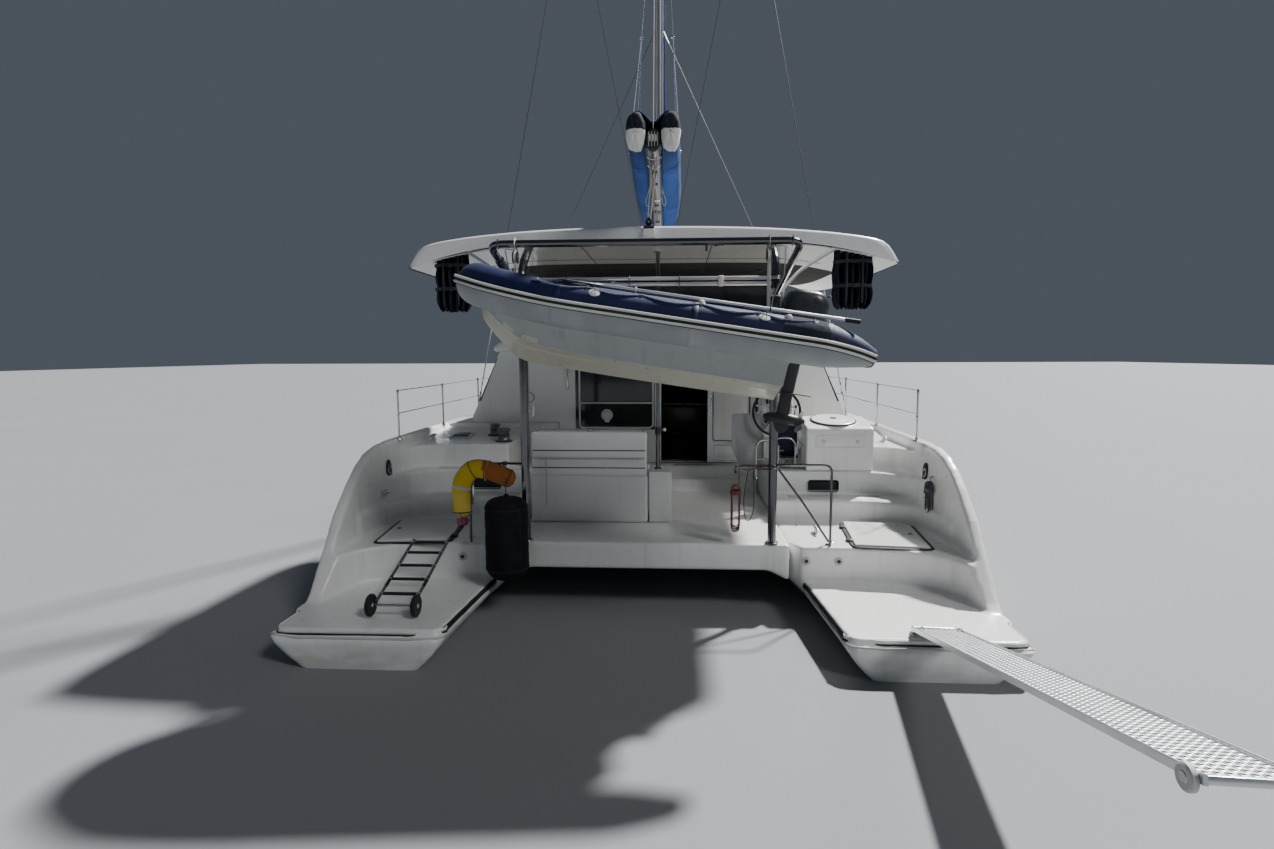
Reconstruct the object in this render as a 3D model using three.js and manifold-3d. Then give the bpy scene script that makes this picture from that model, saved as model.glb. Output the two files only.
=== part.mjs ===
// Cruising sailing catamaran, about 13 m long, as seen from its moored stern.
// Millimetres. +X starboard, +Y bow, +Z up. Origin on the centreline at the waterline.
import * as THREE from 'three';
import { mergeVertices } from 'three/addons/utils/BufferGeometryUtils.js';
import Module from 'manifold-3d';

const wasm = await Module();
wasm.setup();

// Driving dimensions
const GAP = 0.4;                 // play left between pieces that touch
const STERN_Y = -6450;           // aft edge of the bathing platforms
const BOW_Y = 6800;              // stems
const HALF_BEAM = 3600;          // widest point of each hull from the centreline
const HULL_X = 2640;             // middle of each hull's waterline
const SEAM_X = 1600;             // joint between hull moulding and bridge deck
const SHEER_Z = 1790;            // deck edge
const PLATFORM_Z = 360;          // bathing platform
const LEDGE_Z = 290;             // lower ledge round the platform's raised panel
const TRANSOM_Z = 760;           // transom deck with the engine hatches
const SOLE_Z = 780;              // cockpit sole
const FLOOR_Z = 1120;            // saloon floor
const HELM_Z = 1200;             // floor of the helm well
const BEAM_Y = -4830;            // aft face of the bridge deck and of the transoms
const BRIDGE_FRONT_Y = 3500;
const BULKHEAD_Y = -1200;        // aft bulkhead of the saloon
const BULWARK_X = 3395;          // inner face of the raised hull side at the platform
const STEP_Y = [-4830, -3600, -3150, -2900];
const STEP_Z = [TRANSOM_Z, 1030, 1330, 1640];
const MAST_Y = 600;
const MAST_TOP_Z = 19500;
const BOOM_Z = 5080;
const BOOM_END_Y = -5200;
const HARDTOP_AFT_Y = -4360;
const HARDTOP_FRONT_Y = -500;
const HARDTOP_HALF = 2900;
const HARDTOP_EDGE_Z = 3965;
const HARDTOP_CROWN_Z = 4400;
const POST_Y = -4770;
const DAVIT_Y = -5680;           // crossbar the tender hangs from
const DAVIT_Z = 3990;
const DAVIT_X = 1510;
const POST_X = 1400;
const RUDDER_Y = -5500;
const RUDDER_PAD = 346;          // depth of the flat pad the rudder stock turns under
const ENGINE_Y = -4330;
const HATCH = { x: 2780, y: -4320, halfX: 400, halfY: 520, turn: -0.105 };

// Materials
const paint = (hex, roughness, metalness) =>
  new THREE.MeshStandardMaterial({ color: hex, roughness, metalness });
const GRP = paint(0xf2f2ee, 0.35, 0);
const DECK = paint(0xe8e6de, 0.6, 0);
const STEEL = paint(0xc9ccd0, 0.25, 1);
const ALLOY = paint(0xa9adb2, 0.4, 1);
const DARK_GLASS = paint(0x14181c, 0.08, 0);
const BLUE_CLOTH = paint(0x1f3f86, 0.85, 0);
const NAVY_RUBBER = paint(0x1a2440, 0.6, 0);
const GREY_RUBBER = paint(0xb9bcbf, 0.55, 0);
const BLACK_PLASTIC = paint(0x111214, 0.5, 0);
const NET = paint(0xdadada, 0.9, 0);
const CUSHION = paint(0xe9e6df, 0.8, 0);
const YELLOW = paint(0xe0b515, 0.75, 0);
const BRONZE = paint(0xa8783a, 0.35, 1);
const ENGINE_GREY = paint(0x6d7478, 0.5, 0.3);
const ANTIFOUL = paint(0x23344e, 0.8, 0);

// Geometry helpers
const plain = (g) => {
  const c = g.clone();
  for (const k of ['normal', 'uv', 'uv1', 'color']) {
    if (c.attributes[k]) c.deleteAttribute(k);
  }
  return mergeVertices(c, 0.01);
};
const toSolid = (g) => {
  const c = plain(g);
  return new wasm.Manifold(new wasm.Mesh({
    numProp: 3,
    vertProperties: new Float32Array(c.attributes.position.array),
    triVerts: new Uint32Array(c.index.array),
  }));
};
const fromSolid = (s) => {
  const m = s.getMesh();
  const g = new THREE.BufferGeometry();
  g.setAttribute('position', new THREE.BufferAttribute(new Float32Array(m.vertProperties), 3));
  g.setIndex(new THREE.BufferAttribute(new Uint32Array(m.triVerts), 1));
  return g;
};
const cut = (a, ...bs) => fromSolid(bs.reduce((s, b) => s.subtract(toSolid(b)), toSolid(a)));
const join = (...gs) => fromSolid(gs.slice(1).reduce((s, b) => s.add(toSolid(b)), toSolid(gs[0])));
const common = (a, b) => fromSolid(toSolid(a).intersect(toSolid(b)));

const box = (x0, x1, y0, y1, z0, z1) => {
  const g = new THREE.BoxGeometry(x1 - x0, y1 - y0, z1 - z0);
  return g.translate((x0 + x1) / 2, (y0 + y1) / 2, (z0 + z1) / 2);
};

// A body through rings of points, one ring after another, closed at both ends.
const loft = (rings) => {
  const n = rings[0].length;
  const pos = [];
  for (const r of rings) for (const p of r) pos.push(p[0], p[1], p[2]);
  const idx = [];
  for (let i = 0; i < rings.length - 1; i++) {
    for (let j = 0; j < n; j++) {
      const a = i * n + j;
      const b = i * n + ((j + 1) % n);
      idx.push(a, b, a + n);
      idx.push(b, b + n, a + n);
    }
  }
  const capped = (ring, offset, flip) => {
    const u = new THREE.Vector3();
    for (let j = 0; j < n; j++) {
      const p = ring[j];
      const q = ring[(j + 1) % n];
      u.x += (p[1] - q[1]) * (p[2] + q[2]);
      u.y += (p[2] - q[2]) * (p[0] + q[0]);
      u.z += (p[0] - q[0]) * (p[1] + q[1]);
    }
    u.normalize();
    const a = Math.abs(u.z) > 0.9 ? new THREE.Vector3(1, 0, 0) : new THREE.Vector3(0, 0, 1);
    const e1 = new THREE.Vector3().crossVectors(a, u).normalize();
    const e2 = new THREE.Vector3().crossVectors(u, e1);
    const flat = ring.map((p) => {
      const v = new THREE.Vector3(p[0], p[1], p[2]);
      return new THREE.Vector2(v.dot(e1), v.dot(e2));
    });
    for (const t of THREE.ShapeUtils.triangulateShape(flat, [])) {
      if (flip) idx.push(offset + t[0], offset + t[1], offset + t[2]);
      else idx.push(offset + t[0], offset + t[2], offset + t[1]);
    }
  };
  capped(rings[0], 0, false);
  capped(rings[rings.length - 1], (rings.length - 1) * n, true);
  const g = new THREE.BufferGeometry();
  g.setAttribute('position', new THREE.BufferAttribute(new Float32Array(pos), 3));
  g.setIndex(idx);
  let volume = 0;
  for (let i = 0; i < idx.length; i += 3) {
    const [a, b, c] = [idx[i], idx[i + 1], idx[i + 2]].map(
      (k) => new THREE.Vector3(pos[3 * k], pos[3 * k + 1], pos[3 * k + 2]));
    volume += a.dot(b.cross(c));
  }
  if (volume < 0) {
    for (let i = 0; i < idx.length; i += 3) [idx[i], idx[i + 1]] = [idx[i + 1], idx[i]];
    g.setIndex(idx);
  }
  return g;
};

// Straight extrusions of a polygon along one axis.
const prismX = (yz, x0, x1) => loft([x0, x1].map((x) => yz.map(([y, z]) => [x, y, z])));
const prismY = (xz, y0, y1) => loft([y0, y1].map((y) => xz.map(([x, z]) => [x, y, z])));
const prismZ = (xy, z0, z1) => loft([z0, z1].map((z) => xy.map(([x, y]) => [x, y, z])));

// A round bar through a list of points, with bends rounded to a radius.
const rounded = (points, bend, steps) => {
  const v = points.map((p) => new THREE.Vector3(...p));
  const out = [v[0]];
  for (let i = 1; i < v.length - 1; i++) {
    const a = v[i - 1].clone().sub(v[i]);
    const b = v[i + 1].clone().sub(v[i]);
    const r = Math.min(bend, a.length() * 0.45, b.length() * 0.45);
    const p = v[i].clone().add(a.normalize().multiplyScalar(r));
    const q = v[i].clone().add(b.normalize().multiplyScalar(r));
    for (let k = 0; k <= steps; k++) {
      const t = k / steps;
      const m = p.clone().multiplyScalar((1 - t) * (1 - t));
      m.add(v[i].clone().multiplyScalar(2 * t * (1 - t)));
      m.add(q.clone().multiplyScalar(t * t));
      out.push(m);
    }
  }
  out.push(v[v.length - 1]);
  return out;
};
const bar = (points, radius, sides = 10, bend = 0, steps = 4, scale = null) => {
  const path = bend > 0 ? rounded(points, bend, steps) : points.map((p) => new THREE.Vector3(...p));
  const rings = [];
  let side = null;
  for (let i = 0; i < path.length; i++) {
    const before = i > 0 ? path[i].clone().sub(path[i - 1]).normalize() : null;
    const after = i < path.length - 1 ? path[i + 1].clone().sub(path[i]).normalize() : null;
    const dir = (before && after ? before.clone().add(after) : before || after).normalize();
    const turn = before && after ? Math.sqrt((1 + before.dot(after)) / 2) : 1;
    if (!side) {
      const a = Math.abs(dir.z) < 0.9 ? new THREE.Vector3(0, 0, 1) : new THREE.Vector3(0, 1, 0);
      side = new THREE.Vector3().crossVectors(a, dir).normalize();
    }
    side = side.clone().sub(dir.clone().multiplyScalar(side.dot(dir))).normalize();
    const up = new THREE.Vector3().crossVectors(dir, side);
    const bendNormal = before && after ? after.clone().sub(before) : new THREE.Vector3();
    const bn = bendNormal.length() > 1e-6 ? bendNormal.normalize() : null;
    const s = scale ? scale(i / (path.length - 1), path[i]) : 1;
    const ring = [];
    for (let k = 0; k < sides; k++) {
      const t = (k / sides) * Math.PI * 2;
      const o = side.clone().multiplyScalar(Math.cos(t)).add(up.clone().multiplyScalar(Math.sin(t)));
      o.multiplyScalar(radius * s);
      if (bn && turn > 0.3) o.add(bn.clone().multiplyScalar(o.dot(bn) * (1 / turn - 1)));
      const p = path[i].clone().add(o);
      ring.push([p.x, p.y, p.z]);
    }
    rings.push(ring);
  }
  return loft(rings);
};
const drum = (x, y, z, radius, length, axis = 'z', sides = 24, radius2 = radius) => {
  const g = new THREE.CylinderGeometry(radius2, radius, length, sides);
  if (axis === 'z') g.rotateX(Math.PI / 2);
  if (axis === 'x') g.rotateZ(-Math.PI / 2);
  return g.translate(x, y, z);
};
const ring = (cx, cy, cz, major, minor, seg = 28, tube = 8) =>
  new THREE.TorusGeometry(major, minor, tube, seg).translate(cx, cy, cz);
const mirrored = (g) => {
  const c = plain(g);
  const p = c.attributes.position;
  for (let i = 0; i < p.count; i++) p.setX(i, -p.getX(i));
  const k = c.index.array;
  for (let i = 0; i < k.length; i += 3) [k[i], k[i + 1]] = [k[i + 1], k[i]];
  return c;
};

const group = new THREE.Group();
group.name = 'sailing_catamaran';
const put = (name, geometry, material) => {
  const m = new THREE.Mesh(plain(geometry), material);
  m.name = name;
  group.add(m);
  return m;
};
// One piece on each side: the starboard one as given, the port one turned over.
const pair = (name, geometry, material) => {
  put(`starboard_${name}`, geometry, material);
  put(`port_${name}`, mirrored(geometry), material);
};

// Hulls. Columns: y, keel line z, waterline half width, outer deck edge x,
// inner side x, bottom edge of the inner side z, deck edge z, outer side x a fifth of the way up.
const HULL_STATIONS = [
  [STERN_Y, -60, 560, 3555, 1850, 280, 1790, 3550],
  [-5900, -240, 590, 3560, 1815, 285, 1790, 3545],
  [-5200, -390, 612, 3565, 1750, 285, 1790, 3515],
  [BEAM_Y, -440, 622, 3568, 1722, 290, 1790, 3490],
  [-4600, -460, 625, 3570, 1600, 350, 1790, 3475],
  [-3500, -560, 640, 3590, 1600, 380, 1790, 3440],
  [-1500, -620, 650, 3600, 1600, 420, 1790, 3430],
  [500, -640, 645, 3600, 1600, 460, 1790, 3430],
  [2200, -620, 600, 3570, 1600, 500, 1790, 3390],
  [3500, -560, 530, 3500, 1640, 540, 1790, 3310],
  [4600, -480, 420, 3370, 1860, 520, 1812, 3170],
  [5600, -370, 280, 3150, 2130, 460, 1840, 2985],
  [6300, -260, 150, 2920, 2370, 400, 1862, 2830],
  [6700, -150, 60, 2730, 2560, 330, 1876, 2710],
  [BOW_Y, -100, 30, 2680, 2610, 300, 1880, 2672],
];
// Value of one column at any y, on a curve that never overshoots the table.
const column = (y, k) => {
  const s = HULL_STATIONS;
  const i = Math.min(s.length - 1, Math.max(1, s.findIndex((r) => r[0] >= y)));
  const steep = (j) => (s[j + 1][k] - s[j][k]) / (s[j + 1][0] - s[j][0]);
  const slope = (j) => {
    if (j === 0) return steep(0);
    if (j === s.length - 1) return steep(j - 1);
    const a = steep(j - 1);
    const b = steep(j);
    return a * b > 0 ? (2 * a * b) / (a + b) : 0;
  };
  const h = s[i][0] - s[i - 1][0];
  const t = (y - s[i - 1][0]) / h;
  const u = 1 - t;
  return (1 + 2 * t) * u * u * s[i - 1][k] + t * u * u * h * slope(i - 1)
    + t * t * (3 - 2 * t) * s[i][k] - t * t * u * h * slope(i);
};
const stationAt = (y) => [y].concat([1, 2, 3, 4, 5, 6, 7].map((k) => column(y, k)));
const deckAt = (y) => column(y, 6);
const hullRing = ([y, keel, w, out, inn, knuckle, deck, flare]) => {
  const c = HULL_X;
  const lift = (k) => keel * (1 - k);
  const section = [
    [out, y, deck], [out - 4, y, deck * 0.72], [flare + (out - flare) * 0.6, y, deck * 0.45],
    [flare, y, deck * 0.2], [flare - (flare - c - w) * 0.3, y, deck * 0.12], [c + w, y, 0],
    [c + w * 0.9, y, lift(0.45)], [c + w * 0.6, y, lift(0.14)], [c + w * 0.2, y, keel],
    [c - w * 0.2, y, keel], [c - w * 0.6, y, lift(0.14)], [c - w * 0.9, y, lift(0.45)],
    [c - w, y, 0], [c - w - (c - w - inn) * 0.6, y, knuckle * 0.5], [inn, y, knuckle],
  ].map((p) => new THREE.Vector3(...p));
  const curve = new THREE.CatmullRomCurve3(section, false, 'centripetal');
  const points = [];
  for (let i = 0; i < section.length - 1; i++) {
    for (let j = 0; j < 2; j++) {
      const v = curve.getPoint((i + j / 2) / (section.length - 1));
      points.push([v.x, y, v.z]);
    }
  }
  return points.concat([[inn, y, knuckle], [inn, y, deck * 0.8], [inn, y, deck]]);
};
const stationLines = [];
for (let i = 1; i < HULL_STATIONS.length; i++) {
  const [a, b] = [HULL_STATIONS[i - 1][0], HULL_STATIONS[i][0]];
  const n = Math.max(1, Math.round((b - a) / 420));
  for (let j = 0; j < n; j++) stationLines.push(stationAt(a + ((b - a) * j) / n));
}
stationLines.push(stationAt(BOW_Y));
const hullBlock = loft(stationLines.map(hullRing));
// Space above the raised hull side, right across, and above each level inside it.
const aboveSide = prismX([
  [-6600, 361], [-5740, 361], [-5640, 430], [-5530, 560], [-5240, 910], [-5040, 1130],
  [-4700, 1420], [-4450, 1600], [-4200, 1700], [-3900, 1760], [-3540, 1782], [-2600, 1791],
  [-2600, 2500], [-6600, 2500],
], 1000, 4000);
// Plan lines of the risers, curving aft into the raised side: platform, deck, treads 1 and 2.
const RISER_LINES = [
  [[1000, STEP_Y[0]], [2300, STEP_Y[0]], [2600, -4862], [2860, -4930], [3080, -5040], [3230, -5170],
    [3330, -5370], [3380, -5620], [3394, -5900], [3600, -5900]],
  [[1000, STEP_Y[1]], [2650, STEP_Y[1]], [2880, -3625], [3080, -3690], [3230, -3780], [3325, -3940],
    [3372, -4220], [3398, -4700], [3600, -4700]],
  [[1000, STEP_Y[2]], [2650, STEP_Y[2]], [2880, -3190], [3100, -3280], [3260, -3420], [3350, -3600],
    [3400, -3850], [3420, -4150], [3600, -4150]],
  [[1000, STEP_Y[3]], [2985, STEP_Y[3]], [3130, -2930], [3270, -3010], [3370, -3140], [3420, -3320],
    [3442, -3600], [3600, -3600]],
];
// The inner face of the raised side leans out as it rises.
const inside = prismY([[900, 300], [BULWARK_X, 300], [BULWARK_X + 68, 1760], [BULWARK_X + 68, 2600], [900, 2600]],
  -7000, -1000);
const levelSpace = RISER_LINES.map((line, i) => {
  const z = [PLATFORM_Z, ...STEP_Z][i];
  return prismZ([...line, [3600, -6900], [1000, -6900]], z, 2500);
});
const sideDeckSpace = prismX([
  [-3400, STEP_Z[3]], [-2200, STEP_Z[3]], [-1300, 1720], [-1300, 2500], [-3400, 2500],
], 1000, 3600);
const aboveSteps = common(join(...levelSpace, sideDeckSpace), inside);
// Ledge round the platform's raised panel, and its rounded corners.
const panel = prismZ([
  [1760, -4700], [1878, -6250], [1890, -6310], [1925, -6355], [1985, -6372], [3380, -6390], [3440, -6370],
  [3472, -6310], [3478, -6230], [3478, -5900], [4000, -5900], [4000, -4700],
], 100, 1000);
const ledge = cut(box(1000, 4000, -6600, BEAM_Y - 4, LEDGE_Z, 362), panel);
const cornerIn = prismZ([[1700, -6700], [2030, -6700], [2010, -6451], [1940, -6436], [1885, -6390], [1858, -6330],
  [1700, -6300]], -500, 500);
const cornerOut = prismZ([[3800, -6700], [3380, -6700], [3400, -6451], [3480, -6430], [3530, -6385],
  [3549, -6300], [3800, -6270]], -500, 500);
const helmWell = box(1000, 2060, STEP_Y[3] - 20, BULKHEAD_Y - 100, HELM_Z, 2500);
// Rectangle turned with the transom's curve, seen in plan.
const hatchPlan = (inset) => [[-1, -1], [1, -1], [1, 1], [-1, 1]].map(([a, b]) => {
  const dx = a * (HATCH.halfX - inset);
  const dy = b * (HATCH.halfY - inset);
  const c = Math.cos(HATCH.turn);
  const q = Math.sin(HATCH.turn);
  return [HATCH.x + dx * c - dy * q, HATCH.y + dx * q + dy * c];
});
const enginePocket = prismZ(hatchPlan(60), -140, 1200);
const keelRing = (z, y0, y1, half) => {
  const points = [[0, 0], [0.12, 0.7], [0.35, 1], [0.65, 0.8], [1, 0.08]];
  const left = points.map(([t, s]) => [HULL_X - half * s, y0 + (y1 - y0) * t, z]);
  const right = points.slice(1).reverse().map(([t, s]) => [HULL_X + half * s, y0 + (y1 - y0) * t, z]);
  return left.concat(right);
};
const keel = loft([keelRing(-500, 1700, -900, 110), keelRing(-1250, 1350, -650, 80)]);
const trimIn = box(0, SEAM_X, BEAM_Y + 20, BRIDGE_FRONT_Y, -100, 3000);
const rudderPad = drum(HULL_X, RUDDER_Y, -RUDDER_PAD + 30, 60, 60, 'z', 24);
const hull = join(cut(hullBlock, aboveSide, aboveSteps, ledge, cornerIn, cornerOut, helmWell, enginePocket,
  trimIn), keel, rudderPad);
pair('hull', hull, GRP);

// Bridge deck between the hulls: cockpit sole, saloon floor, foredeck.
const bridgeProfile = [
  [BEAM_Y, 480], [-4500, 470], [2600, 600], [BRIDGE_FRONT_Y, 900], [BRIDGE_FRONT_Y, SHEER_Z],
  [2500, SHEER_Z], [2500, FLOOR_Z], [BULKHEAD_Y - 60, FLOOR_Z], [BULKHEAD_Y - 360, FLOOR_Z],
  [BULKHEAD_Y - 360, 950], [BULKHEAD_Y - 620, 950], [BULKHEAD_Y - 620, SOLE_Z], [BEAM_Y, SOLE_Z],
];
// Slanted fairing between the flat underside and each hull.
const seam = SEAM_X - GAP;
const fairing = loft([[BEAM_Y, 480], [-4500, 470], [2600, 600], [BRIDGE_FRONT_Y, 900]].map(([y, z]) => [
  [1330, y, z + 12], [seam, y, z - 125], [seam, y, z + 12]]));
put('bridge_deck', join(prismX(bridgeProfile, -seam, seam), fairing, mirrored(fairing)), GRP);

// Saloon. The wall leans in; plan points run from the port aft corner round the front.
const planAt = (k) => {
  const side = 3120 - 520 * k;
  const front = 2900 - 900 * k;
  const half = [
    [side, BULKHEAD_Y], [side - 20, 300], [side - 190, 1400], [side - 620, front - 560],
    [side - 1350, front - 160], [0, front],
  ];
  return half.concat(half.slice(0, 5).reverse().map(([x, y]) => [-x, y]));
};
const WALL_T = 60;
const inset = (plan, d) => {
  const n = plan.length;
  return plan.map(([x, y], i) => {
    if (i === 0 || i === n - 1) return [x - Math.sign(x) * d, y];
    const [px, py] = plan[i - 1];
    const [qx, qy] = plan[i + 1];
    const tx = qx - px;
    const ty = qy - py;
    const l = Math.hypot(tx, ty);
    return [x - (ty / l) * d, y + (tx / l) * d];
  });
};
const CABIN_Z0 = SHEER_Z + GAP;
const CABIN_Z1 = 2960;
const wallPlan = (z, d) => {
  const k = (z - CABIN_Z0) / (CABIN_Z1 - CABIN_Z0);
  return inset(planAt(k), d).map(([x, y]) => [x, y, z]);
};
const shellBand = (z0, z1, d0, d1, yLow = BULKHEAD_Y) => {
  const block = (d) => loft([CABIN_Z0 - 10, CABIN_Z1 + 10].map((z) => {
    const w = wallPlan(z, d);
    w[0][1] -= 200;
    w[w.length - 1][1] -= 200;
    return w;
  }));
  return cut(common(block(d0), box(-4000, 4000, yLow, 4000, z0, z1)), block(d1));
};
const windowCut = (a, b, z0, z1) => {
  // Quadrilateral prism pushed straight through the wall between plan points a and b.
  const n = new THREE.Vector2(b[1] - a[1], a[0] - b[0]).normalize().multiplyScalar(500);
  const r = (p, z, s) => [p[0] + n.x * s, p[1] + n.y * s, z];
  return loft([-1, 1].map((s) => [r(a, z0, s), r(b, z0, s), r(b, z1, s), r(a, z1, s)]));
};
const WIN_Z0 = 2190;
const WIN_Z1 = 2800;
const midPlan = planAt((2500 - CABIN_Z0) / (CABIN_Z1 - CABIN_Z0));
const windows = [];
for (let i = 0; i < midPlan.length - 1; i++) {
  const a = midPlan[i];
  const b = midPlan[i + 1];
  const l = Math.hypot(b[0] - a[0], b[1] - a[1]);
  const t0 = (i === 0 ? 260 : 75) / l;
  const t1 = 1 - (i === midPlan.length - 2 ? 260 : 75) / l;
  const at = (t) => [a[0] + (b[0] - a[0]) * t, a[1] + (b[1] - a[1]) * t];
  windows.push(windowCut(at(t0), at(t1), WIN_Z0, WIN_Z1));
}
put('cabin_wall', cut(shellBand(CABIN_Z0, CABIN_Z1, 0, WALL_T), ...windows), GRP);
put('cabin_glazing', shellBand(WIN_Z0 - 60, WIN_Z1 + 60, WALL_T + GAP, WALL_T + 12, BULKHEAD_Y + 70), DARK_GLASS);
const roofRing = (z, k, grow) => planAt(k).map(([x, y], i, all) => {
  const end = i === 0 || i === all.length - 1;
  const l = Math.hypot(x, y - 500) || 1;
  return [x + (x / l) * grow, end ? BULKHEAD_Y - 180 : y + ((y - 500) / l) * grow, z];
});
const roof = loft([
  roofRing(CABIN_Z1 + GAP, 1, 60), roofRing(CABIN_Z1 + 70, 1, 70), roofRing(CABIN_Z1 + 150, 1, -60),
  roofRing(CABIN_Z1 + 215, 1, -420), roofRing(CABIN_Z1 + 240, 1, -1000),
]);
put('coachroof', roof, GRP);

// Aft bulkhead of the saloon with door opening and window openings.
const DOOR = { x0: 60, x1: 850, z0: FLOOR_Z + 30, z1: 2880 };
const bulkOutline = () => {
  const half = [[1598, FLOOR_Z + GAP], [1598, CABIN_Z0], [3060, CABIN_Z0 + GAP], [2570, CABIN_Z1 - GAP]];
  return half.concat(half.slice().reverse().map(([x, z]) => [-x, z]));
};
const bulkhead = cut(
  prismY(bulkOutline(), BULKHEAD_Y - 60 - GAP, BULKHEAD_Y - GAP),
  box(DOOR.x0, DOOR.x1, -3000, 0, DOOR.z0, DOOR.z1),
  box(-1250, -70, -3000, 0, 1720, 2880),
  box(1150, 1650, -3000, 0, 1950, 2880));
put('aft_bulkhead', bulkhead, GRP);
put('bulkhead_pane', box(-1330, -30, BULKHEAD_Y - 60 - GAP - 14, BULKHEAD_Y - 60 - 2 * GAP, 1680, 2905), DARK_GLASS);
const doorY = BULKHEAD_Y - 60 - 28;
const door = cut(
  box(DOOR.x1 - 20, DOOR.x1 + 745, doorY - 34, doorY, FLOOR_Z + GAP, DOOR.z1 + 20),
  box(DOOR.x1 + 60, DOOR.x1 + 665, doorY - 100, doorY + 100, 1500, 2820));
const doorPane = box(DOOR.x1 + 60, DOOR.x1 + 665, doorY - 24, doorY - 12, 1500, 2820);
put('saloon_door', door, ALLOY);
put('door_pane', cut(doorPane, box(DOOR.x1, DOOR.x1 + 60.3, -3000, 0, 0, 5000),
  box(DOOR.x1 + 664.7, DOOR.x1 + 800, -3000, 0, 0, 5000),
  box(0, 4000, -3000, 0, 1000, 1500.3), box(0, 4000, -3000, 0, 2819.7, 4000)), DARK_GLASS);

// Hardtop over the cockpit: bowed slab on two aft posts and two struts.
// Columns: share of the half width, height of the top as a share of the crown.
const TOP_LINE = [[0, 1], [0.25, 0.98], [0.5, 0.915], [0.7, 0.81], [0.8, 0.73], [0.88, 0.645], [0.935, 0.54],
  [0.965, 0.38], [0.985, 0.16], [1, 0]];
// Columns: share of the half width, underside z.
const LOW_LINE = [[0, 4196], [0.4, 4195], [0.63, 4175], [0.82, 4085], [0.93, 4000], [0.985, 3955], [1, 3950]];
const hardtopRing = (y, width, drop) => {
  const rise = HARDTOP_CROWN_Z - HARDTOP_EDGE_Z;
  const half = TOP_LINE.map(([t, k]) => [t * HARDTOP_HALF * width, HARDTOP_EDGE_Z + rise * k - drop * k]);
  const low = LOW_LINE.map(([t, z]) => [t * HARDTOP_HALF * width, z]).reverse();
  const right = half.concat(low);
  const left = right.slice(1, -1).reverse().map(([x, z]) => [-x, z]);
  return right.concat(left).map(([x, z]) => [x, y, z]);
};
const hardtop = loft([
  hardtopRing(HARDTOP_AFT_Y, 0.95, 60), hardtopRing(HARDTOP_AFT_Y + 40, 0.975, 20),
  hardtopRing(HARDTOP_AFT_Y + 130, 0.99, 0), hardtopRing(HARDTOP_AFT_Y + 300, 1, 0),
  hardtopRing(-2500, 1, 0), hardtopRing(HARDTOP_FRONT_Y - 600, 0.975, 20),
  hardtopRing(HARDTOP_FRONT_Y - 200, 0.93, 50), hardtopRing(HARDTOP_FRONT_Y, 0.86, 120),
]);
put('hardtop', hardtop, GRP);
const lowered = hardtop.clone().translate(0, 0, -GAP);
const aftPost = cut(bar([[POST_X, POST_Y, SOLE_Z + GAP], [POST_X, POST_Y, 3880],
  [POST_X, HARDTOP_AFT_Y + 150, 4240]], 48, 14, 240, 5), lowered);
pair('aft_post', aftPost, STEEL);
const roofUp = roof.clone().translate(0, 0, GAP);
for (const [side, x] of [['starboard', 2050], ['port', -2050]]) {
  const strut = bar([[x, HARDTOP_FRONT_Y - 420, CABIN_Z1 + 60], [x, HARDTOP_FRONT_Y - 420, 4200]], 45, 12);
  put(`${side}_roof_strut`, cut(strut, lowered, roofUp), STEEL);
}
put('windscreen', cut(box(-1980, 1980, HARDTOP_FRONT_Y - 426, HARDTOP_FRONT_Y - 414, 3140, 4215), lowered,
  roofUp), DARK_GLASS);

// Rolled side curtains hanging under the hardtop's aft corners.
const curtain = loft([
  [3430, 150, 80], [3470, 205, 110], [3580, 240, 125], [3760, 245, 122], [3930, 238, 112], [4180, 225, 95],
].map(([z, w, d]) => {
  const r = [];
  for (let i = 0; i < 12; i++) {
    const t = (i / 12) * Math.PI * 2;
    r.push([2375 + Math.cos(t) * w, -4120 + Math.sin(t) * d, z]);
  }
  return r;
}));
put('starboard_rolled_curtain', cut(curtain, lowered), BLACK_PLASTIC);
put('port_rolled_curtain', cut(mirrored(curtain), lowered), BLACK_PLASTIC);

// Low rail from each post out to the transom deck.
const RAIL_Y = -4780;
const RAIL_Z = 1680;
const postOut = aftPost.clone().translate(GAP, 0, 0);
pair('stern_rail', cut(bar([[POST_X, RAIL_Y, RAIL_Z], [2050, RAIL_Y, RAIL_Z], [2050, RAIL_Y, TRANSOM_Z + GAP]],
  14, 10, 90), postOut), STEEL);

// Davits: a U of steel tube standing out aft of the posts over the tender, and two bars between the posts.
const davit = bar([[-POST_X, POST_Y, 3560], [-DAVIT_X, DAVIT_Y, DAVIT_Z], [DAVIT_X, DAVIT_Y, DAVIT_Z],
  [POST_X, POST_Y, 3560]], 36, 12, 130, 5);
const postAft = aftPost.clone().translate(0, -GAP, 0);
put('davit_frame', cut(davit, postAft, mirrored(postAft)), STEEL);
put('post_rails', join(bar([[-POST_X + 48 + GAP, POST_Y, 3740], [POST_X - 48 - GAP, POST_Y, 3740]], 22, 10),
  bar([[-POST_X + 48 + GAP, POST_Y, 3680], [POST_X - 48 - GAP, POST_Y, 3680]], 22, 10),
  box(-400, -360, POST_Y - 10, POST_Y + 10, 3670, 3750)), STEEL);

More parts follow.
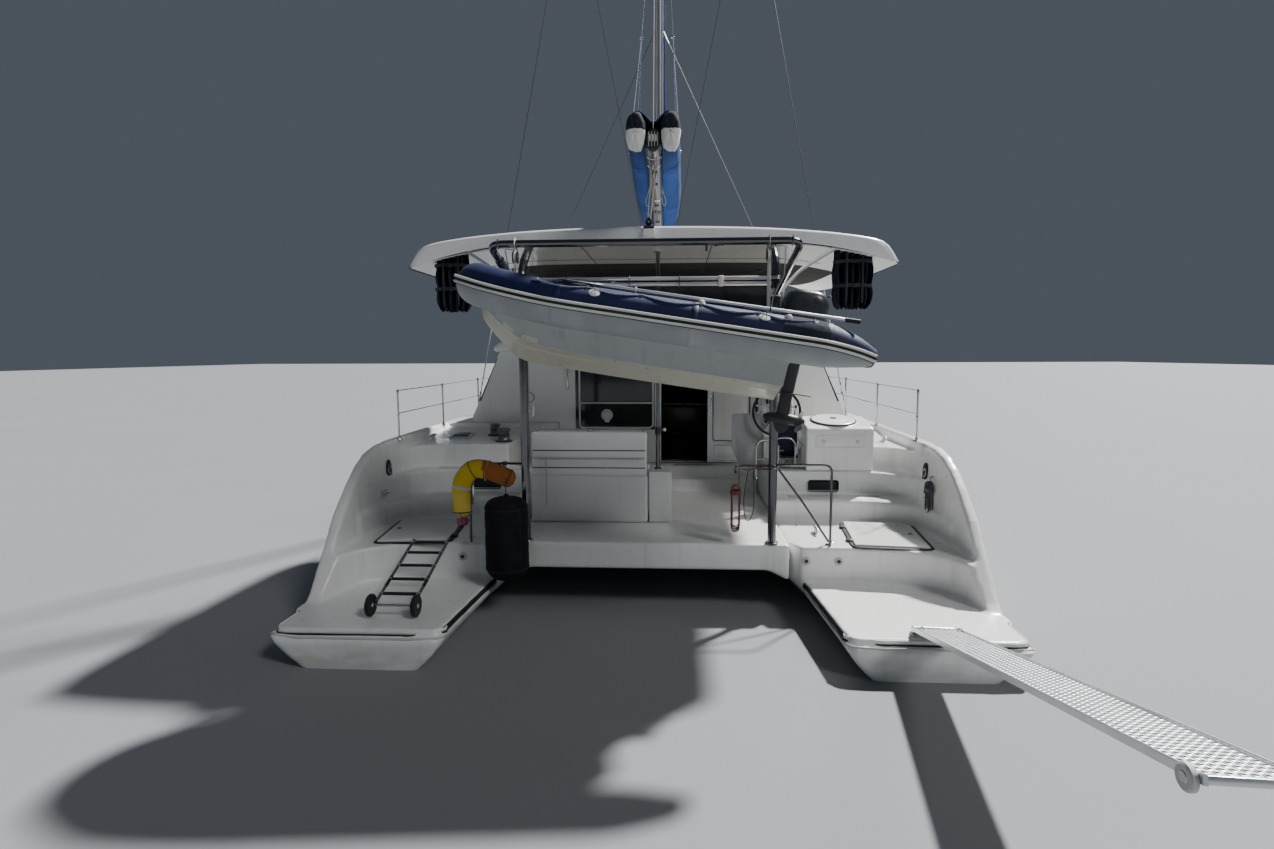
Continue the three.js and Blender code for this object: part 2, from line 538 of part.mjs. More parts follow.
// Fore part: crossbeam, centre spar, nets.
const hullIn = hull.clone().translate(-GAP - 0.2, 0, 0);
const frontBeam = cut(bar([[-2560, 6080, 1560], [2560, 6080, 1560]], 105, 16), hullIn, mirrored(hullIn));
put('front_beam', frontBeam, ALLOY);
put('centre_spar', bar([[0, BRIDGE_FRONT_Y + GAP, 1560], [0, 5974, 1560]], 70, 12), ALLOY);
const netPlan = [
  [70 + GAP, BRIDGE_FRONT_Y + GAP], [2500, BRIDGE_FRONT_Y + GAP], [2500, 5975 - GAP], [70 + GAP, 5975 - GAP],
];
pair('trampoline', cut(prismZ(netPlan, 1554, 1566), hullIn), NET);

// Mast with two pairs of spreaders.
const mastRing = (z, s) => {
  const r = [];
  for (let i = 0; i < 16; i++) {
    const t = (i / 16) * Math.PI * 2;
    r.push([Math.cos(t) * 82 * s, MAST_Y + Math.sin(t) * 130 * s, z]);
  }
  return r;
};
const lug = (z) => box(-22, 22, MAST_Y - 175, MAST_Y - 110, z - 9, z + 9);
const mast = join(
  lug(BOOM_Z + 49.5), lug(BOOM_Z - 49.5),
  loft([mastRing(CABIN_Z1 + 240 + GAP, 1), mastRing(16500, 1), mastRing(MAST_TOP_Z, 0.7)]),
  bar([[-1180, MAST_Y - 330, 9600], [0, MAST_Y, 9520], [1180, MAST_Y - 330, 9600]], 30, 8),
  bar([[-880, MAST_Y - 250, 14300], [0, MAST_Y, 14220], [880, MAST_Y - 250, 14300]], 26, 8));
put('mast', mast, ALLOY);
const shroud = join(
  bar([[3390, 150, SHEER_Z + 40], [60, MAST_Y - 20, 19200]], 9, 6),
  bar([[3300, 420, SHEER_Z + 40], [60, MAST_Y - 10, 8700]], 9, 6),
  box(3270, 3400, 120, 450, SHEER_Z + GAP, SHEER_Z + 60));
pair('shroud', cut(shroud, box(-100, 84, 0, 1200, 3000, 20000)), STEEL);
const STAY = [[0, 6060, 1600], [0, MAST_Y + 60, 18400]];
const stayAt = (t) => STAY[0].map((a, i) => a + (STAY[1][i] - a) * t);
const jib = bar([0, 0.06, 0.12, 0.6, 0.93, 1].map(stayAt), 75, 12, 0, 4,
  (t) => [0.4, 0.5, 1, 0.85, 0.35, 0.3][Math.round(t * 5)]);
const mastAhead = mast.clone().translate(0, GAP, 0);
put('furled_jib', cut(jib, mastAhead, frontBeam.clone().translate(0, 0, GAP)), BLUE_CLOTH);

// Boom with the main sail stowed in its bag, swung a little to starboard about its pin.
const BOOM_TURN = 0.0135;
const BOOM_PIN_Y = MAST_Y - 160;
const swung = (g) => g.translate(0, -BOOM_PIN_Y, 0).rotateZ(BOOM_TURN).translate(0, BOOM_PIN_Y, 0);
const boomRing = (y, w, h) => {
  const r = [];
  for (let i = 0; i < 16; i++) {
    const t = (i / 16) * Math.PI * 2;
    r.push([Math.cos(t) * w, y, BOOM_Z + Math.sin(t) * h]);
  }
  return r;
};
put('boom', swung(loft([
  boomRing(MAST_Y - 145, 16, 40), boomRing(MAST_Y - 200, 16, 40), boomRing(MAST_Y - 240, 34, 85),
  boomRing(MAST_Y - 500, 75, 110), boomRing(BOOM_END_Y, 75, 110),
])), ALLOY);
// The bag hangs down both sides of the boom; h is its height above its lower edge.
const bagRing = (y, w, h) => {
  const low = BOOM_Z - 30;
  const pts = [[77, 140 + GAP], [77, 12], [110, 0], [0.62 * w, 4], [0.9 * w, 0.1 * h], [w, 0.34 * h],
    [0.97 * w, 0.58 * h], [0.78 * w, 0.82 * h], [0.42 * w, 0.95 * h], [0.1 * w, h]];
  const r = pts.map(([x, z]) => [x, y, low + z]);
  return r.concat(r.slice().reverse().map(([x, yy, z]) => [-x, yy, z]));
};
put('sail_bag', swung(loft([
  bagRing(MAST_Y - 260, 185, 860), bagRing(0, 245, 760), bagRing(-600, 285, 670), bagRing(-1800, 300, 580),
  bagRing(-3200, 295, 500), bagRing(-4400, 280, 440), bagRing(BOOM_END_Y + 60, 264, 405),
])), BLUE_CLOTH);

// Guard rails: bow pulpit, stanchions and two wires in one piece a side.
const railX = (y) => (y > 3500 ? 3440 - ((y - 3500) / 3200) ** 1.4 * 640 : 3470);
const railParts = [];
const wire = (dz) => [-3300, -1500, 500, 2200, 3600, 4700, 5600].map((y) => [railX(y), y, deckAt(y) + dz]);
railParts.push(bar(wire(640), 7, 6), bar(wire(330), 7, 6));
for (const y of [-3300, -1500, 500, 2200, 3600, 4700]) {
  railParts.push(bar([[railX(y), y, deckAt(y) + GAP], [railX(y), y, deckAt(y) + 660]], 13, 8));
}
railParts.push(bar([[railX(5600), 5600, deckAt(5600) + GAP], [railX(5600), 5600, deckAt(5600) + 660],
  [2740, 6560, 2600], [2560, 6560, 2600], [2260, 5700, deckAt(5700) + 640], [2230, 5700, deckAt(5700) + GAP]],
  14, 8, 120));
pair('guard_rail', cut(join(...railParts), hull.clone().translate(0, 0, GAP)), STEEL);

// Cockpit furniture and helm.
const settee = join(
  box(-1530, -40, -3900, -3050, SOLE_Z + GAP, 1410),
  box(-1500, -70, -3860, -3080, 1400, 1530),
  box(-1520, -50, -3900, -3700, 1520, 1970));
put('cockpit_settee', settee, CUSHION);
put('side_box', box(-20, 260, -3880, -3450, SOLE_Z + GAP, 1440), GRP);
put('helm_console', join(
  box(1560, 2050, -2200, -1950, HELM_Z + GAP, 2250),
  box(1580, 2030, -2260, -1990, 2050, 2330)), GRP);
const seat = join(
  bar([[1830, -2780, HELM_Z + GAP], [1830, -2780, 1500]], 45, 12),
  box(1640, 2040, -2870, -2520, 1480, 1570),
  box(1650, 2030, -2890, -2800, 1540, 1980));
put('helm_seat', seat, BLACK_PLASTIC);
const wheelX = 1790;
const wheelY = -2330;
const wheelZ = 2060;
const wheelParts = [ring(0, 0, 0, 340, 16, 32, 8), drum(0, 0, 0, 45, 60, 'z', 16)];
for (let i = 0; i < 5; i++) {
  const t = (i / 5) * Math.PI * 2 + Math.PI / 2;
  wheelParts.push(bar([[0, 0, 0], [Math.cos(t) * 340, Math.sin(t) * 340, 0]], 10, 6));
}
wheelParts.push(drum(0, 0, -29.8, 20, 79.6, 'z', 12));
put('helm_wheel', join(...wheelParts).rotateX(Math.PI / 2).translate(wheelX, wheelY, wheelZ), STEEL);
// Deck locker on the second tread, its top rising forward, with a round lid.
const lockerProfile = [
  [-3149, 1330 + GAP], [-2900 - GAP, 1330 + GAP], [-2900 - GAP, 1640 + GAP], [-2440, 1640 + GAP],
  [-2440, 2010], [-2520, 2020], [-3080, 1930], [-3130, 1900], [-3149, 1850],
];
put('deck_box', join(prismX(lockerProfile, 2075, 2970),
  drum(0, 0, 0, 300, 50, 'z', 32).rotateX(0.16).translate(2500, -2790, 1985)), GRP);

// Underwater gear and machinery, each side.
const foil = (x, y0, chord, half, z) => {
  const pts = [[0, 0], [0.1, 0.75], [0.3, 1], [0.6, 0.7], [1, 0.06]];
  const l = pts.map(([t, s]) => [x - half * s, y0 - chord * t, z]);
  return l.concat(pts.slice(1).reverse().map(([t, s]) => [x + half * s, y0 - chord * t, z]));
};
const rudder = join(
  loft([foil(HULL_X, RUDDER_Y + 110, 420, 34, -360), foil(HULL_X, RUDDER_Y + 80, 340, 24, -1050)]),
  drum(HULL_X, RUDDER_Y, (-RUDDER_PAD - GAP - 400) / 2, 28, 400 - RUDDER_PAD - GAP, 'z', 20));
pair('rudder', rudder, ANTIFOUL);
const DRIVE_Y = -3650;
const drive = join(
  loft([foil(HULL_X, DRIVE_Y + 130, 300, 55, -480), foil(HULL_X, DRIVE_Y + 130, 280, 50, -930)]),
  bar([[HULL_X, DRIVE_Y + 170, -930], [HULL_X, DRIVE_Y + 60, -930], [HULL_X, DRIVE_Y - 190, -930]], 62, 14,
    0, 4, (t) => [0.25, 1, 0.9][Math.round(t * 2)]));
pair('saildrive', cut(drive, hull.clone().translate(0, 0, -GAP)), ENGINE_GREY);
const blade = (a) => {
  const g = loft([
    [[-18, 8, 0], [18, -8, 0], [18, -2, 0], [-18, 14, 0]],
    [[-75, 45, 120], [75, -45, 120], [75, -39, 120], [-75, 51, 120]],
    [[-30, 14, 205], [30, -14, 205], [30, -9, 205], [-30, 19, 205]],
  ]);
  return g.rotateY(a);
};
const propY = DRIVE_Y - 190 - 40 - GAP;
const prop = join(drum(0, 0, 0, 48, 80, 'y', 18), blade(0), blade((Math.PI * 2) / 3), blade((Math.PI * 4) / 3));
pair('propeller', prop.translate(HULL_X, propY, -930), BRONZE);
pair('engine', prismZ(hatchPlan(150), -140 + GAP, 560), ENGINE_GREY);
const lid = loft([[0, TRANSOM_Z + GAP], [0, TRANSOM_Z + 26], [12, TRANSOM_Z + 34]].map(([d, z]) =>
  hatchPlan(d).map(([x, y]) => [x, y, z])));
pair('engine_hatch', lid, DECK);

// Boarding ladder with two small wheels, leaning on the port transom.
const LADDER_FOOT = [-6050, 470];
const LADDER_TOP = [-4850, 787];
const railPoint = (x0, x1, t) => [x0 + (x1 - x0) * t, LADDER_FOOT[0] + (LADDER_TOP[0] - LADDER_FOOT[0]) * t,
  LADDER_FOOT[1] + (LADDER_TOP[1] - LADDER_FOOT[1]) * t];
const ladder = join(
  bar([railPoint(-2650, -2700, 0), railPoint(-2650, -2700, 1)], 16, 8),
  bar([railPoint(-2260, -2300, 0), railPoint(-2260, -2300, 1)], 16, 8),
  ...[0.16, 0.37, 0.58, 0.79, 0.97].map((t) =>
    bar([railPoint(-2650, -2700, t), railPoint(-2260, -2300, t)], 13, 8)),
  drum(-2680, LADDER_FOOT[0], PLATFORM_Z + 110 + GAP, 110, 34, 'x', 24),
  drum(-2230, LADDER_FOOT[0], PLATFORM_Z + 110 + GAP, 110, 34, 'x', 24));
put('boarding_ladder', ladder, ALLOY);

// Gangplank from the starboard platform up to a quay; its hinge drum rests on the platform.
const PLANK = { x: 2664, y: -6251, length: 3800, half: 191, drum: 40, rise: 0.25, turn: -0.057 };
const plank = join(
  box(-PLANK.half + 5, PLANK.half - 5, -PLANK.length, -10, 8, 30),
  box(-PLANK.half - 8, -PLANK.half + 10, -PLANK.length, -10, -2, 40),
  box(PLANK.half - 10, PLANK.half + 8, -PLANK.length, -10, -2, 40),
  drum(0, 0, 0, PLANK.drum, 2 * PLANK.half, 'x', 24),
  drum(-PLANK.half - 20, -PLANK.length + 70, 5, 55, 32, 'x', 24),
  drum(PLANK.half + 20, -PLANK.length + 70, 5, 55, 32, 'x', 24));
plank.rotateX(-PLANK.rise).rotateZ(PLANK.turn).translate(PLANK.x, PLANK.y, PLATFORM_Z + PLANK.drum + GAP);
put('gangplank', plank, ALLOY);

// Tender hung athwartships below the davits, bow to port and high.
const TENDER_TILT = 0.154;
const TENDER_Z = 3230;
const coneEnd = (t, p) => (p.x > 1450 ? 1 - 0.6 * ((p.x - 1450) / 500) ** 1.6 : 1);
const tenderTube = (radius) => bar([[1950, -600, -60], [1800, -600, -30], [1620, -600, -10], [1450, -600, 0],
  [-900, -600, 0], [-1400, -520, 40], [-1700, -260, 90], [-1760, 0, 100], [-1700, 260, 90], [-1400, 520, 40],
  [-900, 600, 0], [1450, 600, 0], [1620, 600, -10], [1800, 600, -30], [1950, 600, -60]],
  radius, 18, 260, 3, coneEnd);
// Columns: x, half width of the floor, floor z, half width and z of the chine, keel z.
const tenderHull = loft([
  [1250, 560, -90, 440, -420, -570], [-300, 560, -90, 440, -415, -578], [-900, 540, -90, 400, -390, -570],
  [-1250, 450, -70, 300, -340, -545], [-1480, 300, -20, 190, -220, -390], [-1640, 180, 20, 110, -100, -240],
  [-1700, 90, 40, 60, -40, -130],
].map(([x, w, top, c, chine, keelZ]) => [
  [x, -w, top], [x, w, top], [x, c, chine], [x, 0, keelZ], [x, -c, chine]]));
const placeTender = (g) => g.rotateY(TENDER_TILT).translate(110, -5700, TENDER_Z);
const tubeGeo = plain(placeTender(tenderTube(200)));
const tubeRoom = plain(placeTender(tenderTube(200 + GAP)));
const hullGeo = cut(placeTender(tenderHull), tubeRoom);
put('tender_tube', tubeGeo, NAVY_RUBBER);
put('tender_hull', hullGeo, GREY_RUBBER);
// Cowl, bracket over the transom, leg, and lower unit of the outboard.
const cowlRing = (z, x0, x1, half) => {
  const d = (x1 - x0) * 0.22;
  return [[x0, -half * 0.6, z], [x0 + d, -half, z], [x1 - d, -half, z], [x1, -half * 0.55, z],
    [x1, half * 0.55, z], [x1 - d, half, z], [x0 + d, half, z], [x0, half * 0.6, z]];
};
const outboard = join(
  loft([cowlRing(110, 1240, 1500, 110), cowlRing(170, 1190, 1590, 150), cowlRing(250, 1175, 1625, 160),
    cowlRing(390, 1180, 1620, 158), cowlRing(470, 1215, 1575, 135), cowlRing(510, 1280, 1500, 90)]),
  box(1215, 1330, -110, 110, -260, 60),
  loft([cowlRing(120, 1290, 1480, 90), cowlRing(-300, 1300, 1440, 58), cowlRing(-700, 1310, 1420, 40)]),
  box(1270, 1600, -95, 95, -500, -482),
  bar([[1180, 0, -740], [1230, 0, -740], [1300, 0, -740], [1480, 0, -740], [1560, 0, -740]], 58, 14, 0, 4,
    (t) => [0.25, 0.8, 1, 0.9, 0.5][Math.round(t * 4)]),
  loft([[-880, 30, 8], [-650, 120, 20]].map(([z, w, h]) => [[1370 - w, -h, z], [1370 + w, -h, z],
    [1370 + w, h, z], [1370 - w, h, z]])));
const hullRoom = hullGeo.clone().translate(GAP, 0, 0);
const hullBelow = hullGeo.clone().translate(0, 0, -GAP);
put('outboard', cut(placeTender(outboard), hullRoom, hullBelow), BLACK_PLASTIC);
const insideFloor = (x) => TENDER_Z - 200 - (x - 110) * TENDER_TILT;
// Tackles of the tender, each from its floor up to the davit bar.
const davitRoom = davit.clone().translate(0, 0, -GAP);
const floorRoom = hullGeo.clone().translate(0, 0, GAP);
for (const [name, x] of [['port_fall', -1250], ['starboard_fall', 1200]]) {
  const rope = bar([[x, DAVIT_Y, insideFloor(x)], [x, DAVIT_Y, DAVIT_Z - 10]], 14, 10);
  const block = drum(x, DAVIT_Y, DAVIT_Z - 130, 42, 60, 'x', 16);
  put(name, cut(join(rope, block), davitRoom, floorRoom), BLACK_PLASTIC);
}

// Soft gear on the port side of the beam.
const FENDER = { x: -1556, radius: 240, z0: 420, z1: 1390 };
const fenderY = BEAM_Y - FENDER.radius - GAP;
put('fender', bar([[FENDER.x, fenderY, FENDER.z0], [FENDER.x, fenderY, FENDER.z0 + 25],
  [FENDER.x, fenderY, FENDER.z0 + 90], [FENDER.x, fenderY, FENDER.z1 - 90], [FENDER.x, fenderY, FENDER.z1 - 25],
  [FENDER.x, fenderY, FENDER.z1]], FENDER.radius, 24, 0, 4, (t) => [0.5, 0.8, 1, 1, 0.8, 0.5][Math.round(t * 5)]),
BLACK_PLASTIC);
// Lifebuoy: a horseshoe of oval section, hung tilted from the rail.
const BUOY = { wide: 105, thick: 60 };
const horseshoe = bar([[-2115, 0, 1065], [-2130, 0, 1460], [-1990, 0, 1640], [-1780, 0, 1610], [-1510, 0, 1490]],
  BUOY.wide, 16, 170, 6);
horseshoe.scale(1, BUOY.thick / BUOY.wide, 1).translate(0, RAIL_Y - 14 - BUOY.thick - GAP, 0);
put('horseshoe_buoy', horseshoe, YELLOW);

export default group;
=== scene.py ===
import math
import bmesh
import bpy
from mathutils import Matrix, Vector
from mathutils.bvhtree import BVHTree


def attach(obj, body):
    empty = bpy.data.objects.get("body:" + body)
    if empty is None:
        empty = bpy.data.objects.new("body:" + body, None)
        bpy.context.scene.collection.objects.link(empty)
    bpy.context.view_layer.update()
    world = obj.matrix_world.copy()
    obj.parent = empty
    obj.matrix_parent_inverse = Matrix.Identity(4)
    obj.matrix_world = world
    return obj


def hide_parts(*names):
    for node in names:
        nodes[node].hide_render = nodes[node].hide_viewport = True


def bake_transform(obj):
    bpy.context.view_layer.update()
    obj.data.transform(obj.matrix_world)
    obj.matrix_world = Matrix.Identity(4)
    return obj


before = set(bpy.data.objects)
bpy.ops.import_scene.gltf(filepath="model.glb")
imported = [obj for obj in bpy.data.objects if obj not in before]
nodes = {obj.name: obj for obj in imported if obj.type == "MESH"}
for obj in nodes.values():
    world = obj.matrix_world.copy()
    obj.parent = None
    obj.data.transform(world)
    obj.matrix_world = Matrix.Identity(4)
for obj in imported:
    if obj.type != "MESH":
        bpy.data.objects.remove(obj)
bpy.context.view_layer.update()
DATA = bpy.data
SCENE = bpy.context.scene
SIDES = ((-1, "port"), (1, "starboard"))

# Camera: standing on the quay astern, a wide lens looking a little down and to port.
EYE = Vector((0.309, -12.39, 2.934))
PITCH, YAW, ROLL = math.radians(6.015), math.radians(3.237), math.radians(-0.194)
FOCAL_PX, PHOTO_W = 682.5, 1274
fwd = Vector((-math.sin(YAW) * math.cos(PITCH), math.cos(YAW) * math.cos(PITCH), -math.sin(PITCH)))
side = Vector((math.cos(YAW), math.sin(YAW), 0))
upward = side.cross(fwd)
right = side * math.cos(ROLL) + upward * math.sin(ROLL)
upward = right.cross(fwd)
cam_data = DATA.cameras.new("camera")
cam_data.sensor_width = 36
cam_data.lens = 36 * FOCAL_PX / PHOTO_W
cam_data.clip_end = 500
cam = DATA.objects.new("camera", cam_data)
m = Matrix((right, upward, -fwd)).transposed().to_4x4()
m.translation = EYE
cam.matrix_world = m
SCENE.collection.objects.link(cam)
SCENE.camera = cam


# Materials. Patterns use object coordinates, which are metres in the boat's frame.
class Mat:
    """A procedural material. Each call adds nodes and returns a socket, or joins one to the shader."""

    def __init__(self, name, color, rough, metal=0.0, **sockets):
        self.material = DATA.materials.new(name)
        self.material.use_nodes = True
        self.tree = self.material.node_tree
        self.shader = self.tree.nodes["Principled BSDF"]
        self.shader.inputs["Base Color"].default_value = (*color, 1)
        self.shader.inputs["Roughness"].default_value = rough
        self.shader.inputs["Metallic"].default_value = metal
        for key, value in sockets.items():
            self.shader.inputs[key.replace("_", " ")].default_value = value
        self.color = color
        self.height = None
        self.coords = self.node("TexCoord").outputs["Object"]

    def node(self, kind, *links, **values):
        n = self.tree.nodes.new("ShaderNode" + kind)
        for key, value in values.items():
            if hasattr(n, key):
                setattr(n, key, value)
            else:
                n.inputs[key.replace("_", " ")].default_value = value
        for i, source in enumerate(links):
            if source is None:
                continue
            if isinstance(source, (int, float)):
                n.inputs[i].default_value = source
            else:
                self.tree.links.new(source, n.inputs[i])
        return n

    def spread(self, x=1.0, y=1.0, z=1.0, source=None):
        """Coordinates stretched, so that a pattern on them gets finer along an axis."""
        n = self.node("Mapping", source or self.coords)
        n.inputs["Scale"].default_value = (x, y, z)
        return n.outputs[0]

    def noise(self, scale, detail=3.0, at=None, Distortion=0.0):
        n = self.node("TexNoise", at or self.coords)
        n.inputs["Scale"].default_value = scale
        n.inputs["Detail"].default_value = detail
        n.inputs["Distortion"].default_value = Distortion
        return n.outputs["Fac"]

    def wave(self, scale, direction):
        n = self.node("TexWave", self.coords, wave_type="BANDS", bands_direction=direction)
        n.inputs["Scale"].default_value = scale
        return n.outputs["Fac"]

    def voronoi(self, scale):
        n = self.node("TexVoronoi", self.coords)
        n.inputs["Scale"].default_value = scale
        return n.outputs["Distance"]

    def math(self, op, a, b=0.0, clamp=False):
        n = self.node("Math", None, None, operation=op, use_clamp=clamp)
        for i, v in enumerate((a, b)):
            if isinstance(v, (int, float)):
                n.inputs[i].default_value = v
            else:
                self.tree.links.new(v, n.inputs[i])
        return n.outputs[0]

    def step(self, value, low, high):
        """0 below low, 1 above high, smooth between them."""
        n = self.node("MapRange", value, interpolation_type="SMOOTHSTEP")
        n.inputs["From Min"].default_value = low
        n.inputs["From Max"].default_value = high
        return n.outputs[0]

    def mix(self, factor, a, b):
        n = self.node("Mix", data_type="RGBA")
        for i, v in ((0, factor), (6, a), (7, b)):
            if isinstance(v, (int, float)):
                n.inputs[i].default_value = v
            elif isinstance(v, tuple):
                n.inputs[i].default_value = (*v, 1)
            else:
                self.tree.links.new(v, n.inputs[i])
        return n.outputs[2]

    def axis(self, name, source=None):
        return self.node("SeparateXYZ", source or self.coords).outputs[name]

    def up(self):
        """How much a face looks up."""
        return self.axis("Z", self.node("NewGeometry").outputs["Normal"])

    def paint(self, factor, other):
        """Lays another colour over what is there, by a factor."""
        out = self.mix(factor, self.color, other)
        self.tree.links.new(out, self.shader.inputs["Base Color"])
        self.color = out
        return self

    def rough(self, factor, low, high):
        """Roughness between two values, by a factor."""
        n = self.node("MapRange", factor)
        n.inputs["To Min"].default_value = low
        n.inputs["To Max"].default_value = high
        self.tree.links.new(n.outputs[0], self.shader.inputs["Roughness"])
        return self

    def bump(self, value, strength, distance):
        """Lays a relief over the one that is there."""
        n = self.node("Bump")
        n.inputs["Strength"].default_value = strength
        n.inputs["Distance"].default_value = distance
        self.tree.links.new(value, n.inputs["Height"])
        if self.height is not None:
            self.tree.links.new(self.height, n.inputs["Normal"])
        self.height = n.outputs[0]
        self.tree.links.new(self.height, self.shader.inputs["Normal"])
        return self


def painted_saloon_shade(g):
    """Painted shade: near-black brown with a grain on what faces the middle of the saloon, standing in for
    its dark inside.
    """
    x, y, z = (g.axis(a) for a in "XYZ")
    n = g.node("NewGeometry").outputs["Normal"]
    nx, ny, nz = (g.axis(a, n) for a in "XYZ")
    into = g.math("ADD", g.math("ADD", g.math("MULTIPLY", x, nx),
                                g.math("MULTIPLY", g.math("SUBTRACT", y, 1.1), ny)),
                  g.math("MULTIPLY", g.math("SUBTRACT", z, 2.0), nz))
    mask = g.math("LESS_THAN", into, 0)
    for value, low, high in ((x, -2.95, 2.95), (y, -1.19, 3.6), (z, 1.0, 3.12)):
        mask = g.math("MULTIPLY", mask, g.math("MULTIPLY", g.math("GREATER_THAN", value, low),
                                               g.math("LESS_THAN", value, high)))
    grain = g.noise(1.0, 5, g.spread(40, 4, 4))
    g.paint(mask, g.mix(g.step(grain, 0.4, 0.7), (0.02, 0.014, 0.01), (0.036, 0.025, 0.018)))


def gelcoat(name, color=(0.84, 0.84, 0.82), nonskid=False, bottom=False, grime=0.35, saloon=False):
    """Moulded gelcoat with rain streaks. On request: nonskid on decks, antifouling, painted shade on the
    saloon side.
    """
    g = Mat(name, color, 0.3, Coat_Weight=0.35, Coat_Roughness=0.12, Specular_IOR_Level=0.5)
    soft = g.noise(1.6, 4)
    g.paint(g.step(soft, 0.45, 0.75), tuple(c * 0.93 for c in color))
    streak = g.noise(1.0, 5, g.spread(9, 9, 0.7))
    dirt = g.math("MULTIPLY", g.step(streak, 0.52, 0.78), grime)
    g.paint(dirt, tuple(c * k for c, k in zip(color, (0.72, 0.7, 0.65))))
    g.rough(g.noise(14, 5), 0.2, 0.42)
    g.bump(g.noise(3.2, 2), 0.12, 0.01)
    g.bump(g.noise(260, 2), 0.05, 0.0008)
    if nonskid:
        up = g.up()
        flat = g.step(up, 0.975, 0.995)
        low = g.step(g.axis("Z"), 0.3, 0.34)
        mask = g.math("MULTIPLY", flat, low)
        g.paint(g.math("MULTIPLY", mask, 0.55), (0.74, 0.74, 0.71))
        cells = g.voronoi(95)
        g.bump(g.math("MULTIPLY", cells, mask), 0.5, 0.004)
    if bottom:
        z = g.axis("Z")
        under = g.step(g.math("MULTIPLY", z, -1), 0.02, 0.03)
        weed = g.mix(g.step(g.noise(5, 6), 0.4, 0.7), (0.03, 0.055, 0.13), (0.06, 0.085, 0.12))
        g.paint(under, weed)
        # Up to about 0.35 m above the waterline the gelcoat is darker and yellower in noisy patches.
        line = g.step(z, 0.1, 0.35)
        waterline_band = g.math("SUBTRACT", 1, line, True)
        waterline_band = g.math("MULTIPLY", waterline_band, g.step(g.noise(1, 4, g.spread(3, 3, 8)), 0.35, 0.7))
        waterline_band = g.math("MULTIPLY", waterline_band, g.math("SUBTRACT", 1, under))
        g.paint(g.math("MULTIPLY", waterline_band, 0.5), (0.5, 0.5, 0.42))
    if saloon:
        # Painted shade on the faces inside the saloon.
        painted_saloon_shade(g)
    return g.material


def banded(name, low, high):
    """Gelcoat with a dark glossy band between two heights, round the windows, and painted shade inside the
    saloon.
    """
    g = Mat(name, (0.82, 0.82, 0.8), 0.3, Coat_Weight=0.35, Coat_Roughness=0.12)
    g.paint(g.step(g.noise(1.6, 4), 0.45, 0.75), (0.77, 0.77, 0.75))
    g.paint(g.math("MULTIPLY", g.step(g.noise(1.0, 5, g.spread(9, 9, 0.7)), 0.52, 0.78), 0.25),
            (0.6, 0.58, 0.53))
    z = g.axis("Z")
    inside = g.math("MULTIPLY", g.step(z, low - 0.002, low + 0.002),
                    g.math("SUBTRACT", 1, g.step(z, high - 0.002, high + 0.002)))
    g.paint(inside, (0.014, 0.015, 0.017))
    painted_saloon_shade(g)
    g.rough(g.noise(14, 5), 0.16, 0.4)
    g.bump(g.noise(3.2, 2), 0.12, 0.01)
    g.bump(g.noise(260, 2), 0.05, 0.0008)
    return g.material


def steel(name="stainless", color=(0.72, 0.73, 0.75), low=0.08, high=0.28):
    """Polished metal with cloudy patches."""
    s = Mat(name, color, 0.15, 1.0)
    s.rough(s.noise(30, 4), low, high)
    s.paint(s.step(s.noise(6, 5), 0.5, 0.8), tuple(c * 0.8 for c in color))
    s.bump(s.noise(8, 2), 0.05, 0.002)
    return s.material


def brushed(name, color, rough=0.38, along="Z"):
    """Metal with a fine grain along one axis."""
    s = Mat(name, color, rough, 0.85)
    scale = {"X": (2, 180, 180), "Y": (180, 2, 180), "Z": (180, 180, 2)}[along]
    grain = s.noise(1, 3, s.spread(*scale))
    s.bump(grain, 0.12, 0.0006)
    s.rough(s.noise(5, 4), rough - 0.08, rough + 0.14)
    s.paint(s.step(s.noise(2.2, 5), 0.45, 0.8), tuple(c * 0.82 for c in color))
    return s.material


def cloth(name, color, fade, weave=420, wrinkle=0.6, rough=0.85, shade_above=None):
    """Woven cloth, faded on what faces up. On request it is painted near-black as shade above a given height.
    """
    c = Mat(name, color, rough, Sheen_Weight=0.02, Sheen_Roughness=0.5, Specular_IOR_Level=0.2)
    c.paint(c.step(c.noise(3.0, 5), 0.35, 0.75), fade)
    c.paint(c.math("MULTIPLY", c.step(c.up(), 0.2, 0.9), 0.35), fade)
    if shade_above:
        # Painted shade: near-black above the given height.
        wander = c.math("MULTIPLY", c.math("SUBTRACT", c.noise(9, 2), 0.5), 0.05)
        c.paint(c.step(c.math("ADD", c.axis("Z"), wander), shade_above - 0.003, shade_above + 0.003),
                (0.014, 0.016, 0.024))
    a = c.wave(weave, direction="X")
    b = c.wave(weave, direction="Z")
    d = c.wave(weave, direction="Y")
    c.bump(c.math("ADD", c.math("MULTIPLY", a, b), d), 0.25, 0.0012)
    c.bump(c.noise(7, 4, c.spread(1, 1, 1.8), 0.6), wrinkle, 0.02)
    return c.material


def rubber(name, color, fade, rough=0.55, grain=900):
    """Rubber or coated fabric, chalky where it faces up."""
    r = Mat(name, color, rough, Sheen_Weight=0.01, Specular_IOR_Level=0.3)
    r.paint(r.step(r.noise(2.5, 6), 0.42, 0.75), fade)
    r.paint(r.math("MULTIPLY", r.step(r.up(), 0.3, 1.0), 0.5), fade)
    r.rough(r.noise(9, 4), rough - 0.12, rough + 0.15)
    r.bump(r.noise(grain, 2), 0.15, 0.0006)
    r.bump(r.noise(5, 3), 0.2, 0.006)
    return r.material


def plastic(name, color, rough=0.45, grain=700):
    """Moulded plastic, slightly worn."""
    p = Mat(name, color, rough)
    p.paint(p.step(p.noise(6, 5), 0.45, 0.75), tuple(min(1, c * 1.25 + 0.01) for c in color))
    p.rough(p.noise(12, 4), rough - 0.12, rough + 0.14)
    p.bump(p.noise(grain, 2), 0.12, 0.0008)
    return p.material


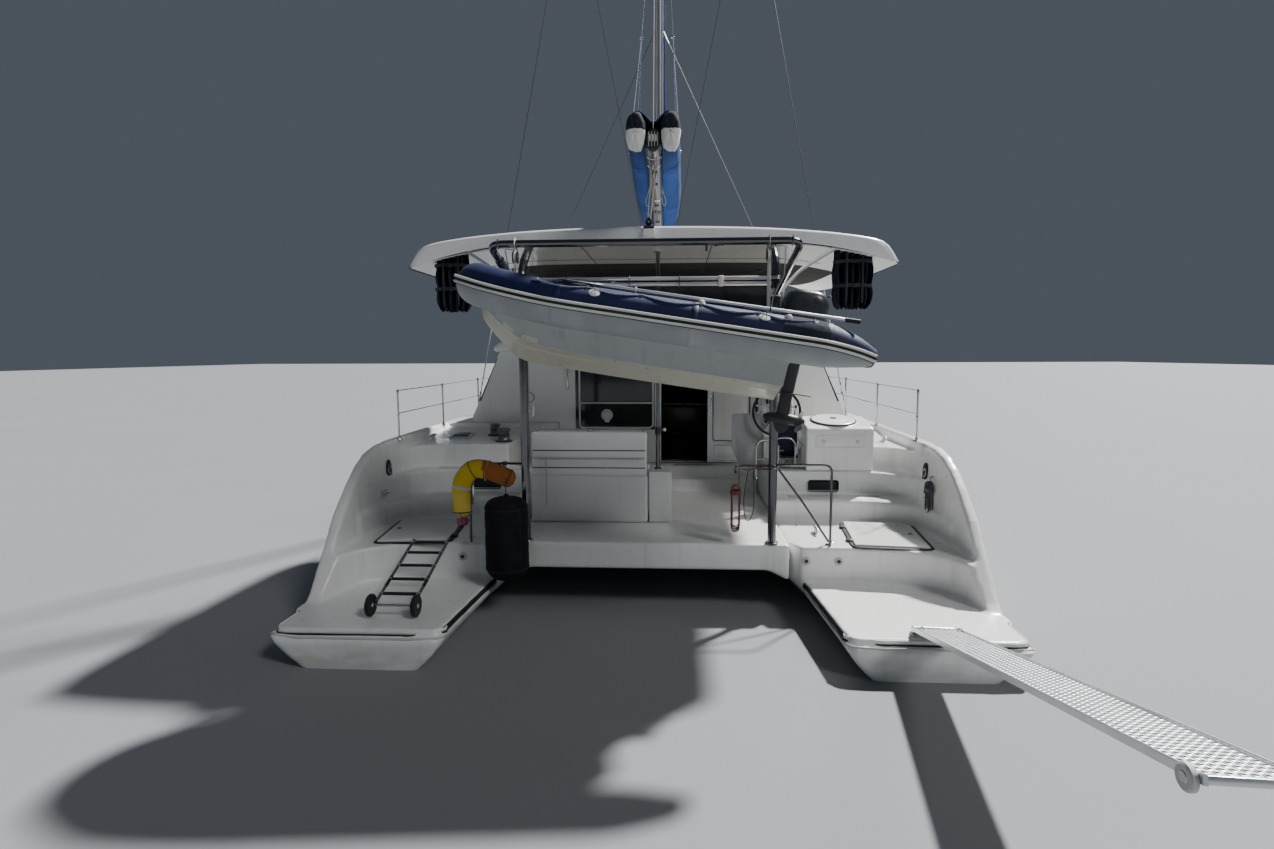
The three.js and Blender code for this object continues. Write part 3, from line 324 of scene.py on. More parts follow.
def glass(name):
    """Tinted glass that nothing is seen through."""
    g = Mat(name, (0.012, 0.015, 0.02), 0.08, Coat_Weight=0.3, Coat_Roughness=0.05, Specular_IOR_Level=0.4)
    g.paint(g.step(g.noise(1.3, 4), 0.4, 0.8), (0.03, 0.036, 0.042))
    g.rough(g.step(g.noise(2.2, 2), 0.35, 0.9), 0.05, 0.11)
    g.bump(g.noise(1.6, 1), 0.03, 0.004)
    return g.material


def rope(name, color, fleck):
    """Laid rope: its strands run round the tube's own coordinates, with painted shade in the grooves between
    them.
    """
    r = Mat(name, color, 0.8, Sheen_Weight=0.2)
    uv = r.node("UVMap").outputs[0]
    twist = r.spread(3.2, 1, 1, uv)
    a = r.node("TexWave", twist, wave_type="BANDS", bands_direction="DIAGONAL")
    a.inputs["Scale"].default_value = 1.0
    r.paint(r.step(r.noise(160, 2), 0.45, 0.6), fleck)
    r.bump(a.outputs["Fac"], 0.5, 0.003)
    # Painted shade in the grooves between the strands.
    r.paint(r.math("MULTIPLY", r.math("SUBTRACT", 1, a.outputs["Fac"]), 0.35), (0.02, 0.02, 0.02))
    return r.material


# Geometry. A shape is (vertices, faces) or (vertices, faces, uvs per face corner).
def link(ob):
    """Puts an object in the scene."""
    SCENE.collection.objects.link(ob)
    return ob


def piece(name, parts, body="boat", stands_for=(), angle=35, ride=True):
    """One object of several shapes. A material may be a function of a face's centre."""
    verts, faces, mats, mat_of, uvs = [], [], [], [], []
    for shape, material in parts:
        base = len(verts)
        verts.extend(shape[0])
        for f in shape[1]:
            one = material
            if callable(material):
                one = material(sum((Vector(shape[0][i]) for i in f), Vector()) / len(f))
            if one not in mats:
                mats.append(one)
            mat_of.append(mats.index(one))
            faces.append([base + i for i in f])
        if len(shape) > 2:
            uvs.extend(shape[2])
        else:
            uvs.extend([[(0, 0)] * len(f) for f in shape[1]])
    me = DATA.meshes.new(name)
    me.from_pydata([tuple(v) for v in verts], [], faces)
    for material in mats:
        me.materials.append(material)
    me.polygons.foreach_set("material_index", mat_of)
    me.polygons.foreach_set("use_smooth", [True] * len(faces))
    layer = me.uv_layers.new(name="UVMap")
    flat = [c for f in uvs for uv in f for c in uv]
    layer.data.foreach_set("uv", flat)
    me.update()
    me.set_sharp_from_angle(angle=math.radians(angle))
    ob = link(DATA.objects.new(name, me))
    if ride:
        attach(ob, body)
    if stands_for:
        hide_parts(*stands_for)
    return ob


class Kit(list):
    """The shapes of one piece, each with its material, all put in place by the same function."""

    def __init__(self, start=(), place=None):
        super().__init__(start)
        self.place = place

    def add(self, shape, material):
        self.append((self.place(shape) if self.place else shape, material))

    def add_all(self, shapes, material):
        for shape in shapes:
            self.add(shape, material)


def spline(points, n=8):
    """A smooth curve through points, n steps from each to the next."""
    p = [Vector(q) for q in points]
    out = []
    for i in range(len(p) - 1):
        a, b, c, d = p[max(i - 1, 0)], p[i], p[i + 1], p[min(i + 2, len(p) - 1)]
        for k in range(n):
            t = k / n
            out.append(0.5 * ((2 * b) + (c - a) * t + (2 * a - 5 * b + 4 * c - d) * t * t
                              + (3 * b - a - 3 * c + d) * t ** 3))
    out.append(p[-1])
    return out


def straight(a, b, steps):
    """A straight path cut into equal steps."""
    return [a.lerp(b, i / steps) for i in range(steps + 1)]


def angles(count):
    """Equal steps round a full turn."""
    return [i / count * math.tau for i in range(count)]


def swell(value, power):
    """A sine or cosine raised to a power with its sign kept: below 1 it squares a circle up."""
    return math.copysign(abs(value) ** power, value)


def area_of(verts, faces):
    """The area of a sheet of four-sided faces."""
    area = 0.0
    for f in faces:
        p = [Vector(verts[i]) for i in f]
        area += ((p[2] - p[0]).cross(p[3] - p[1])).length / 2
    return area


def bent(points, radius, steps=5):
    """A path whose corners are rounded by a radius."""
    p = [Vector(q) for q in points]
    out = [p[0]]
    for i in range(1, len(p) - 1):
        a, b = p[i - 1] - p[i], p[i + 1] - p[i]
        r = min(radius, a.length * 0.45, b.length * 0.45)
        s, e = p[i] + a.normalized() * r, p[i] + b.normalized() * r
        for k in range(steps + 1):
            t = k / steps
            out.append(s * (1 - t) ** 2 + p[i] * 2 * t * (1 - t) + e * t * t)
    out.append(p[-1])
    return out


def frames(p, closed=False):
    """For each point of a path: point, direction, sideways and upward vectors."""
    n = len(p)
    out = []
    side_vec = None
    for i in range(n):
        if closed:
            d = (p[(i + 1) % n] - p[i - 1]).normalized()
        else:
            d = (p[min(i + 1, n - 1)] - p[max(i - 1, 0)]).normalized()
        if side_vec is None:
            up_vec = Vector((0, 0, 1)) if abs(d.z) < 0.9 else Vector((0, 1, 0))
            side_vec = up_vec.cross(d).normalized()
        side_vec = (side_vec - d * side_vec.dot(d)).normalized()
        out.append((p[i], d, side_vec, d.cross(side_vec)))
    return out


def beside(points, turn, distance):
    """A path beside another: turned round it by an angle, at a distance that may follow the point."""
    out = []
    for p, _, across, top in frames([Vector(q) for q in points]):
        r = distance(p) if callable(distance) else distance
        out.append(p + across * (math.cos(turn) * r) + top * (math.sin(turn) * r))
    return out


def tube(points, radius, sides=12, closed=False, squash=None, caps=True, turn=0.0, at_point=False):
    """A skin round a path. The radius may be a function of the share run, or of the point itself."""
    p = [Vector(q) for q in points]
    n = len(p)
    verts, faces, uvs = [], [], []
    length = 0.0
    runs = []
    for i, (_, _, side_vec, top) in enumerate(frames(p, closed)):
        if i:
            length += (p[i] - p[i - 1]).length
        runs.append(length)
        r = radius
        if callable(radius):
            r = radius(p[i]) if at_point else radius(i / max(n - 1, 1))
        w, h = squash if squash else (1, 1)
        for k in range(sides):
            t = (k / sides) * math.tau + turn
            verts.append(p[i] + side_vec * (math.cos(t) * r * w) + top * (math.sin(t) * r * h))
    span = n if closed else n - 1
    r0 = radius
    if callable(radius):
        r0 = radius(p[n // 2]) if at_point else radius(0.5)
    for i in range(span):
        j = (i + 1) % n
        u0 = runs[i] / (r0 * 6.283)
        u1 = (runs[j] if j else runs[i] + (p[0] - p[i]).length) / (r0 * 6.283)
        for k in range(sides):
            q = (k + 1) % sides
            faces.append((i * sides + k, i * sides + q, j * sides + q, j * sides + k))
            uvs.append(((u0, k / sides), (u0, (k + 1) / sides), (u1, (k + 1) / sides), (u1, k / sides)))
    if not closed and caps:
        faces.append(tuple(reversed(range(sides))))
        faces.append(tuple(range((n - 1) * sides, n * sides)))
        uvs.extend([[(0, 0)] * sides] * 2)
    return verts, faces, uvs


def from_bm(bm):
    """The shape held by a bmesh, which is then freed."""
    bm.verts.ensure_lookup_table()
    shape = [v.co.copy() for v in bm.verts], [[v.index for v in f.verts] for f in bm.faces]
    bm.free()
    return shape


def box(x0, x1, y0, y1, z0, z1, bevel=0.01, segments=2):
    """A box between two corners, with its edges bevelled."""
    bm = bmesh.new()
    bmesh.ops.create_cube(bm, size=1)
    for v in bm.verts:
        v.co = Vector(((x0 + x1) / 2 + v.co.x * (x1 - x0), (y0 + y1) / 2 + v.co.y * (y1 - y0),
                       (z0 + z1) / 2 + v.co.z * (z1 - z0)))
    if bevel:
        bmesh.ops.bevel(bm, geom=list(bm.edges), offset=bevel, segments=segments, profile=0.5,
                        affect="EDGES")
    bm.verts.index_update()
    return from_bm(bm)


def outward(verts, faces):
    """Turns the faces of a closed shape to face out."""
    volume = 0.0
    for f in faces:
        for i in range(1, len(f) - 1):
            volume += verts[f[0]].dot(verts[f[i]].cross(verts[f[i + 1]]))
    if volume < 0:
        faces = [tuple(reversed(f)) for f in faces]
    return verts, faces


def loft(rings, caps=True, pairs=False):
    """A skin through rings. With pairs, the end faces join the first half of a ring to its second half."""
    n = len(rings[0])
    verts = [Vector(p) for r in rings for p in r]
    faces = []
    for i in range(len(rings) - 1):
        a, b = i * n, (i + 1) * n
        for k in range(n):
            q = (k + 1) % n
            faces.append((a + k, a + q, b + q, b + k))
    if caps:
        last = (len(rings) - 1) * n
        if pairs:
            for k in range(n // 2 - 1):
                quad = (k, k + 1, n - 2 - k, n - 1 - k)
                faces.append(tuple(reversed(quad)))
                faces.append(tuple(last + q for q in quad))
        else:
            faces.append(tuple(reversed(range(n))))
            faces.append(tuple(range(last, last + n)))
    return outward(verts, faces)


def lathe(profile, centre, axis="z", sides=24):
    """A profile of (radius, height) turned round an axis."""
    rings = []
    for k in range(sides):
        t = k / sides * math.tau
        ring = []
        for r, h in profile:
            a, b = math.cos(t) * r, math.sin(t) * r
            v = {"z": (a, b, h), "y": (b, h, a), "x": (h, a, b)}[axis]
            ring.append(Vector(v) + Vector(centre))
        rings.append(ring)
    n = len(profile)
    verts = [p for r in rings for p in r]
    faces = []
    for k in range(sides):
        a, b = k * n, ((k + 1) % sides) * n
        for i in range(n - 1):
            faces.append((a + i, b + i, b + i + 1, a + i + 1))
    faces.append(tuple(k * n for k in reversed(range(sides))))
    faces.append(tuple(k * n + n - 1 for k in range(sides)))
    place = Vector(centre)
    faces = outward([v - place for v in verts], faces)[1]
    return verts, faces


def moved(shape, matrix):
    """The shape with a matrix applied."""
    return ([matrix @ Vector(v) for v in shape[0]],) + tuple(shape[1:])


def mirror(shape):
    """The shape on the other side of the boat, still facing out."""
    verts = [Vector((-v[0], v[1], v[2])) for v in shape[0]]
    faces = [tuple(reversed(f)) for f in shape[1]]
    if len(shape) > 2:
        return verts, faces, [tuple(reversed(u)) for u in shape[2]]
    return verts, faces


def node_shape(*names):
    """The mesh of some CAD nodes, with its seams welded."""
    bm = bmesh.new()
    for n in names:
        bm.from_mesh(nodes[n].data)
    bmesh.ops.remove_doubles(bm, verts=bm.verts, dist=0.00002)
    bm.verts.index_update()
    return from_bm(bm)


def worked(shape, *modifiers):
    """The shape after modifiers, each given as (type, {settings})."""
    me = DATA.meshes.new("work")
    me.from_pydata([tuple(v) for v in shape[0]], [], shape[1])
    ob = link(DATA.objects.new("work", me))
    for kind, settings in modifiers:
        mod = ob.modifiers.new(kind, kind)
        for key, value in settings.items():
            setattr(mod, key, value)
    deps = bpy.context.evaluated_depsgraph_get()
    out = ob.evaluated_get(deps).to_mesh()
    result = [v.co.copy() for v in out.vertices], [tuple(p.vertices) for p in out.polygons]
    ob.evaluated_get(deps).to_mesh_clear()
    DATA.objects.remove(ob)
    DATA.meshes.remove(me)
    return result


def torus(centre, radius, thick, axis=(0, 0, 1), sides=24, around=8, squash=None):
    """A ring round an axis."""
    a = Vector(axis).normalized()
    u = a.orthogonal().normalized()
    v = a.cross(u)
    ring = [Vector(centre) + u * (math.cos(t) * radius) + v * (math.sin(t) * radius)
            for t in angles(sides)]
    return tube(ring, thick, around, closed=True, squash=squash)


def lay(shape, place, normal=(0, 0, 1), along=(1, 0, 0)):
    """Puts a shape built on the origin at a place, its z along the normal and its x nearest to along."""
    z = Vector(normal).normalized()
    x = (Vector(along) - z * Vector(along).dot(z)).normalized()
    m = Matrix((x, z.cross(x), z)).transposed().to_4x4()
    m.translation = Vector(place)
    return moved(shape, m)


def screws(places, radius=0.006, normal=(0, 0, 1)):
    """Dome heads at places, facing along a normal."""
    head = lathe([(0.0005, 0.45 * radius), (0.5 * radius, 0.42 * radius), (0.85 * radius, 0.25 * radius),
                  (radius, 0), (radius, -0.3 * radius)], (0, 0, 0), "z", 10)
    return [lay(head, p, normal) for p in places]


def cleat(place, length=0.22, along=(1, 0, 0), normal=(0, 0, 1)):
    """Horn cleat: a curved bar on two short legs."""
    h = length * 0.28
    bar = tube(spline([(-length / 2, 0, h * 0.82), (-length * 0.3, 0, h), (0, 0, h * 1.06),
                       (length * 0.3, 0, h), (length / 2, 0, h * 0.82)], 5),
               lambda t: length * (0.035 + 0.045 * math.sin(math.pi * t) ** 0.5), 10)
    legs = [tube([(s * length * 0.13, 0, 0), (s * length * 0.12, 0, h)],
                 lambda t: length * (0.085 - 0.03 * t), 10) for s in (-1, 1)]
    foot = box(-length * 0.26, length * 0.26, -length * 0.09, length * 0.09, -0.002, length * 0.035,
               length * 0.015, 2)
    return [lay(g, place, normal, along) for g in (bar, *legs, foot)]


def sheave_block(place, size=0.07, along=(0, 0, 1), across=(1, 0, 0)):
    """Pulley: two rounded cheeks, a sheave between them, its bolt and a shackle above."""
    cheek = lathe([(0.001, 0.1 * size), (0.62 * size, 0.1 * size), (0.7 * size, 0.04 * size),
                   (0.7 * size, 0), (0.001, 0)], (0, 0, 0), "z", 20)
    cheeks = [moved(cheek, Matrix.Translation((0, 0, 0.22 * size)) @ Matrix.Diagonal((0.8, 1, 1, 1))),
              moved(cheek, Matrix.Translation((0, 0, -0.32 * size)) @ Matrix.Diagonal((0.8, 1, 1, 1)))]
    wheel = lathe([(0.001, 0.17 * size), (0.56 * size, 0.17 * size), (0.46 * size, 0.0),
                   (0.56 * size, -0.17 * size), (0.001, -0.17 * size)], (0, 0, 0), "z", 20)
    bolt = lathe([(0.001, 0.38 * size), (0.14 * size, 0.36 * size), (0.14 * size, -0.36 * size),
                  (0.001, -0.38 * size)], (0, 0, 0), "z", 10)
    bow = tube(spline([(0, 0.6 * size, -0.2 * size), (0, 0.95 * size, -0.18 * size), (0, 1.15 * size, 0),
                       (0, 0.95 * size, 0.18 * size), (0, 0.6 * size, 0.2 * size)], 5), 0.07 * size, 8)
    y = Vector(along).normalized()
    z = (Vector(across) - y * Vector(across).dot(y)).normalized()
    m = Matrix((y.cross(z), y, z)).transposed().to_4x4()
    m.translation = Vector(place)
    parts = [(c, BLACK) for c in cheeks] + [(wheel, PALE_RUBBER), (bolt, STEEL), (bow, STEEL)]
    return [(moved(shape, m), material) for shape, material in parts]


def mould(shape, voxel, passes=6, keep=0.3):
    """Rounds every edge and corner of a solid, as a laminate out of a mould has them."""
    return worked(shape, ("REMESH", {"mode": "VOXEL", "voxel_size": voxel}),
                  ("SMOOTH", {"factor": 0.5, "iterations": passes}),
                  ("DECIMATE", {"ratio": keep}))


def dress(material, *names):
    """Gives CAD nodes that stay visible another finish."""
    for n in names:
        ob = nodes[n]
        for s in ob.material_slots:
            s.link = "OBJECT"
            s.material = material


TREES = {}


def hit(name, origin, direction):
    """Where a ray meets an object, and the normal there."""
    if name not in TREES:
        me = DATA.objects[name].data
        TREES[name] = BVHTree.FromPolygons([v.co for v in me.vertices],
                                           [tuple(p.vertices) for p in me.polygons])
    place, normal, _, _ = TREES[name].ray_cast(Vector(origin), Vector(direction))
    return place, normal


# What everything is made of.
HULL_SKIN = gelcoat("hull_gelcoat", nonskid=True, bottom=True)
DECK_SKIN = gelcoat("deck_gelcoat", nonskid=True, saloon=True)
TRIM_SKIN = gelcoat("trim_gelcoat", (0.82, 0.82, 0.8), grime=0.2, saloon=True)
LINER = gelcoat("hardtop_liner", (0.62, 0.6, 0.54), grime=0.5)
STEEL = steel(color=(0.5, 0.51, 0.53))
WIRE = steel("rigging_wire", (0.2, 0.2, 0.21), 0.25, 0.5)
WORN_STEEL = steel("worn_stainless", (0.5, 0.5, 0.52), 0.2, 0.5)
ALLOY = brushed("anodised_alloy", (0.62, 0.63, 0.65))
GLASS = glass("tinted_glass")
BLUE = cloth("blue_canvas", (0.001, 0.032, 0.15), (0.003, 0.05, 0.2))
# The sail is painted near-black above a height: shade inside the bag's mouth, with a dark cover cloth on the
# sail's top.
LEECH = cloth("sail_leech", (0.8, 0.79, 0.74), (0.7, 0.68, 0.62), 300, 0.4, shade_above=5.165)
DARK_CANVAS = cloth("dark_canvas", (0.012, 0.015, 0.03), (0.025, 0.03, 0.05))
NAVY = rubber("navy_fabric", (0.005, 0.009, 0.05), (0.01, 0.016, 0.075))
GREY_TUBE = rubber("grey_fabric", (0.3, 0.32, 0.325), (0.38, 0.4, 0.4))
PALE_HULL = gelcoat("tender_gelcoat", (0.52, 0.5, 0.41), grime=0.6)
BLACK = plastic("black_plastic", (0.015, 0.016, 0.018))
BLACK_RUBBER = rubber("black_rubber", (0.012, 0.012, 0.014), (0.03, 0.03, 0.032))
CUSHION = cloth("cushion_vinyl", (0.62, 0.62, 0.59), (0.68, 0.68, 0.65), 500, 0.3, 0.55)
YELLOW = cloth("yellow_cover", (0.75, 0.5, 0.02), (0.8, 0.6, 0.1), 400, 0.5)
BRONZE = brushed("cast_bronze", (0.5, 0.33, 0.14), 0.35)
ENGINE = plastic("engine_paint", (0.3, 0.33, 0.34))
WHITE_ROPE = rope("white_rope", (0.62, 0.6, 0.55), (0.45, 0.44, 0.4))
DARK_ROPE = rope("dark_rope", (0.03, 0.035, 0.05), (0.2, 0.2, 0.22))
RED_ROPE = rope("red_rope", (0.16, 0.018, 0.014), (0.26, 0.1, 0.08))
BLUE_ROPE = rope("blue_rope", (0.03, 0.09, 0.3), (0.5, 0.5, 0.52))
POLE = brushed("white_alloy_tube", (0.72, 0.73, 0.74), 0.3, "X")
PALE_RUBBER = rubber("pale_rubber", (0.6, 0.6, 0.57), (0.5, 0.5, 0.46))
GREY_GEL = gelcoat("grey_gelcoat", (0.34, 0.36, 0.36), grime=0.5)
TREAD = rubber("tread_mat", (0.1, 0.105, 0.11), (0.18, 0.18, 0.18), 0.8, 300)
RED_PLASTIC = plastic("red_plastic", (0.42, 0.03, 0.02))
OAR = brushed("oar_alloy", (0.74, 0.75, 0.76), 0.3, "X")
LAMP_RED = plastic("lamp_housing", (0.09, 0.02, 0.015), 0.35)
LENS = plastic("lamp_lens", (0.7, 0.7, 0.66), 0.12, 90)
PIPING = rubber("cushion_piping", (0.3, 0.31, 0.33), (0.4, 0.4, 0.4), 0.5)
NONSKID = gelcoat("nonskid", (0.66, 0.66, 0.63), nonskid=True)
PLATE = brushed("plank_plate", (0.55, 0.56, 0.57), 0.42, "Y")
FENDER_CLOTH = cloth("fender_cover", (0.006, 0.006, 0.007), (0.014, 0.014, 0.016), 500, 0.35)
ORANGE_CLOTH = cloth("orange_cover", (0.42, 0.13, 0.03), (0.5, 0.2, 0.06), 400, 0.5)
MAGENTA = plastic("magenta_plastic", (0.3, 0.03, 0.12))
CABIN_SKIN = banded("cabin_gelcoat", 2.14, 2.85)
# Dark alloy: the winches' own dark finish, and on the ladder's rails painted shade.
DARK_ALLOY_AND_SHADE = brushed("dark_alloy_and_painted_shade", (0.2, 0.205, 0.21), 0.4, "Y")
STRAP = cloth("webbing", (0.03, 0.032, 0.04), (0.07, 0.07, 0.08), 700, 0.1)
BLUE_DARK = cloth("blue_binding", (0.002, 0.03, 0.14), (0.004, 0.05, 0.2), 700, 0.2)
COWL = plastic("outboard_cowl", (0.035, 0.038, 0.042), 0.28, 1200)
# Near-black cloth under the forward hardtop: painted shade, standing in for the deep shadow there.
PAINTED_SHADE_HEADLINER = cloth("headliner_painted_shade", (0.022, 0.019, 0.017), (0.04, 0.034, 0.03), 500, 0.2)
# Near-black stainless for posts, rails, gate arm and pole: a painted reflection of dark surroundings, put
# into the steel's colour.
DARK_REFLECTION_TUBE = steel("post_tube_painted_reflection", (0.13, 0.13, 0.135), 0.08, 0.25)
BOOM_ALLOY = brushed("boom_alloy", (0.2, 0.19, 0.17), 0.36, "Y")
DOOR_PANEL = gelcoat("door_panel", (0.7, 0.7, 0.67), grime=0.2)
HOSE = rubber("dark_hose", (0.03, 0.031, 0.033), (0.08, 0.08, 0.08), 0.5)

# Cords: a red line in a hank on the gate arm, a dark one inside the starboard bulwark, a loop and two ties.
POST_X, POST_Y = 1.4, -4.77
ARM_Y, ARM_Z = -4.775, 1.66
ARM = Vector((0.985, ARM_Y, ARM_Z))


def turns(top, tall, wide, count, thick, across, tail):
    """The route of a line in long turns with round ends, side by side, and its tail."""
    side_dir = Vector(across).normalized()
    out_dir = side_dir.cross(Vector((0, 0, 1)))
    half, run = wide / 2, tall - wide
    bow = math.pi * half
    lap = 2 * (run + bow)
    stops = [0, run / 3, run * 2 / 3] + [run + bow * i / 9 for i in range(9)]
    stops += [run + bow + run * i / 3 for i in range(3)] + [2 * run + bow + bow * i / 9 for i in range(9)]
    path = []
    for s in [lap * k + u for k in range(count + 1) for u in stops]:
        if s > count * lap + tail:
            break
        u = s % lap
        if u < run:
            x, z = half, -half - u
        elif u < run + bow:
            a = (u - run) / half
            x, z = half * math.cos(a), -half - run - half * math.sin(a)
        elif u < 2 * run + bow:
            x, z = -half, -half - run + (u - run - bow)
        else:
            a = (u - 2 * run - bow) / half
            x, z = -half * math.cos(a), -half + half * math.sin(a)
        sway = 0.006 * math.sin(s / lap * 2.3 + 1) * min(1, -z / tall + 0.2)
        z *= 1 + 0.05 * math.sin(s / lap * 1.9)
        path.append(Vector(top) + side_dir * (x + sway) + out_dir * (thick * s / lap) + Vector((0, 0, z)))
    return path


def hank(name, lead, route, radius, material, centre, across, wide, deep):
    """The line, the knot at its end and the tie that holds its turns together."""
    path = [Vector(q) for q in lead] + route
    ob = piece(name, [(tube(path, radius, 8), material)])
    side_dir = Vector(across).normalized()
    out_dir = side_dir.cross(Vector((0, 0, 1)))
    knot = [torus(path[-1] + Vector((0, 0, dz)), radius * 1.1, radius * 0.95, (0.2, 0.1, 1), 14, 6)
            for dz in (-0.008, 0.003, 0.014)]
    rings = Kit()
    for k in range(4):
        ring = [centre + Vector((0, 0, radius * (2 * k + 0.25 * math.sin(a * 2 + k))))
                + side_dir * (wide / 2 + radius) * math.cos(a)
                + out_dir * (deep / 2 + radius) * math.sin(a)
                for a in [i * math.tau / 24 for i in range(24)]]
        rings.add(tube(ring, radius, 8, closed=True), material)
    end = piece(name + "_knot", [(k, material) for k in knot])
    tie = piece(name + "_tie", rings)


# The red line comes along the rail from the post, drops off its end and hangs in turns.
RED_WIDE, RED_TALL, RED_PITCH = 0.084, 0.5, 0.0125
red_top = ARM + Vector((0, 0, -0.2))
red_lead = spline([(1.36, ARM_Y, 1.674), (1.3, ARM_Y, 1.679), (1.2, ARM_Y, 1.679),
                   (1.1, ARM_Y, 1.679), (1.066, ARM_Y, 1.679), (1.037, ARM_Y, 1.668),
                   (1.026, ARM_Y, 1.642), (1.024, ARM_Y, 1.6), (1.025, ARM_Y, 1.54),
                   (ARM.x + RED_WIDE / 2, ARM_Y, red_top.z + 0.01)], 3)
hank("red_hank", red_lead, turns(red_top, RED_TALL, RED_WIDE, 8, RED_PITCH, (1, 0, 0), 0.2), 0.006,
     RED_ROPE, red_top + Vector((0, -4 * RED_PITCH, -0.1)), (1, 0, 0), RED_WIDE + 0.02, 8 * RED_PITCH)
# The dark line hangs on a hook inside the starboard bulwark.
hook_at = hit(nodes["starboard_hull"].name, (2.6, -4.0, 1.42), (1, 0, 0))[0]
SIDE_WIDE, SIDE_TALL, SIDE_PITCH = 0.14, 0.36, 0.0125
side_top = hook_at + Vector((-0.035, -SIDE_WIDE / 2, -0.05))
side_lead = spline([hook_at, hook_at + Vector((-0.014, 0, 0)), hook_at + Vector((-0.028, 0, -0.01)),
                    hook_at + Vector((-0.035, 0, -0.035)), side_top + Vector((0, SIDE_WIDE / 2, -0.03))], 3)
side_turns = turns(side_top, SIDE_TALL, SIDE_WIDE, 5, -SIDE_PITCH, (0, 1, 0), 0.12)
hank("side_hank", side_lead, side_turns, 0.006, DARK_ROPE,
     side_top + Vector((-2.5 * SIDE_PITCH, 0, -0.12)), (0, 1, 0), SIDE_WIDE + 0.02, 5 * SIDE_PITCH)
# A loop of thin line is tied to the post.
loop_path = spline([(1.36, -4.79, 1.648), (1.31, -4.794, 1.645), (1.24, -4.792, 1.655),
                    (1.185, -4.79, 1.61), (1.188, -4.79, 1.4), (1.19, -4.795, 1.2), (1.165, -4.8, 1.09),
                    (1.125, -4.8, 1.045), (1.09, -4.8, 1.11), (1.08, -4.795, 1.3), (1.105, -4.79, 1.5),
                    (1.125, -4.785, 1.6), (1.17, -4.79, 1.64), (1.24, -4.795, 1.638),
                    (1.31, -4.797, 1.63), (1.36, -4.795, 1.63)], 4)
loop_ob = piece("dark_loop", [(tube(loop_path, 0.005, 8), HOSE)])

# Everything on the boom is built with it straight aft, then swung a little to starboard about its pin.
PIN_Y, SWING = 0.44, 0.0135
BOOM_M = (Matrix.Translation((0, PIN_Y, 0)) @ Matrix.Rotation(SWING, 4, "Z")
          @ Matrix.Translation((0, -PIN_Y, 0)))


def boomed(shape):
    """From the straight boom's frame to where the boom is."""
    return moved(shape, BOOM_M)


# Two thin ties hang in a loop from the boom.
for s, word in SIDES:
    tie = spline([BOOM_M @ Vector(q) for q in (
        (s * 0.083, -3.4, 5.03), (s * 0.1, -3.41, 4.95), (s * 0.128, -3.4, 4.86), (s * 0.11, -3.395, 4.8),
        (s * 0.085, -3.39, 4.85), (s * 0.086, -3.38, 4.94), (s * 0.083, -3.37, 5.03))], 4)
    tie_ob = piece(word + "_boom_tie", [(tube(tie, 0.0035, 8), WHITE_ROPE)], "boom_body")

# Mouldings: hulls, bridge deck, cabin, furniture.
hull_shape = mould(node_shape("starboard_hull"), 0.024, 8, 0.22)
piece("starboard_hull_moulding", [(hull_shape, HULL_SKIN)], stands_for=["starboard_hull"],
      angle=70)
piece("port_hull_moulding", [(mirror(hull_shape), HULL_SKIN)], stands_for=["port_hull"],
      angle=70)
MOULDINGS = [
    ("bridge_deck", 0.024, 8, 0.2, DECK_SKIN), ("cabin_wall", 0.02, 5, 0.25, CABIN_SKIN),
    ("coachroof", 0.024, 10, 0.25, DECK_SKIN), ("aft_bulkhead", 0.014, 3, 0.2, TRIM_SKIN),
    ("deck_box", 0.014, 8, 0.3, DECK_SKIN), ("side_box", 0.01, 6, 0.3, TRIM_SKIN),
    ("helm_console", 0.012, 8, 0.3, TRIM_SKIN),
]
for node, voxel, passes, keep, skin in MOULDINGS:
    piece(node + "_moulding", [(mould(node_shape(node), voxel, passes, keep), skin)],
          stands_for=[node], angle=70)

# Hardtop. Columns of both lines: share of the half width, height.
HARDTOP_HALF, EDGE_Z, CROWN_Z = 2.9, 3.965, 4.4
TOP_LINE = [(0, 1), (0.25, 0.98), (0.5, 0.915), (0.7, 0.81), (0.8, 0.73), (0.88, 0.645), (0.935, 0.54),
            (0.965, 0.38), (0.985, 0.16), (1, 0)]
LOW_LINE = [(0, 4.196), (0.4, 4.195), (0.63, 4.175), (0.82, 4.085), (0.93, 4.0), (0.985, 3.955), (1, 3.95)]
TOP_CURVE = spline([(x, z, 0) for x, z in TOP_LINE], 6)
LOW_CURVE = spline([(x, z, 0) for x, z in LOW_LINE], 6)
SHARES = [math.sin(math.pi / 2 * k / 22) for k in range(23)]


def height(curve, x):
    """The second coordinate of a curve where its first is x."""
    for a, b in zip(curve, curve[1:]):
        if b.x >= x - 1e-6:
            return a.y + (b.y - a.y) * (x - a.x) / max(b.x - a.x, 1e-6)
    return curve[-1].y


def hardtop_low(x, lift=0.0):
    """Height of the hardtop's underside at a distance from the middle."""
    return height(LOW_CURVE, min(1.0, abs(x) / HARDTOP_HALF)) + lift


def hardtop_top(x):
    """Height of the hardtop's upper side at a distance from the middle."""
    return EDGE_Z + (CROWN_Z - EDGE_Z) * height(TOP_CURVE, min(1.0, abs(x) / HARDTOP_HALF))


def hardtop_ring(y, width, drop, lift=0.0):
    """A section: its width as a share, its crown lowered by a drop and its underside raised by a lift."""
    shares = [-t for t in reversed(SHARES)] + SHARES[1:]
    wide = HARDTOP_HALF * width
    ring = [(t * wide, y, EDGE_Z + (CROWN_Z - EDGE_Z - drop) * height(TOP_CURVE, abs(t))) for t in shares]
    ring += [(t * wide, y, height(LOW_CURVE, abs(t)) + lift) for t in reversed(shares)]
    return ring


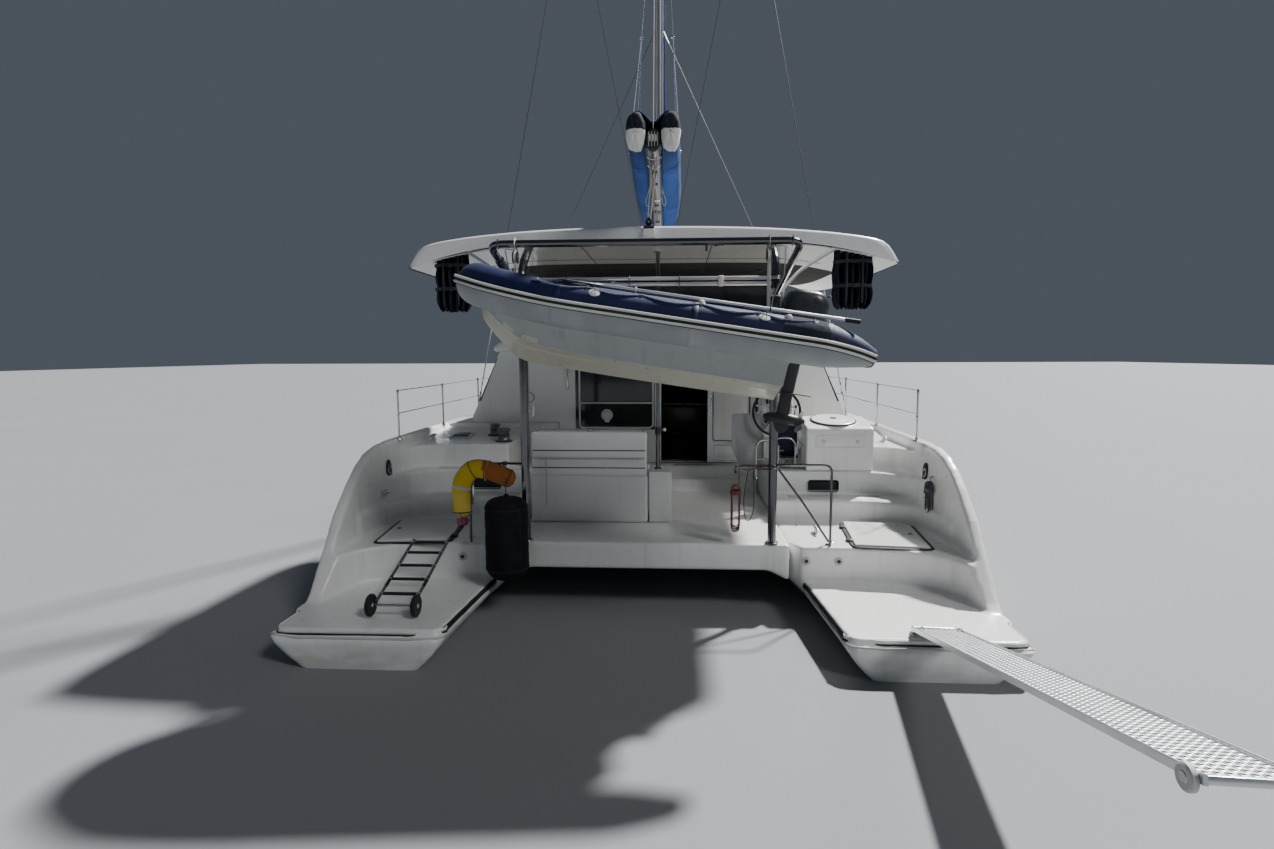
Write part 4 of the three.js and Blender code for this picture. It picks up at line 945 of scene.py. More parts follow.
HARDTOP_RINGS = [(-4.36, 0.95, 0.075, 0.02), (-4.357, 0.957, 0.058, 0.008), (-4.345, 0.967, 0.038, 0),
                 (-4.32, 0.978, 0.02, 0), (-4.23, 0.99, 0, 0), (-4.06, 1, 0, 0), (-3.4, 1, 0, 0),
                 (-2.5, 1, 0, 0), (-1.7, 0.992, 0.01, 0), (-1.1, 0.975, 0.02, 0), (-0.7, 0.93, 0.05, 0),
                 (-0.55, 0.89, 0.09, 0.01), (-0.5, 0.86, 0.12, 0.03)]


def hardtop_share(p):
    """How far out a point is, as a share of the hardtop's half width there."""
    for (y0, w0, _, _), (y1, w1, _, _) in zip(HARDTOP_RINGS, HARDTOP_RINGS[1:]):
        if p.y <= y1:
            return abs(p.x) / HARDTOP_HALF / (w0 + (w1 - w0) * (p.y - y0) / (y1 - y0))
    return 1.0


def hardtop_skin(p):
    """The underside has a pale liner aft; forward it is painted near-black as shade."""
    share = hardtop_share(p)
    below = p.z < hardtop_low(p.x) + 0.03
    if below and p.y > -2.5 and share < 0.88:
        return PAINTED_SHADE_HEADLINER
    return LINER if below and -4.335 < p.y <= -2.5 and share < 0.9 else TRIM_SKIN


piece("hardtop_shell", [(loft([hardtop_ring(*r) for r in HARDTOP_RINGS], pairs=True), hardtop_skin)],
      stands_for=["hardtop"], angle=40)

# Steel and alloy carried over, with better finishes.
# Posts, davit frame and stern rails take the near-black steel, a painted reflection.
dress(DARK_REFLECTION_TUBE, "starboard_aft_post", "port_aft_post", "davit_frame", "starboard_stern_rail", "port_stern_rail")
dress(STEEL, "starboard_roof_strut", "port_roof_strut", "starboard_guard_rail", "port_guard_rail",
      "helm_wheel")
dress(BOOM_ALLOY, "boom")
dress(ALLOY, "mast", "front_beam", "centre_spar", "saloon_door")
dress(POLE, "post_rails")
dress(GLASS, "cabin_glazing", "bulkhead_pane", "windscreen")
dress(DOOR_PANEL, "door_pane")
dress(DARK_CANVAS, "starboard_rolled_curtain", "port_rolled_curtain")
dress(DECK_SKIN, "starboard_engine_hatch", "port_engine_hatch")
dress(BRONZE, "starboard_propeller", "port_propeller")
dress(ENGINE, "starboard_saildrive", "port_saildrive", "starboard_engine", "port_engine")
dress(HULL_SKIN, "starboard_rudder", "port_rudder")

# Tender, in its own frame: x from bow (negative) to stern, z up, then tilted and hung below the davits.
TENDER_X, TENDER_Z, DAVIT_Y = 0.11, 3.23, -5.68
TENDER = Matrix.Translation((TENDER_X, DAVIT_Y - 0.02, TENDER_Z)) @ Matrix.Rotation(0.154, 4, "Y")
TUBE_R = 0.2


def afloat(shape):
    """From the tender's own frame to where it hangs."""
    return moved(shape, TENDER)


def taper(p):
    """The tube's radius as a share, smaller in the end cones."""
    return 1 - 0.6 * max(0.0, (p.x - 1.45) / 0.5) ** 1.6


half_line = [(1.95, -0.6, -0.06), (1.8, -0.6, -0.03), (1.62, -0.6, -0.01), (1.45, -0.6, 0), (-0.9, -0.6, 0),
             (-1.4, -0.52, 0.04), (-1.7, -0.26, 0.09), (-1.76, 0, 0.1)]
tube_line = bent(half_line + [(x, -y, z) for x, y, z in reversed(half_line[:-1])], 0.3, 8)
long_line = []
for a, b in zip(tube_line, tube_line[1:]):
    pieces = max(1, int((b - a).length / 0.12))
    long_line += [a.lerp(b, i / pieces) for i in range(pieces)]
tube_line = long_line + [tube_line[-1]]


def tube_skin(p):
    """Navy above the rub rail, pale grey below it."""
    q = TENDER.inverted() @ p
    near = min(tube_line, key=lambda c: (c - q).length_squared)
    return NAVY if q.z > near.z else GREY_TUBE


piece("tender_tube_skin", [(afloat(tube(tube_line, lambda p: TUBE_R * taper(p), 40, at_point=True)),
                            tube_skin)], "tender", ["tender_tube"], 60)
rail_base = beside(tube_line, 0.0, lambda p: TUBE_R * taper(p) + 0.004)
rail_parts = Kit(place=afloat)
rail_parts.add(tube(rail_base, 0.044, 14, squash=(0.4, 1)), BLACK_RUBBER)
for lift in (-0.024, 0.024):
    bead = [p + Vector((0, 0, lift)) for p in beside(tube_line, 0.0, lambda p: TUBE_R * taper(p) + 0.0185)]
    rail_parts.add(tube(bead, 0.0125, 10), PALE_RUBBER)
piece("tender_rub_rail", rail_parts, "tender")

# Glued seams round the tube, and its end cones.
bands = Kit(place=afloat)
runs = [0.0]
for a, b in zip(tube_line, tube_line[1:]):
    runs.append(runs[-1] + (b - a).length)


def along_tube(s):
    """The point a distance along the tube's middle line."""
    for i in range(len(runs) - 1):
        if runs[i + 1] >= s:
            return tube_line[i].lerp(tube_line[i + 1], (s - runs[i]) / max(runs[i + 1] - runs[i], 1e-6))
    return tube_line[-1]


for share in (0.055, 0.2, 0.35, 0.5, 0.65, 0.8, 0.945):
    s = share * runs[-1]
    short = [along_tube(s + d) for d in (-0.03, -0.028, 0, 0.028, 0.03)]
    size = [0.0, 0.0016, 0.0018, 0.0016, 0.0]
    band = tube(short, lambda t, z=size: TUBE_R * taper(along_tube(s)) + z[round(t * 4)], 40, caps=False)
    bands.add(band, tube_skin)
for y in (-0.6, 0.6):
    bands.add(lathe([(0.001, 0), (0.055, 0.004), (0.075, -0.01), (0.083, -0.05), (0.085, -0.12)],
                    (1.958, y, -0.062), "x", 28), BLACK_RUBBER)
piece("tender_seams", bands, "tender", angle=40)


def on_tube(x, turn, y_side=-1, out=0.0):
    """Point and normal on a straight part of the tube: turn is 0 outermost, 90 on top."""
    t = math.radians(turn)
    n = Vector((0, y_side * math.cos(t), math.sin(t)))
    c = Vector((x, y_side * 0.6, -0.06 * max(0, (x - 1.45) / 0.5)))
    return c + n * (TUBE_R * taper(c) + out), n


# Lifting rings, caps and grab handles.
fittings = Kit(place=afloat)
disc = lathe([(0.001, 0.006), (0.035, 0.006), (0.045, 0.003), (0.052, 0)], (0, 0, 0), "z", 24)
dome = lathe([(0.001, 0.03), (0.014, 0.027), (0.024, 0.018), (0.03, 0.004), (0.036, 0)], (0, 0, 0), "z", 24)
for x, turn, side_of in ((-0.53, 46, -1), (0.95, 50, -1), (1.3, 20, 1), (-0.53, 46, 1), (0.95, 50, 1)):
    place, normal = on_tube(x, turn, side_of)
    fittings.add(lay(disc, place - normal * 0.001, normal), PALE_RUBBER)
    fittings.add(torus(place + normal * 0.014, 0.03, 0.005, (1, 0.3, 0.2)), STEEL)
for x, turn, side_of in ((0.4, 78, -1), (1.16, 64, -1), (0.4, 78, 1), (-1.1, 60, 1), (-0.2, 118, -1)):
    place, normal = on_tube(x, turn, side_of)
    fittings.add(lay(dome, place - normal * 0.002, normal), PALE_RUBBER)
    fittings.add(lay(torus((0, 0, 0.014), 0.021, 0.003), place, normal), BLACK_RUBBER)
for x, side_of in ((-0.72, -1), (0.66, -1), (-0.72, 1), (0.66, 1)):
    place, normal = on_tube(x, 96, side_of)
    grip = spline([(-0.13, 0, 0), (-0.1, 0, 0.022), (0, 0, 0.038), (0.1, 0, 0.022), (0.13, 0, 0)], 6)
    fittings.add(lay(tube(grip, 0.013, 8, squash=(1, 0.6)), place - normal * 0.003, normal), BLACK_RUBBER)
    for s in (-0.13, 0.13):
        pad = lay(disc, place + Vector((s, 0, 0)) - normal * 0.001, normal)
        fittings.add(pad, NAVY)
piece("tender_fittings", fittings, "tender")

# Lifeline in swags round both sides.
lifeline = Kit(place=afloat)
for side_of, turn in ((-1, 62), (1, 62)):
    knots = [-1.05, -0.6, -0.12, 0.4, 0.9, 1.38]
    route = []
    for a, b in zip(knots, knots[1:]):
        for i in range(8):
            t = i / 8
            drop = 13 * math.sin(math.pi * t)
            route.append(on_tube(a + (b - a) * t, turn - drop, side_of, 0.006)[0])
    route.append(on_tube(knots[-1], turn, side_of, 0.006)[0])
    lifeline.add(tube(route, 0.006, 8), BLUE_ROPE)
    for x in knots:
        place, normal = on_tube(x, turn, side_of)
        patch = moved(disc, Matrix.Diagonal((0.9, 0.55, 0.8, 1)))
        lifeline.add(lay(patch, place - normal * 0.001, normal), NAVY)
        lifeline.add(lay(torus((0, 0, 0.008), 0.011, 0.003, (0, 1, 0), 14, 6), place, normal), STEEL)
piece("tender_lifeline", lifeline, "tender")

# Moulded bottom. Columns: x, half width of the floor, floor z, half width and z of the chine, keel z.
BOTTOM = [(1.25, 0.56, -0.09, 0.44, -0.42, -0.57), (0.5, 0.56, -0.09, 0.44, -0.418, -0.575),
          (-0.3, 0.56, -0.09, 0.44, -0.415, -0.578), (-0.9, 0.54, -0.09, 0.4, -0.39, -0.57),
          (-1.25, 0.45, -0.07, 0.3, -0.34, -0.545), (-1.48, 0.3, -0.02, 0.19, -0.22, -0.39),
          (-1.64, 0.18, 0.02, 0.11, -0.1, -0.24), (-1.7, 0.09, 0.04, 0.06, -0.04, -0.13)]
rows = [spline([(r[0], r[k], 0) for r in BOTTOM], 6) for k in range(1, 6)]
bottom_rings = []
for i in range(len(rows[0])):
    x = rows[0][i].x
    w, top, c, chine, keel = (rows[k][i].y for k in range(5))
    flat = c - 0.035
    half = [(w, top), (w - 0.012, top - 0.06), (c + 0.02, chine + 0.05), (c + 0.012, chine + 0.004),
            (flat, chine), (c * 0.66, chine + (keel - chine) * 0.27),
            (c * 0.64, chine + (keel - chine) * 0.31 - 0.008), (c * 0.6, chine + (keel - chine) * 0.33),
            (0.05, keel + 0.012), (0.03, keel - 0.004)]
    bottom_rings.append([(x, y, z) for y, z in half] + [(x, -y, z) for y, z in reversed(half)])


def bottom_skin(p):
    """Grey inside and above the chine, pale below it."""
    q = TENDER.inverted() @ p
    for a, b in zip(BOTTOM, BOTTOM[1:]):
        if b[0] <= q.x <= a[0]:
            t = (a[0] - q.x) / (a[0] - b[0])
            return GREY_GEL if q.z > a[4] + (b[4] - a[4]) * t + 0.02 else PALE_HULL
    return GREY_GEL if q.z > -0.4 else PALE_HULL


hull_parts = Kit(place=afloat)
hull_parts.add(loft(bottom_rings, pairs=True), bottom_skin)
hull_parts.add(box(1.19, 1.25, -0.4, 0.4, -0.12, 0.06, 0.02, 3), GREY_GEL)
piece("tender_bottom", hull_parts, "tender", ["tender_hull"], 28)
floor_parts = Kit(place=afloat)
floor_parts.add(box(-0.9, 1.17, -0.4, 0.4, -0.092, -0.082, 0.004), TREAD)
floor_parts.add(box(0.32, 0.56, -0.43, 0.43, 0.03, 0.06, 0.012, 3), GREY_GEL)
floor_parts.add(box(0.34, 0.54, -0.3, 0.3, 0.058, 0.085, 0.02, 4), NAVY)
for y in (-0.3, 0.3):
    floor_parts.add(box(0.4, 0.48, y - 0.02, y + 0.02, -0.088, 0.04, 0.006), GREY_GEL)
floor_parts.add(box(-1.3, -0.86, -0.26, 0.26, -0.09, 0.07, 0.04, 4), GREY_GEL)
floor_parts.add(box(-1.27, -0.89, -0.22, 0.22, 0.068, 0.082, 0.008, 2), TREAD)
for y in (-0.22, 0.22):
    floor_parts.add(box(1.2, 1.262, y - 0.012, y + 0.012, -0.24, -0.16, 0.004), STEEL)
floor_parts.add(box(0.72, 1.06, 0.02, 0.33, -0.085, 0.1, 0.035, 4), RED_PLASTIC)
floor_parts.add(lathe([(0.001, 0.03), (0.03, 0.03), (0.036, 0.02), (0.036, 0)], (0.86, 0.18, 0.1), "z",
                      20), BLACK)
piece("tender_inside", floor_parts, "tender")

# Oars lying on the tubes, each in its crutch.
oar_parts = Kit(place=afloat)
for y, x0, x1 in ((-0.6, -0.86, 1.78), (0.6, -0.9, 1.5)):
    z0, z1 = 0.222, 0.238
    shaft = [(x0 + 0.32, y, z0), (x1, y, z1)]
    oar_parts.add(tube(shaft, 0.0175, 14), OAR)
    blade = []
    for t, w, h in ((0, 0.016, 0.014), (0.12, 0.026, 0.013), (0.3, 0.07, 0.008), (0.6, 0.078, 0.006),
                    (0.9, 0.07, 0.005), (1, 0.05, 0.003)):
        x = x0 + 0.4 - 0.42 * t
        blade.append([(x, y + math.cos(a) * w, z0 + math.sin(a) * h) for a in angles(16)])
    oar_parts.add(loft(blade), OAR)
    oar_parts.add(tube([(x1 - 0.13, y, z1), (x1 + 0.004, y, z1 + 0.001)], 0.0205, 14), BLACK_RUBBER)
    crutch = on_tube(-0.19, 90, -1 if y < 0 else 1)[0]
    oar_parts.add(torus((crutch.x, y, z0 + 0.002), 0.0245, 0.0062, (1, 0, 0)), PALE_RUBBER)
    oar_parts.add(tube([(crutch.x, y, crutch.z - 0.004), (crutch.x, y, z0 - 0.02)], 0.011, 10), STEEL)
    oar_parts.add(torus((1.0, y, z0 + 0.012), 0.0225, 0.005, (1, 0, 0)), BLACK_RUBBER)
piece("tender_oars", oar_parts, "tender")

# A thin dark sheet over the after part of the near tube.
mat_rings = []
for i in range(9):
    x = 1.12 + i * 0.075
    line = []
    for k in range(15):
        n = on_tube(x, 8 + 110 * k / 14, -1, 0.004 + 0.001 * math.sin(k * 2 + i))
        line.append(n[0])
    mat_rings.append(line)
mat = [p for r in mat_rings for p in r]
faces = [(i * 15 + k, i * 15 + k + 1, i * 15 + k + 16, i * 15 + k + 15) for i in range(8)
         for k in range(14)]
mat_ob = piece("tender_dark_sheet",
               [(afloat(worked((mat, faces), ("SOLIDIFY", {"thickness": 0.004, "offset": 1.0}))),
                 DARK_CANVAS)], "tender")


# Outboard, in the tender's frame.
def cowl_ring(z, x0, x1, half, n=32):
    """A rounded box in plan, one section of the motor."""
    return [((x0 + x1) / 2 + swell(math.cos(a), 0.62) * (x1 - x0) / 2, swell(math.sin(a), 0.7) * half, z)
            for a in angles(n)]


def rounded_stack(table):
    """A body through rows of height, fore and after end, and half width."""
    curves = [spline([(row[k], row[0], 0) for row in table], 5) for k in (1, 2, 3)]
    return loft([cowl_ring(curves[0][i].y, curves[0][i].x, curves[1][i].x, curves[2][i].x)
                 for i in range(len(curves[0]))])


motor = Kit(place=afloat)
motor.add(rounded_stack([(0.24, 1.18, 1.62, 0.155), (0.262, 1.175, 1.625, 0.16),
                         (0.32, 1.175, 1.624, 0.16), (0.4, 1.182, 1.616, 0.156),
                         (0.46, 1.21, 1.585, 0.138), (0.495, 1.25, 1.54, 0.105), (0.507, 1.3, 1.49, 0.06),
                         (0.51, 1.36, 1.43, 0.02)]), COWL)
motor.add(rounded_stack([(0.112, 1.25, 1.49, 0.09), (0.13, 1.235, 1.51, 0.11), (0.17, 1.2, 1.58, 0.143),
                         (0.2, 1.185, 1.605, 0.152), (0.228, 1.18, 1.612, 0.154)]), BLACK)
motor.add(rounded_stack([(0.226, 1.186, 1.612, 0.152), (0.234, 1.184, 1.614, 0.153),
                         (0.242, 1.186, 1.612, 0.152)]), BLACK_RUBBER)
for side_of in (-1, 1):
    stripe = [(1.2 + 0.045 * i, side_of * (0.1615 - 0.0004 * (i - 4) ** 2), 0.276 + 0.002 * i)
              for i in range(9)]
    motor.add(tube(stripe, 0.006, 8, squash=(0.35, 1)), STEEL)
motor.add(tube(spline([(1.56, -0.04, 0.45), (1.6, -0.04, 0.475), (1.62, 0, 0.48), (1.6, 0.04, 0.475),
                       (1.56, 0.04, 0.45)], 6), 0.01, 8), BLACK)
for k in range(5):
    vent = box(1.236 + 0.0045 * k, 1.246 + 0.0045 * k, -0.05, 0.05, 0.4 + 0.018 * k, 0.408 + 0.018 * k,
               0.002, 1)
    motor.add(vent, BLACK_RUBBER)
leg = []
for z, x0, x1, h in ((0.13, 1.285, 1.485, 0.088), (0.0, 1.29, 1.47, 0.07), (-0.12, 1.296, 1.45, 0.056),
                     (-0.3, 1.3, 1.44, 0.047), (-0.45, 1.302, 1.432, 0.04), (-0.56, 1.306, 1.424, 0.036),
                     (-0.7, 1.3, 1.43, 0.03)):
    leg.append(cowl_ring(z, x0, x1, h, 24))
motor.add(loft(leg), BLACK)
plate = cowl_ring(-0.482, 1.27, 1.6, 0.095, 28)
motor.add(loft([plate, [(x, y, -0.49) for x, y, z in plate]]), BLACK)
motor.add(lathe([(0.004, 1.178), (0.02, 1.185), (0.038, 1.21), (0.05, 1.26), (0.058, 1.32), (0.056, 1.42),
                 (0.05, 1.5), (0.044, 1.52)], (0, 0, -0.74), "x", 24), BLACK)
motor.add(lathe([(0.044, 1.52), (0.044, 1.535), (0.036, 1.56), (0.02, 1.582), (0.004, 1.59)],
                (0, 0, -0.74), "x", 24), BLACK)
for k in range(3):
    blade_rings = []
    for r, chord, pitch in ((0.036, 0.03, 0.9), (0.06, 0.05, 0.75), (0.085, 0.058, 0.6), (0.105, 0.046, 0.5),
                            (0.116, 0.02, 0.45)):
        ring = []
        for t in angles(12):
            u, v = math.cos(t) * chord, math.sin(t) * 0.0035
            ring.append(Vector((1.535 + u * math.sin(pitch) + v * math.cos(pitch),
                                u * math.cos(pitch) - v * math.sin(pitch), r)))
        blade_rings.append(ring)
    turn = Matrix.Translation((0, 0, -0.74)) @ Matrix.Rotation(k * math.tau / 3 + 0.4, 4, "X")
    motor.add(moved(loft(blade_rings), turn), ALLOY)
FIN = [(-0.88, 0.03, 0.004), (-0.84, 0.06, 0.006), (-0.76, 0.1, 0.009), (-0.7, 0.12, 0.012)]
fin = [[(1.37 - w, -h, z), (1.37 + w * 0.4, -h * 1.4, z), (1.37 + w, -h * 0.4, z), (1.37 + w, h * 0.4, z),
        (1.37 + w * 0.4, h * 1.4, z), (1.37 - w, h, z)] for z, w, h in FIN]
motor.add(loft(fin), BLACK)
for y in (-0.085, 0.085):
    clamp = [(1.262, y, 0.02), (1.262, y, -0.22), (1.3, y, -0.26), (1.33, y, -0.2), (1.33, y, -0.02),
             (1.3, y, 0.055)]
    front, back = [[(a, y + d, c) for a, _, c in clamp] for d in (-0.011, 0.011)]
    motor.add(loft([front, back]), WORN_STEEL)
    hook = [(1.172, y, -0.14), (1.165, y, 0.04), (1.19, y, 0.078), (1.24, y, 0.082), (1.275, y, 0.06)]
    motor.add(tube(spline(hook, 4), 0.016, 8, squash=(1, 0.6)), WORN_STEEL)
    motor.add(lathe([(0.001, 1.135), (0.014, 1.135), (0.014, 1.19), (0.008, 1.2), (0.008, 1.215)],
                    (0, y, -0.08), "x", 14), WORN_STEEL)
    motor.add(tube([(1.142, y, -0.115), (1.142, y, -0.045)], 0.006, 8), WORN_STEEL)
motor.add(tube([(1.3, -0.1, 0.02), (1.3, 0.1, 0.02)], 0.018, 14), WORN_STEEL)
motor.add(tube(spline([(1.2, 0.06, 0.15), (1.08, 0.06, 0.17), (0.95, 0.06, 0.2), (0.83, 0.06, 0.215)], 5),
               lambda t: 0.02 if t < 0.7 else 0.024, 14), BLACK)
motor.add(tube([(0.92, 0.06, 0.204), (0.8, 0.06, 0.219)], 0.0265, 14), BLACK_RUBBER)
piece("outboard_motor", motor, "tender", ["outboard"], 40)

# Tackles: an upper block strapped to the davit bar, a lower one above the tender's lifting strop.
for name, x in (("port", -1.25), ("starboard", 1.2)):
    low_z = TENDER_Z - 0.082 - (x - TENDER_X) * 0.1553
    low_block = low_z + 0.3
    strap = torus((x, DAVIT_Y, 3.99), 0.043, 0.007, (1, 0, 0), 24, 8, squash=(0.5, 2.2))
    piece(name + "_davit_block", sheave_block((x, DAVIT_Y, 3.86), 0.085) + [(strap, WHITE_ROPE)], "boat")
    block = Kit(sheave_block((x, DAVIT_Y, low_block), 0.08, (0, 0, -1)))
    for d in (-0.14, 0.14):
        block.add(torus((x + d, DAVIT_Y, low_z + 0.012), 0.016, 0.005, (0, 1, 0)), STEEL)
    for d in (-0.14, 0.14):
        block.add(tube([(x, DAVIT_Y, low_block - 0.08), (x + d, DAVIT_Y, low_z)], 0.005, 8), WHITE_ROPE)
    piece(name + "_tender_block", block, "tender")
    parts = Kit()
    for dx, dy in ((-0.008, -0.033), (-0.008, 0.033), (0.008, -0.028), (0.008, 0.028)):
        line = [(x + dx, DAVIT_Y + dy, 3.855 + (low_block + 0.005 - 3.855) * i / 12) for i in range(13)]
        parts.add(tube(line, 0.0055, 8, caps=True), WHITE_ROPE)
    rope_ob = piece(name + "_tackle_rope", parts, ride=False)
    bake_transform(rope_ob)
    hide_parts(name + "_fall")

# Hardtop: liner seams, gutter and edge trim.
top_parts = Kit()
for x in (-0.82, 0.738):
    z = hardtop_low(x)
    top_parts.add(box(x - 0.005, x + 0.005, -4.3, -1.05, z - 0.004, z + 0.01, 0.001, 1), BLACK_RUBBER)
for y in (-2.95, -1.75):
    line = [(0.08 * i - 2.24, y, hardtop_low(0.08 * i - 2.24) - 0.001) for i in range(57)]
    top_parts.add(tube(line, 0.004, 6), BLACK_RUBBER)
gutter = [(x, -4.3, hardtop_low(x) - 0.004) for x in [-2.55 + 0.1 * i for i in range(52)]]
top_parts.add(tube(gutter, 0.011, 10, squash=(0.7, 1)), BLACK_RUBBER)
top_parts.add(tube([(p[0], -4.27, p[2] - 0.006) for p in gutter], 0.016, 10, squash=(0.5, 0.9)), ALLOY)
edge = [(x, -4.352, hardtop_low(x, 0.01) + 0.004) for x in [-2.66 + 0.095 * i for i in range(57)]]
top_parts.add(tube(edge, 0.009, 10), TRIM_SKIN)
for s in (-1, 1):
    outer = [(s * (HARDTOP_HALF * w - 0.004), y, 3.952 + up)
             for y, w, up in ((-4.33, 0.97, 0.01), (-4.23, 0.99, 0), (-4.06, 1, 0), (-3.2, 1, 0),
                              (-2.5, 1, 0), (-1.7, 0.992, 0), (-1.1, 0.975, 0), (-0.7, 0.93, 0))]
    top_parts.add(tube(spline(outer, 6), 0.013, 10), BLACK_RUBBER)
piece("hardtop_trim", top_parts)

# Lamps under the hardtop.
lamps = Kit()
x, y = 0.818, -4.2
z = hardtop_low(x)
lamps.add(lathe([(0.001, -0.034), (0.05, -0.032), (0.062, -0.022), (0.066, 0.004), (0.001, 0.004)],
                (x, y, z), "z", 28), LAMP_RED)
lamps.add(lathe([(0.001, -0.038), (0.03, -0.037), (0.042, -0.031), (0.001, -0.028)], (x, y, z), "z", 24),
          LENS)
for x in (-1.6, 0.0, 1.6):
    z = hardtop_low(x)
    lamps.add(lathe([(0.001, -0.02), (0.04, -0.019), (0.05, -0.012), (0.052, 0.004), (0.001, 0.004)],
                    (x, -1.6, z), "z", 24), BLACK)
piece("hardtop_lamps", lamps)

# Gate arm on the starboard post.
arm = Kit()
arm.add(tube(bent([(POST_X, ARM_Y, ARM_Z), ARM, ARM - Vector((0, 0, 0.05))], 0.03), 0.0105, 12), DARK_REFLECTION_TUBE)
arm.add(lathe([(0.001, -0.03), (0.014, -0.022), (0.018, -0.008), (0.014, 0.006), (0.001, 0.008)],
              ARM - Vector((0, 0, 0.05)), "z", 16), BLACK)
for x in (ARM.x + 0.14, ARM.x + 0.19, ARM.x):
    arm.add(torus((x, ARM_Y, ARM_Z), 0.0165, 0.0045, (1, 0, 0), 16, 7), HOSE)
arm.add(torus((POST_X, POST_Y, ARM_Z), 0.052, 0.012, (0, 0, 1), 28, 8, squash=(0.6, 2)), DARK_REFLECTION_TUBE)
piece("gate_arm", arm)

# Braces from the posts to the hardtop, with collars, and clamps along the crossbar.
braces = Kit()
for s in (-1, 1):
    braces.add(tube(bent([(s * 1.452, -4.77, 3.6), (s * 1.66, -4.66, 3.82),
                          (s * 2.14, -4.31, hardtop_low(2.14) - 0.012)], 0.08), 0.02, 14,
                    squash=(0.55, 1)), ALLOY)
    braces.add(torus((s * POST_X, POST_Y, 3.6), 0.052, 0.014, (0, 0, 1), 28, 10, squash=(0.5, 1.6)), ALLOY)
    foot = lathe([(0.001, 0.006), (0.04, 0.006), (0.048, 0), (0.001, 0)], (0, 0, 0), "z", 20)
    braces.add(lay(foot, (s * 2.14, -4.3, hardtop_low(2.14) - 0.002), (0, 0, -1)), ALLOY)
    braces.add(torus((s * POST_X, POST_Y, 3.74), 0.05, 0.01, (0, 0, 1), 28, 8, squash=(0.6, 1.8)), STEEL)
    braces.add(torus((s * POST_X, POST_Y, 0.79), 0.062, 0.02, (0, 0, 1), 28, 8, squash=(0.7, 0.6)), STEEL)
    braces.add_all(screws([(s * POST_X + 0.062 * math.cos(a), POST_Y + 0.062 * math.sin(a), 0.8)
                           for a in (0.8, 2.4, 3.9, 5.5)], 0.007), STEEL)
    collar = lathe([(0.05, 0), (0.058, 0.004), (0.058, 0.05), (0.05, 0.054)], (s * POST_X, POST_Y, 3.22),
                   "z", 28)
    braces.add(collar, WORN_STEEL)
clamp_x = 0.8
braces.add(box(clamp_x - 0.03, clamp_x + 0.03, -4.806, -4.734, 3.652, 3.768, 0.014, 3), TRIM_SKIN)
for x in (-0.9, -0.2, 0.35):
    braces.add(torus((x, -4.77, 3.74), 0.025, 0.007, (1, 0, 0), 20, 8, squash=(0.7, 2)), BLACK)
    braces.add(torus((x, -4.77, 3.68), 0.025, 0.007, (1, 0, 0), 20, 8, squash=(0.7, 2)), BLACK)
piece("hardtop_braces", braces)

# Stainless pole from the side box up to the hardtop.
POLE_X, POLE_Y, POLE_FOOT, POLE_HEAD = 0.084, -3.65, 1.438, hardtop_low(0.084) + 0.004
pole = Kit()
pole.add(tube([(POLE_X, POLE_Y, POLE_FOOT), (POLE_X, POLE_Y, POLE_HEAD)], 0.026, 20), DARK_REFLECTION_TUBE)
for z, up in ((POLE_FOOT, 1), (POLE_HEAD - 0.004, -1)):
    flange = lathe([(0.001, 0.012), (0.042, 0.012), (0.055, 0.004), (0.056, -0.004)], (0, 0, 0), "z", 28)
    pole.add(lay(flange, (POLE_X, POLE_Y, z), (0, 0, up)), STEEL)
    pole.add_all(screws([(POLE_X + 0.046 * math.cos(a), POLE_Y + 0.046 * math.sin(a), z + up * 0.01)
                         for a in (0.8, 2.4, 3.9, 5.5)], 0.005, (0, 0, up)), STEEL)
pole.add(lathe([(0.027, -0.05), (0.038, -0.045), (0.038, 0.045), (0.027, 0.05)], (POLE_X, POLE_Y, 1.93),
               "z", 24), BLACK)
pole.add(tube([(POLE_X + 0.03, POLE_Y, 1.93), (POLE_X + 0.075, POLE_Y - 0.01, 1.945)], 0.007, 10), STEEL)
pole.add(lathe([(0.001, -0.024), (0.018, -0.018), (0.024, 0), (0.018, 0.018), (0.001, 0.024)],
               (POLE_X + 0.085, POLE_Y - 0.01, 1.948), "z", 20), PALE_RUBBER)
piece("cockpit_pole", pole)

# Grab rails and two hatches on the hardtop.
rails = Kit()
for x in (-1.55, 1.55):
    for y0, y1 in ((-3.7, -2.7), (-2.3, -1.3)):
        z = hardtop_top(x)
        path = bent([(x, y0, z - 0.01), (x, y0 + 0.02, z + 0.07), (x, y1 - 0.02, z + 0.07),
                     (x, y1, z - 0.01)], 0.05, 6)
        rails.add(tube(path, 0.0125, 12), STEEL)
        for y in (y0, y1):
            rails.add(lathe([(0.001, 0.01), (0.022, 0.01), (0.03, 0.002), (0.03, -0.004)], (x, y, z), "z",
                            16), STEEL)
        rails.add(tube([(x, (y0 + y1) / 2, z - 0.01), (x, (y0 + y1) / 2, z + 0.07)], 0.011, 10), STEEL)
for x in (-0.85, 0.85):
    z = hardtop_top(x)
    rails.add(mould(box(x - 0.32, x + 0.32, -2.7, -1.95, z - 0.02, z + 0.03, 0.02, 3), 0.012, 3, 0.3),
              TRIM_SKIN)
    rails.add(box(x - 0.27, x + 0.27, -2.65, -2.0, z + 0.026, z + 0.038, 0.006, 2), GLASS)
piece("hardtop_rails", rails)

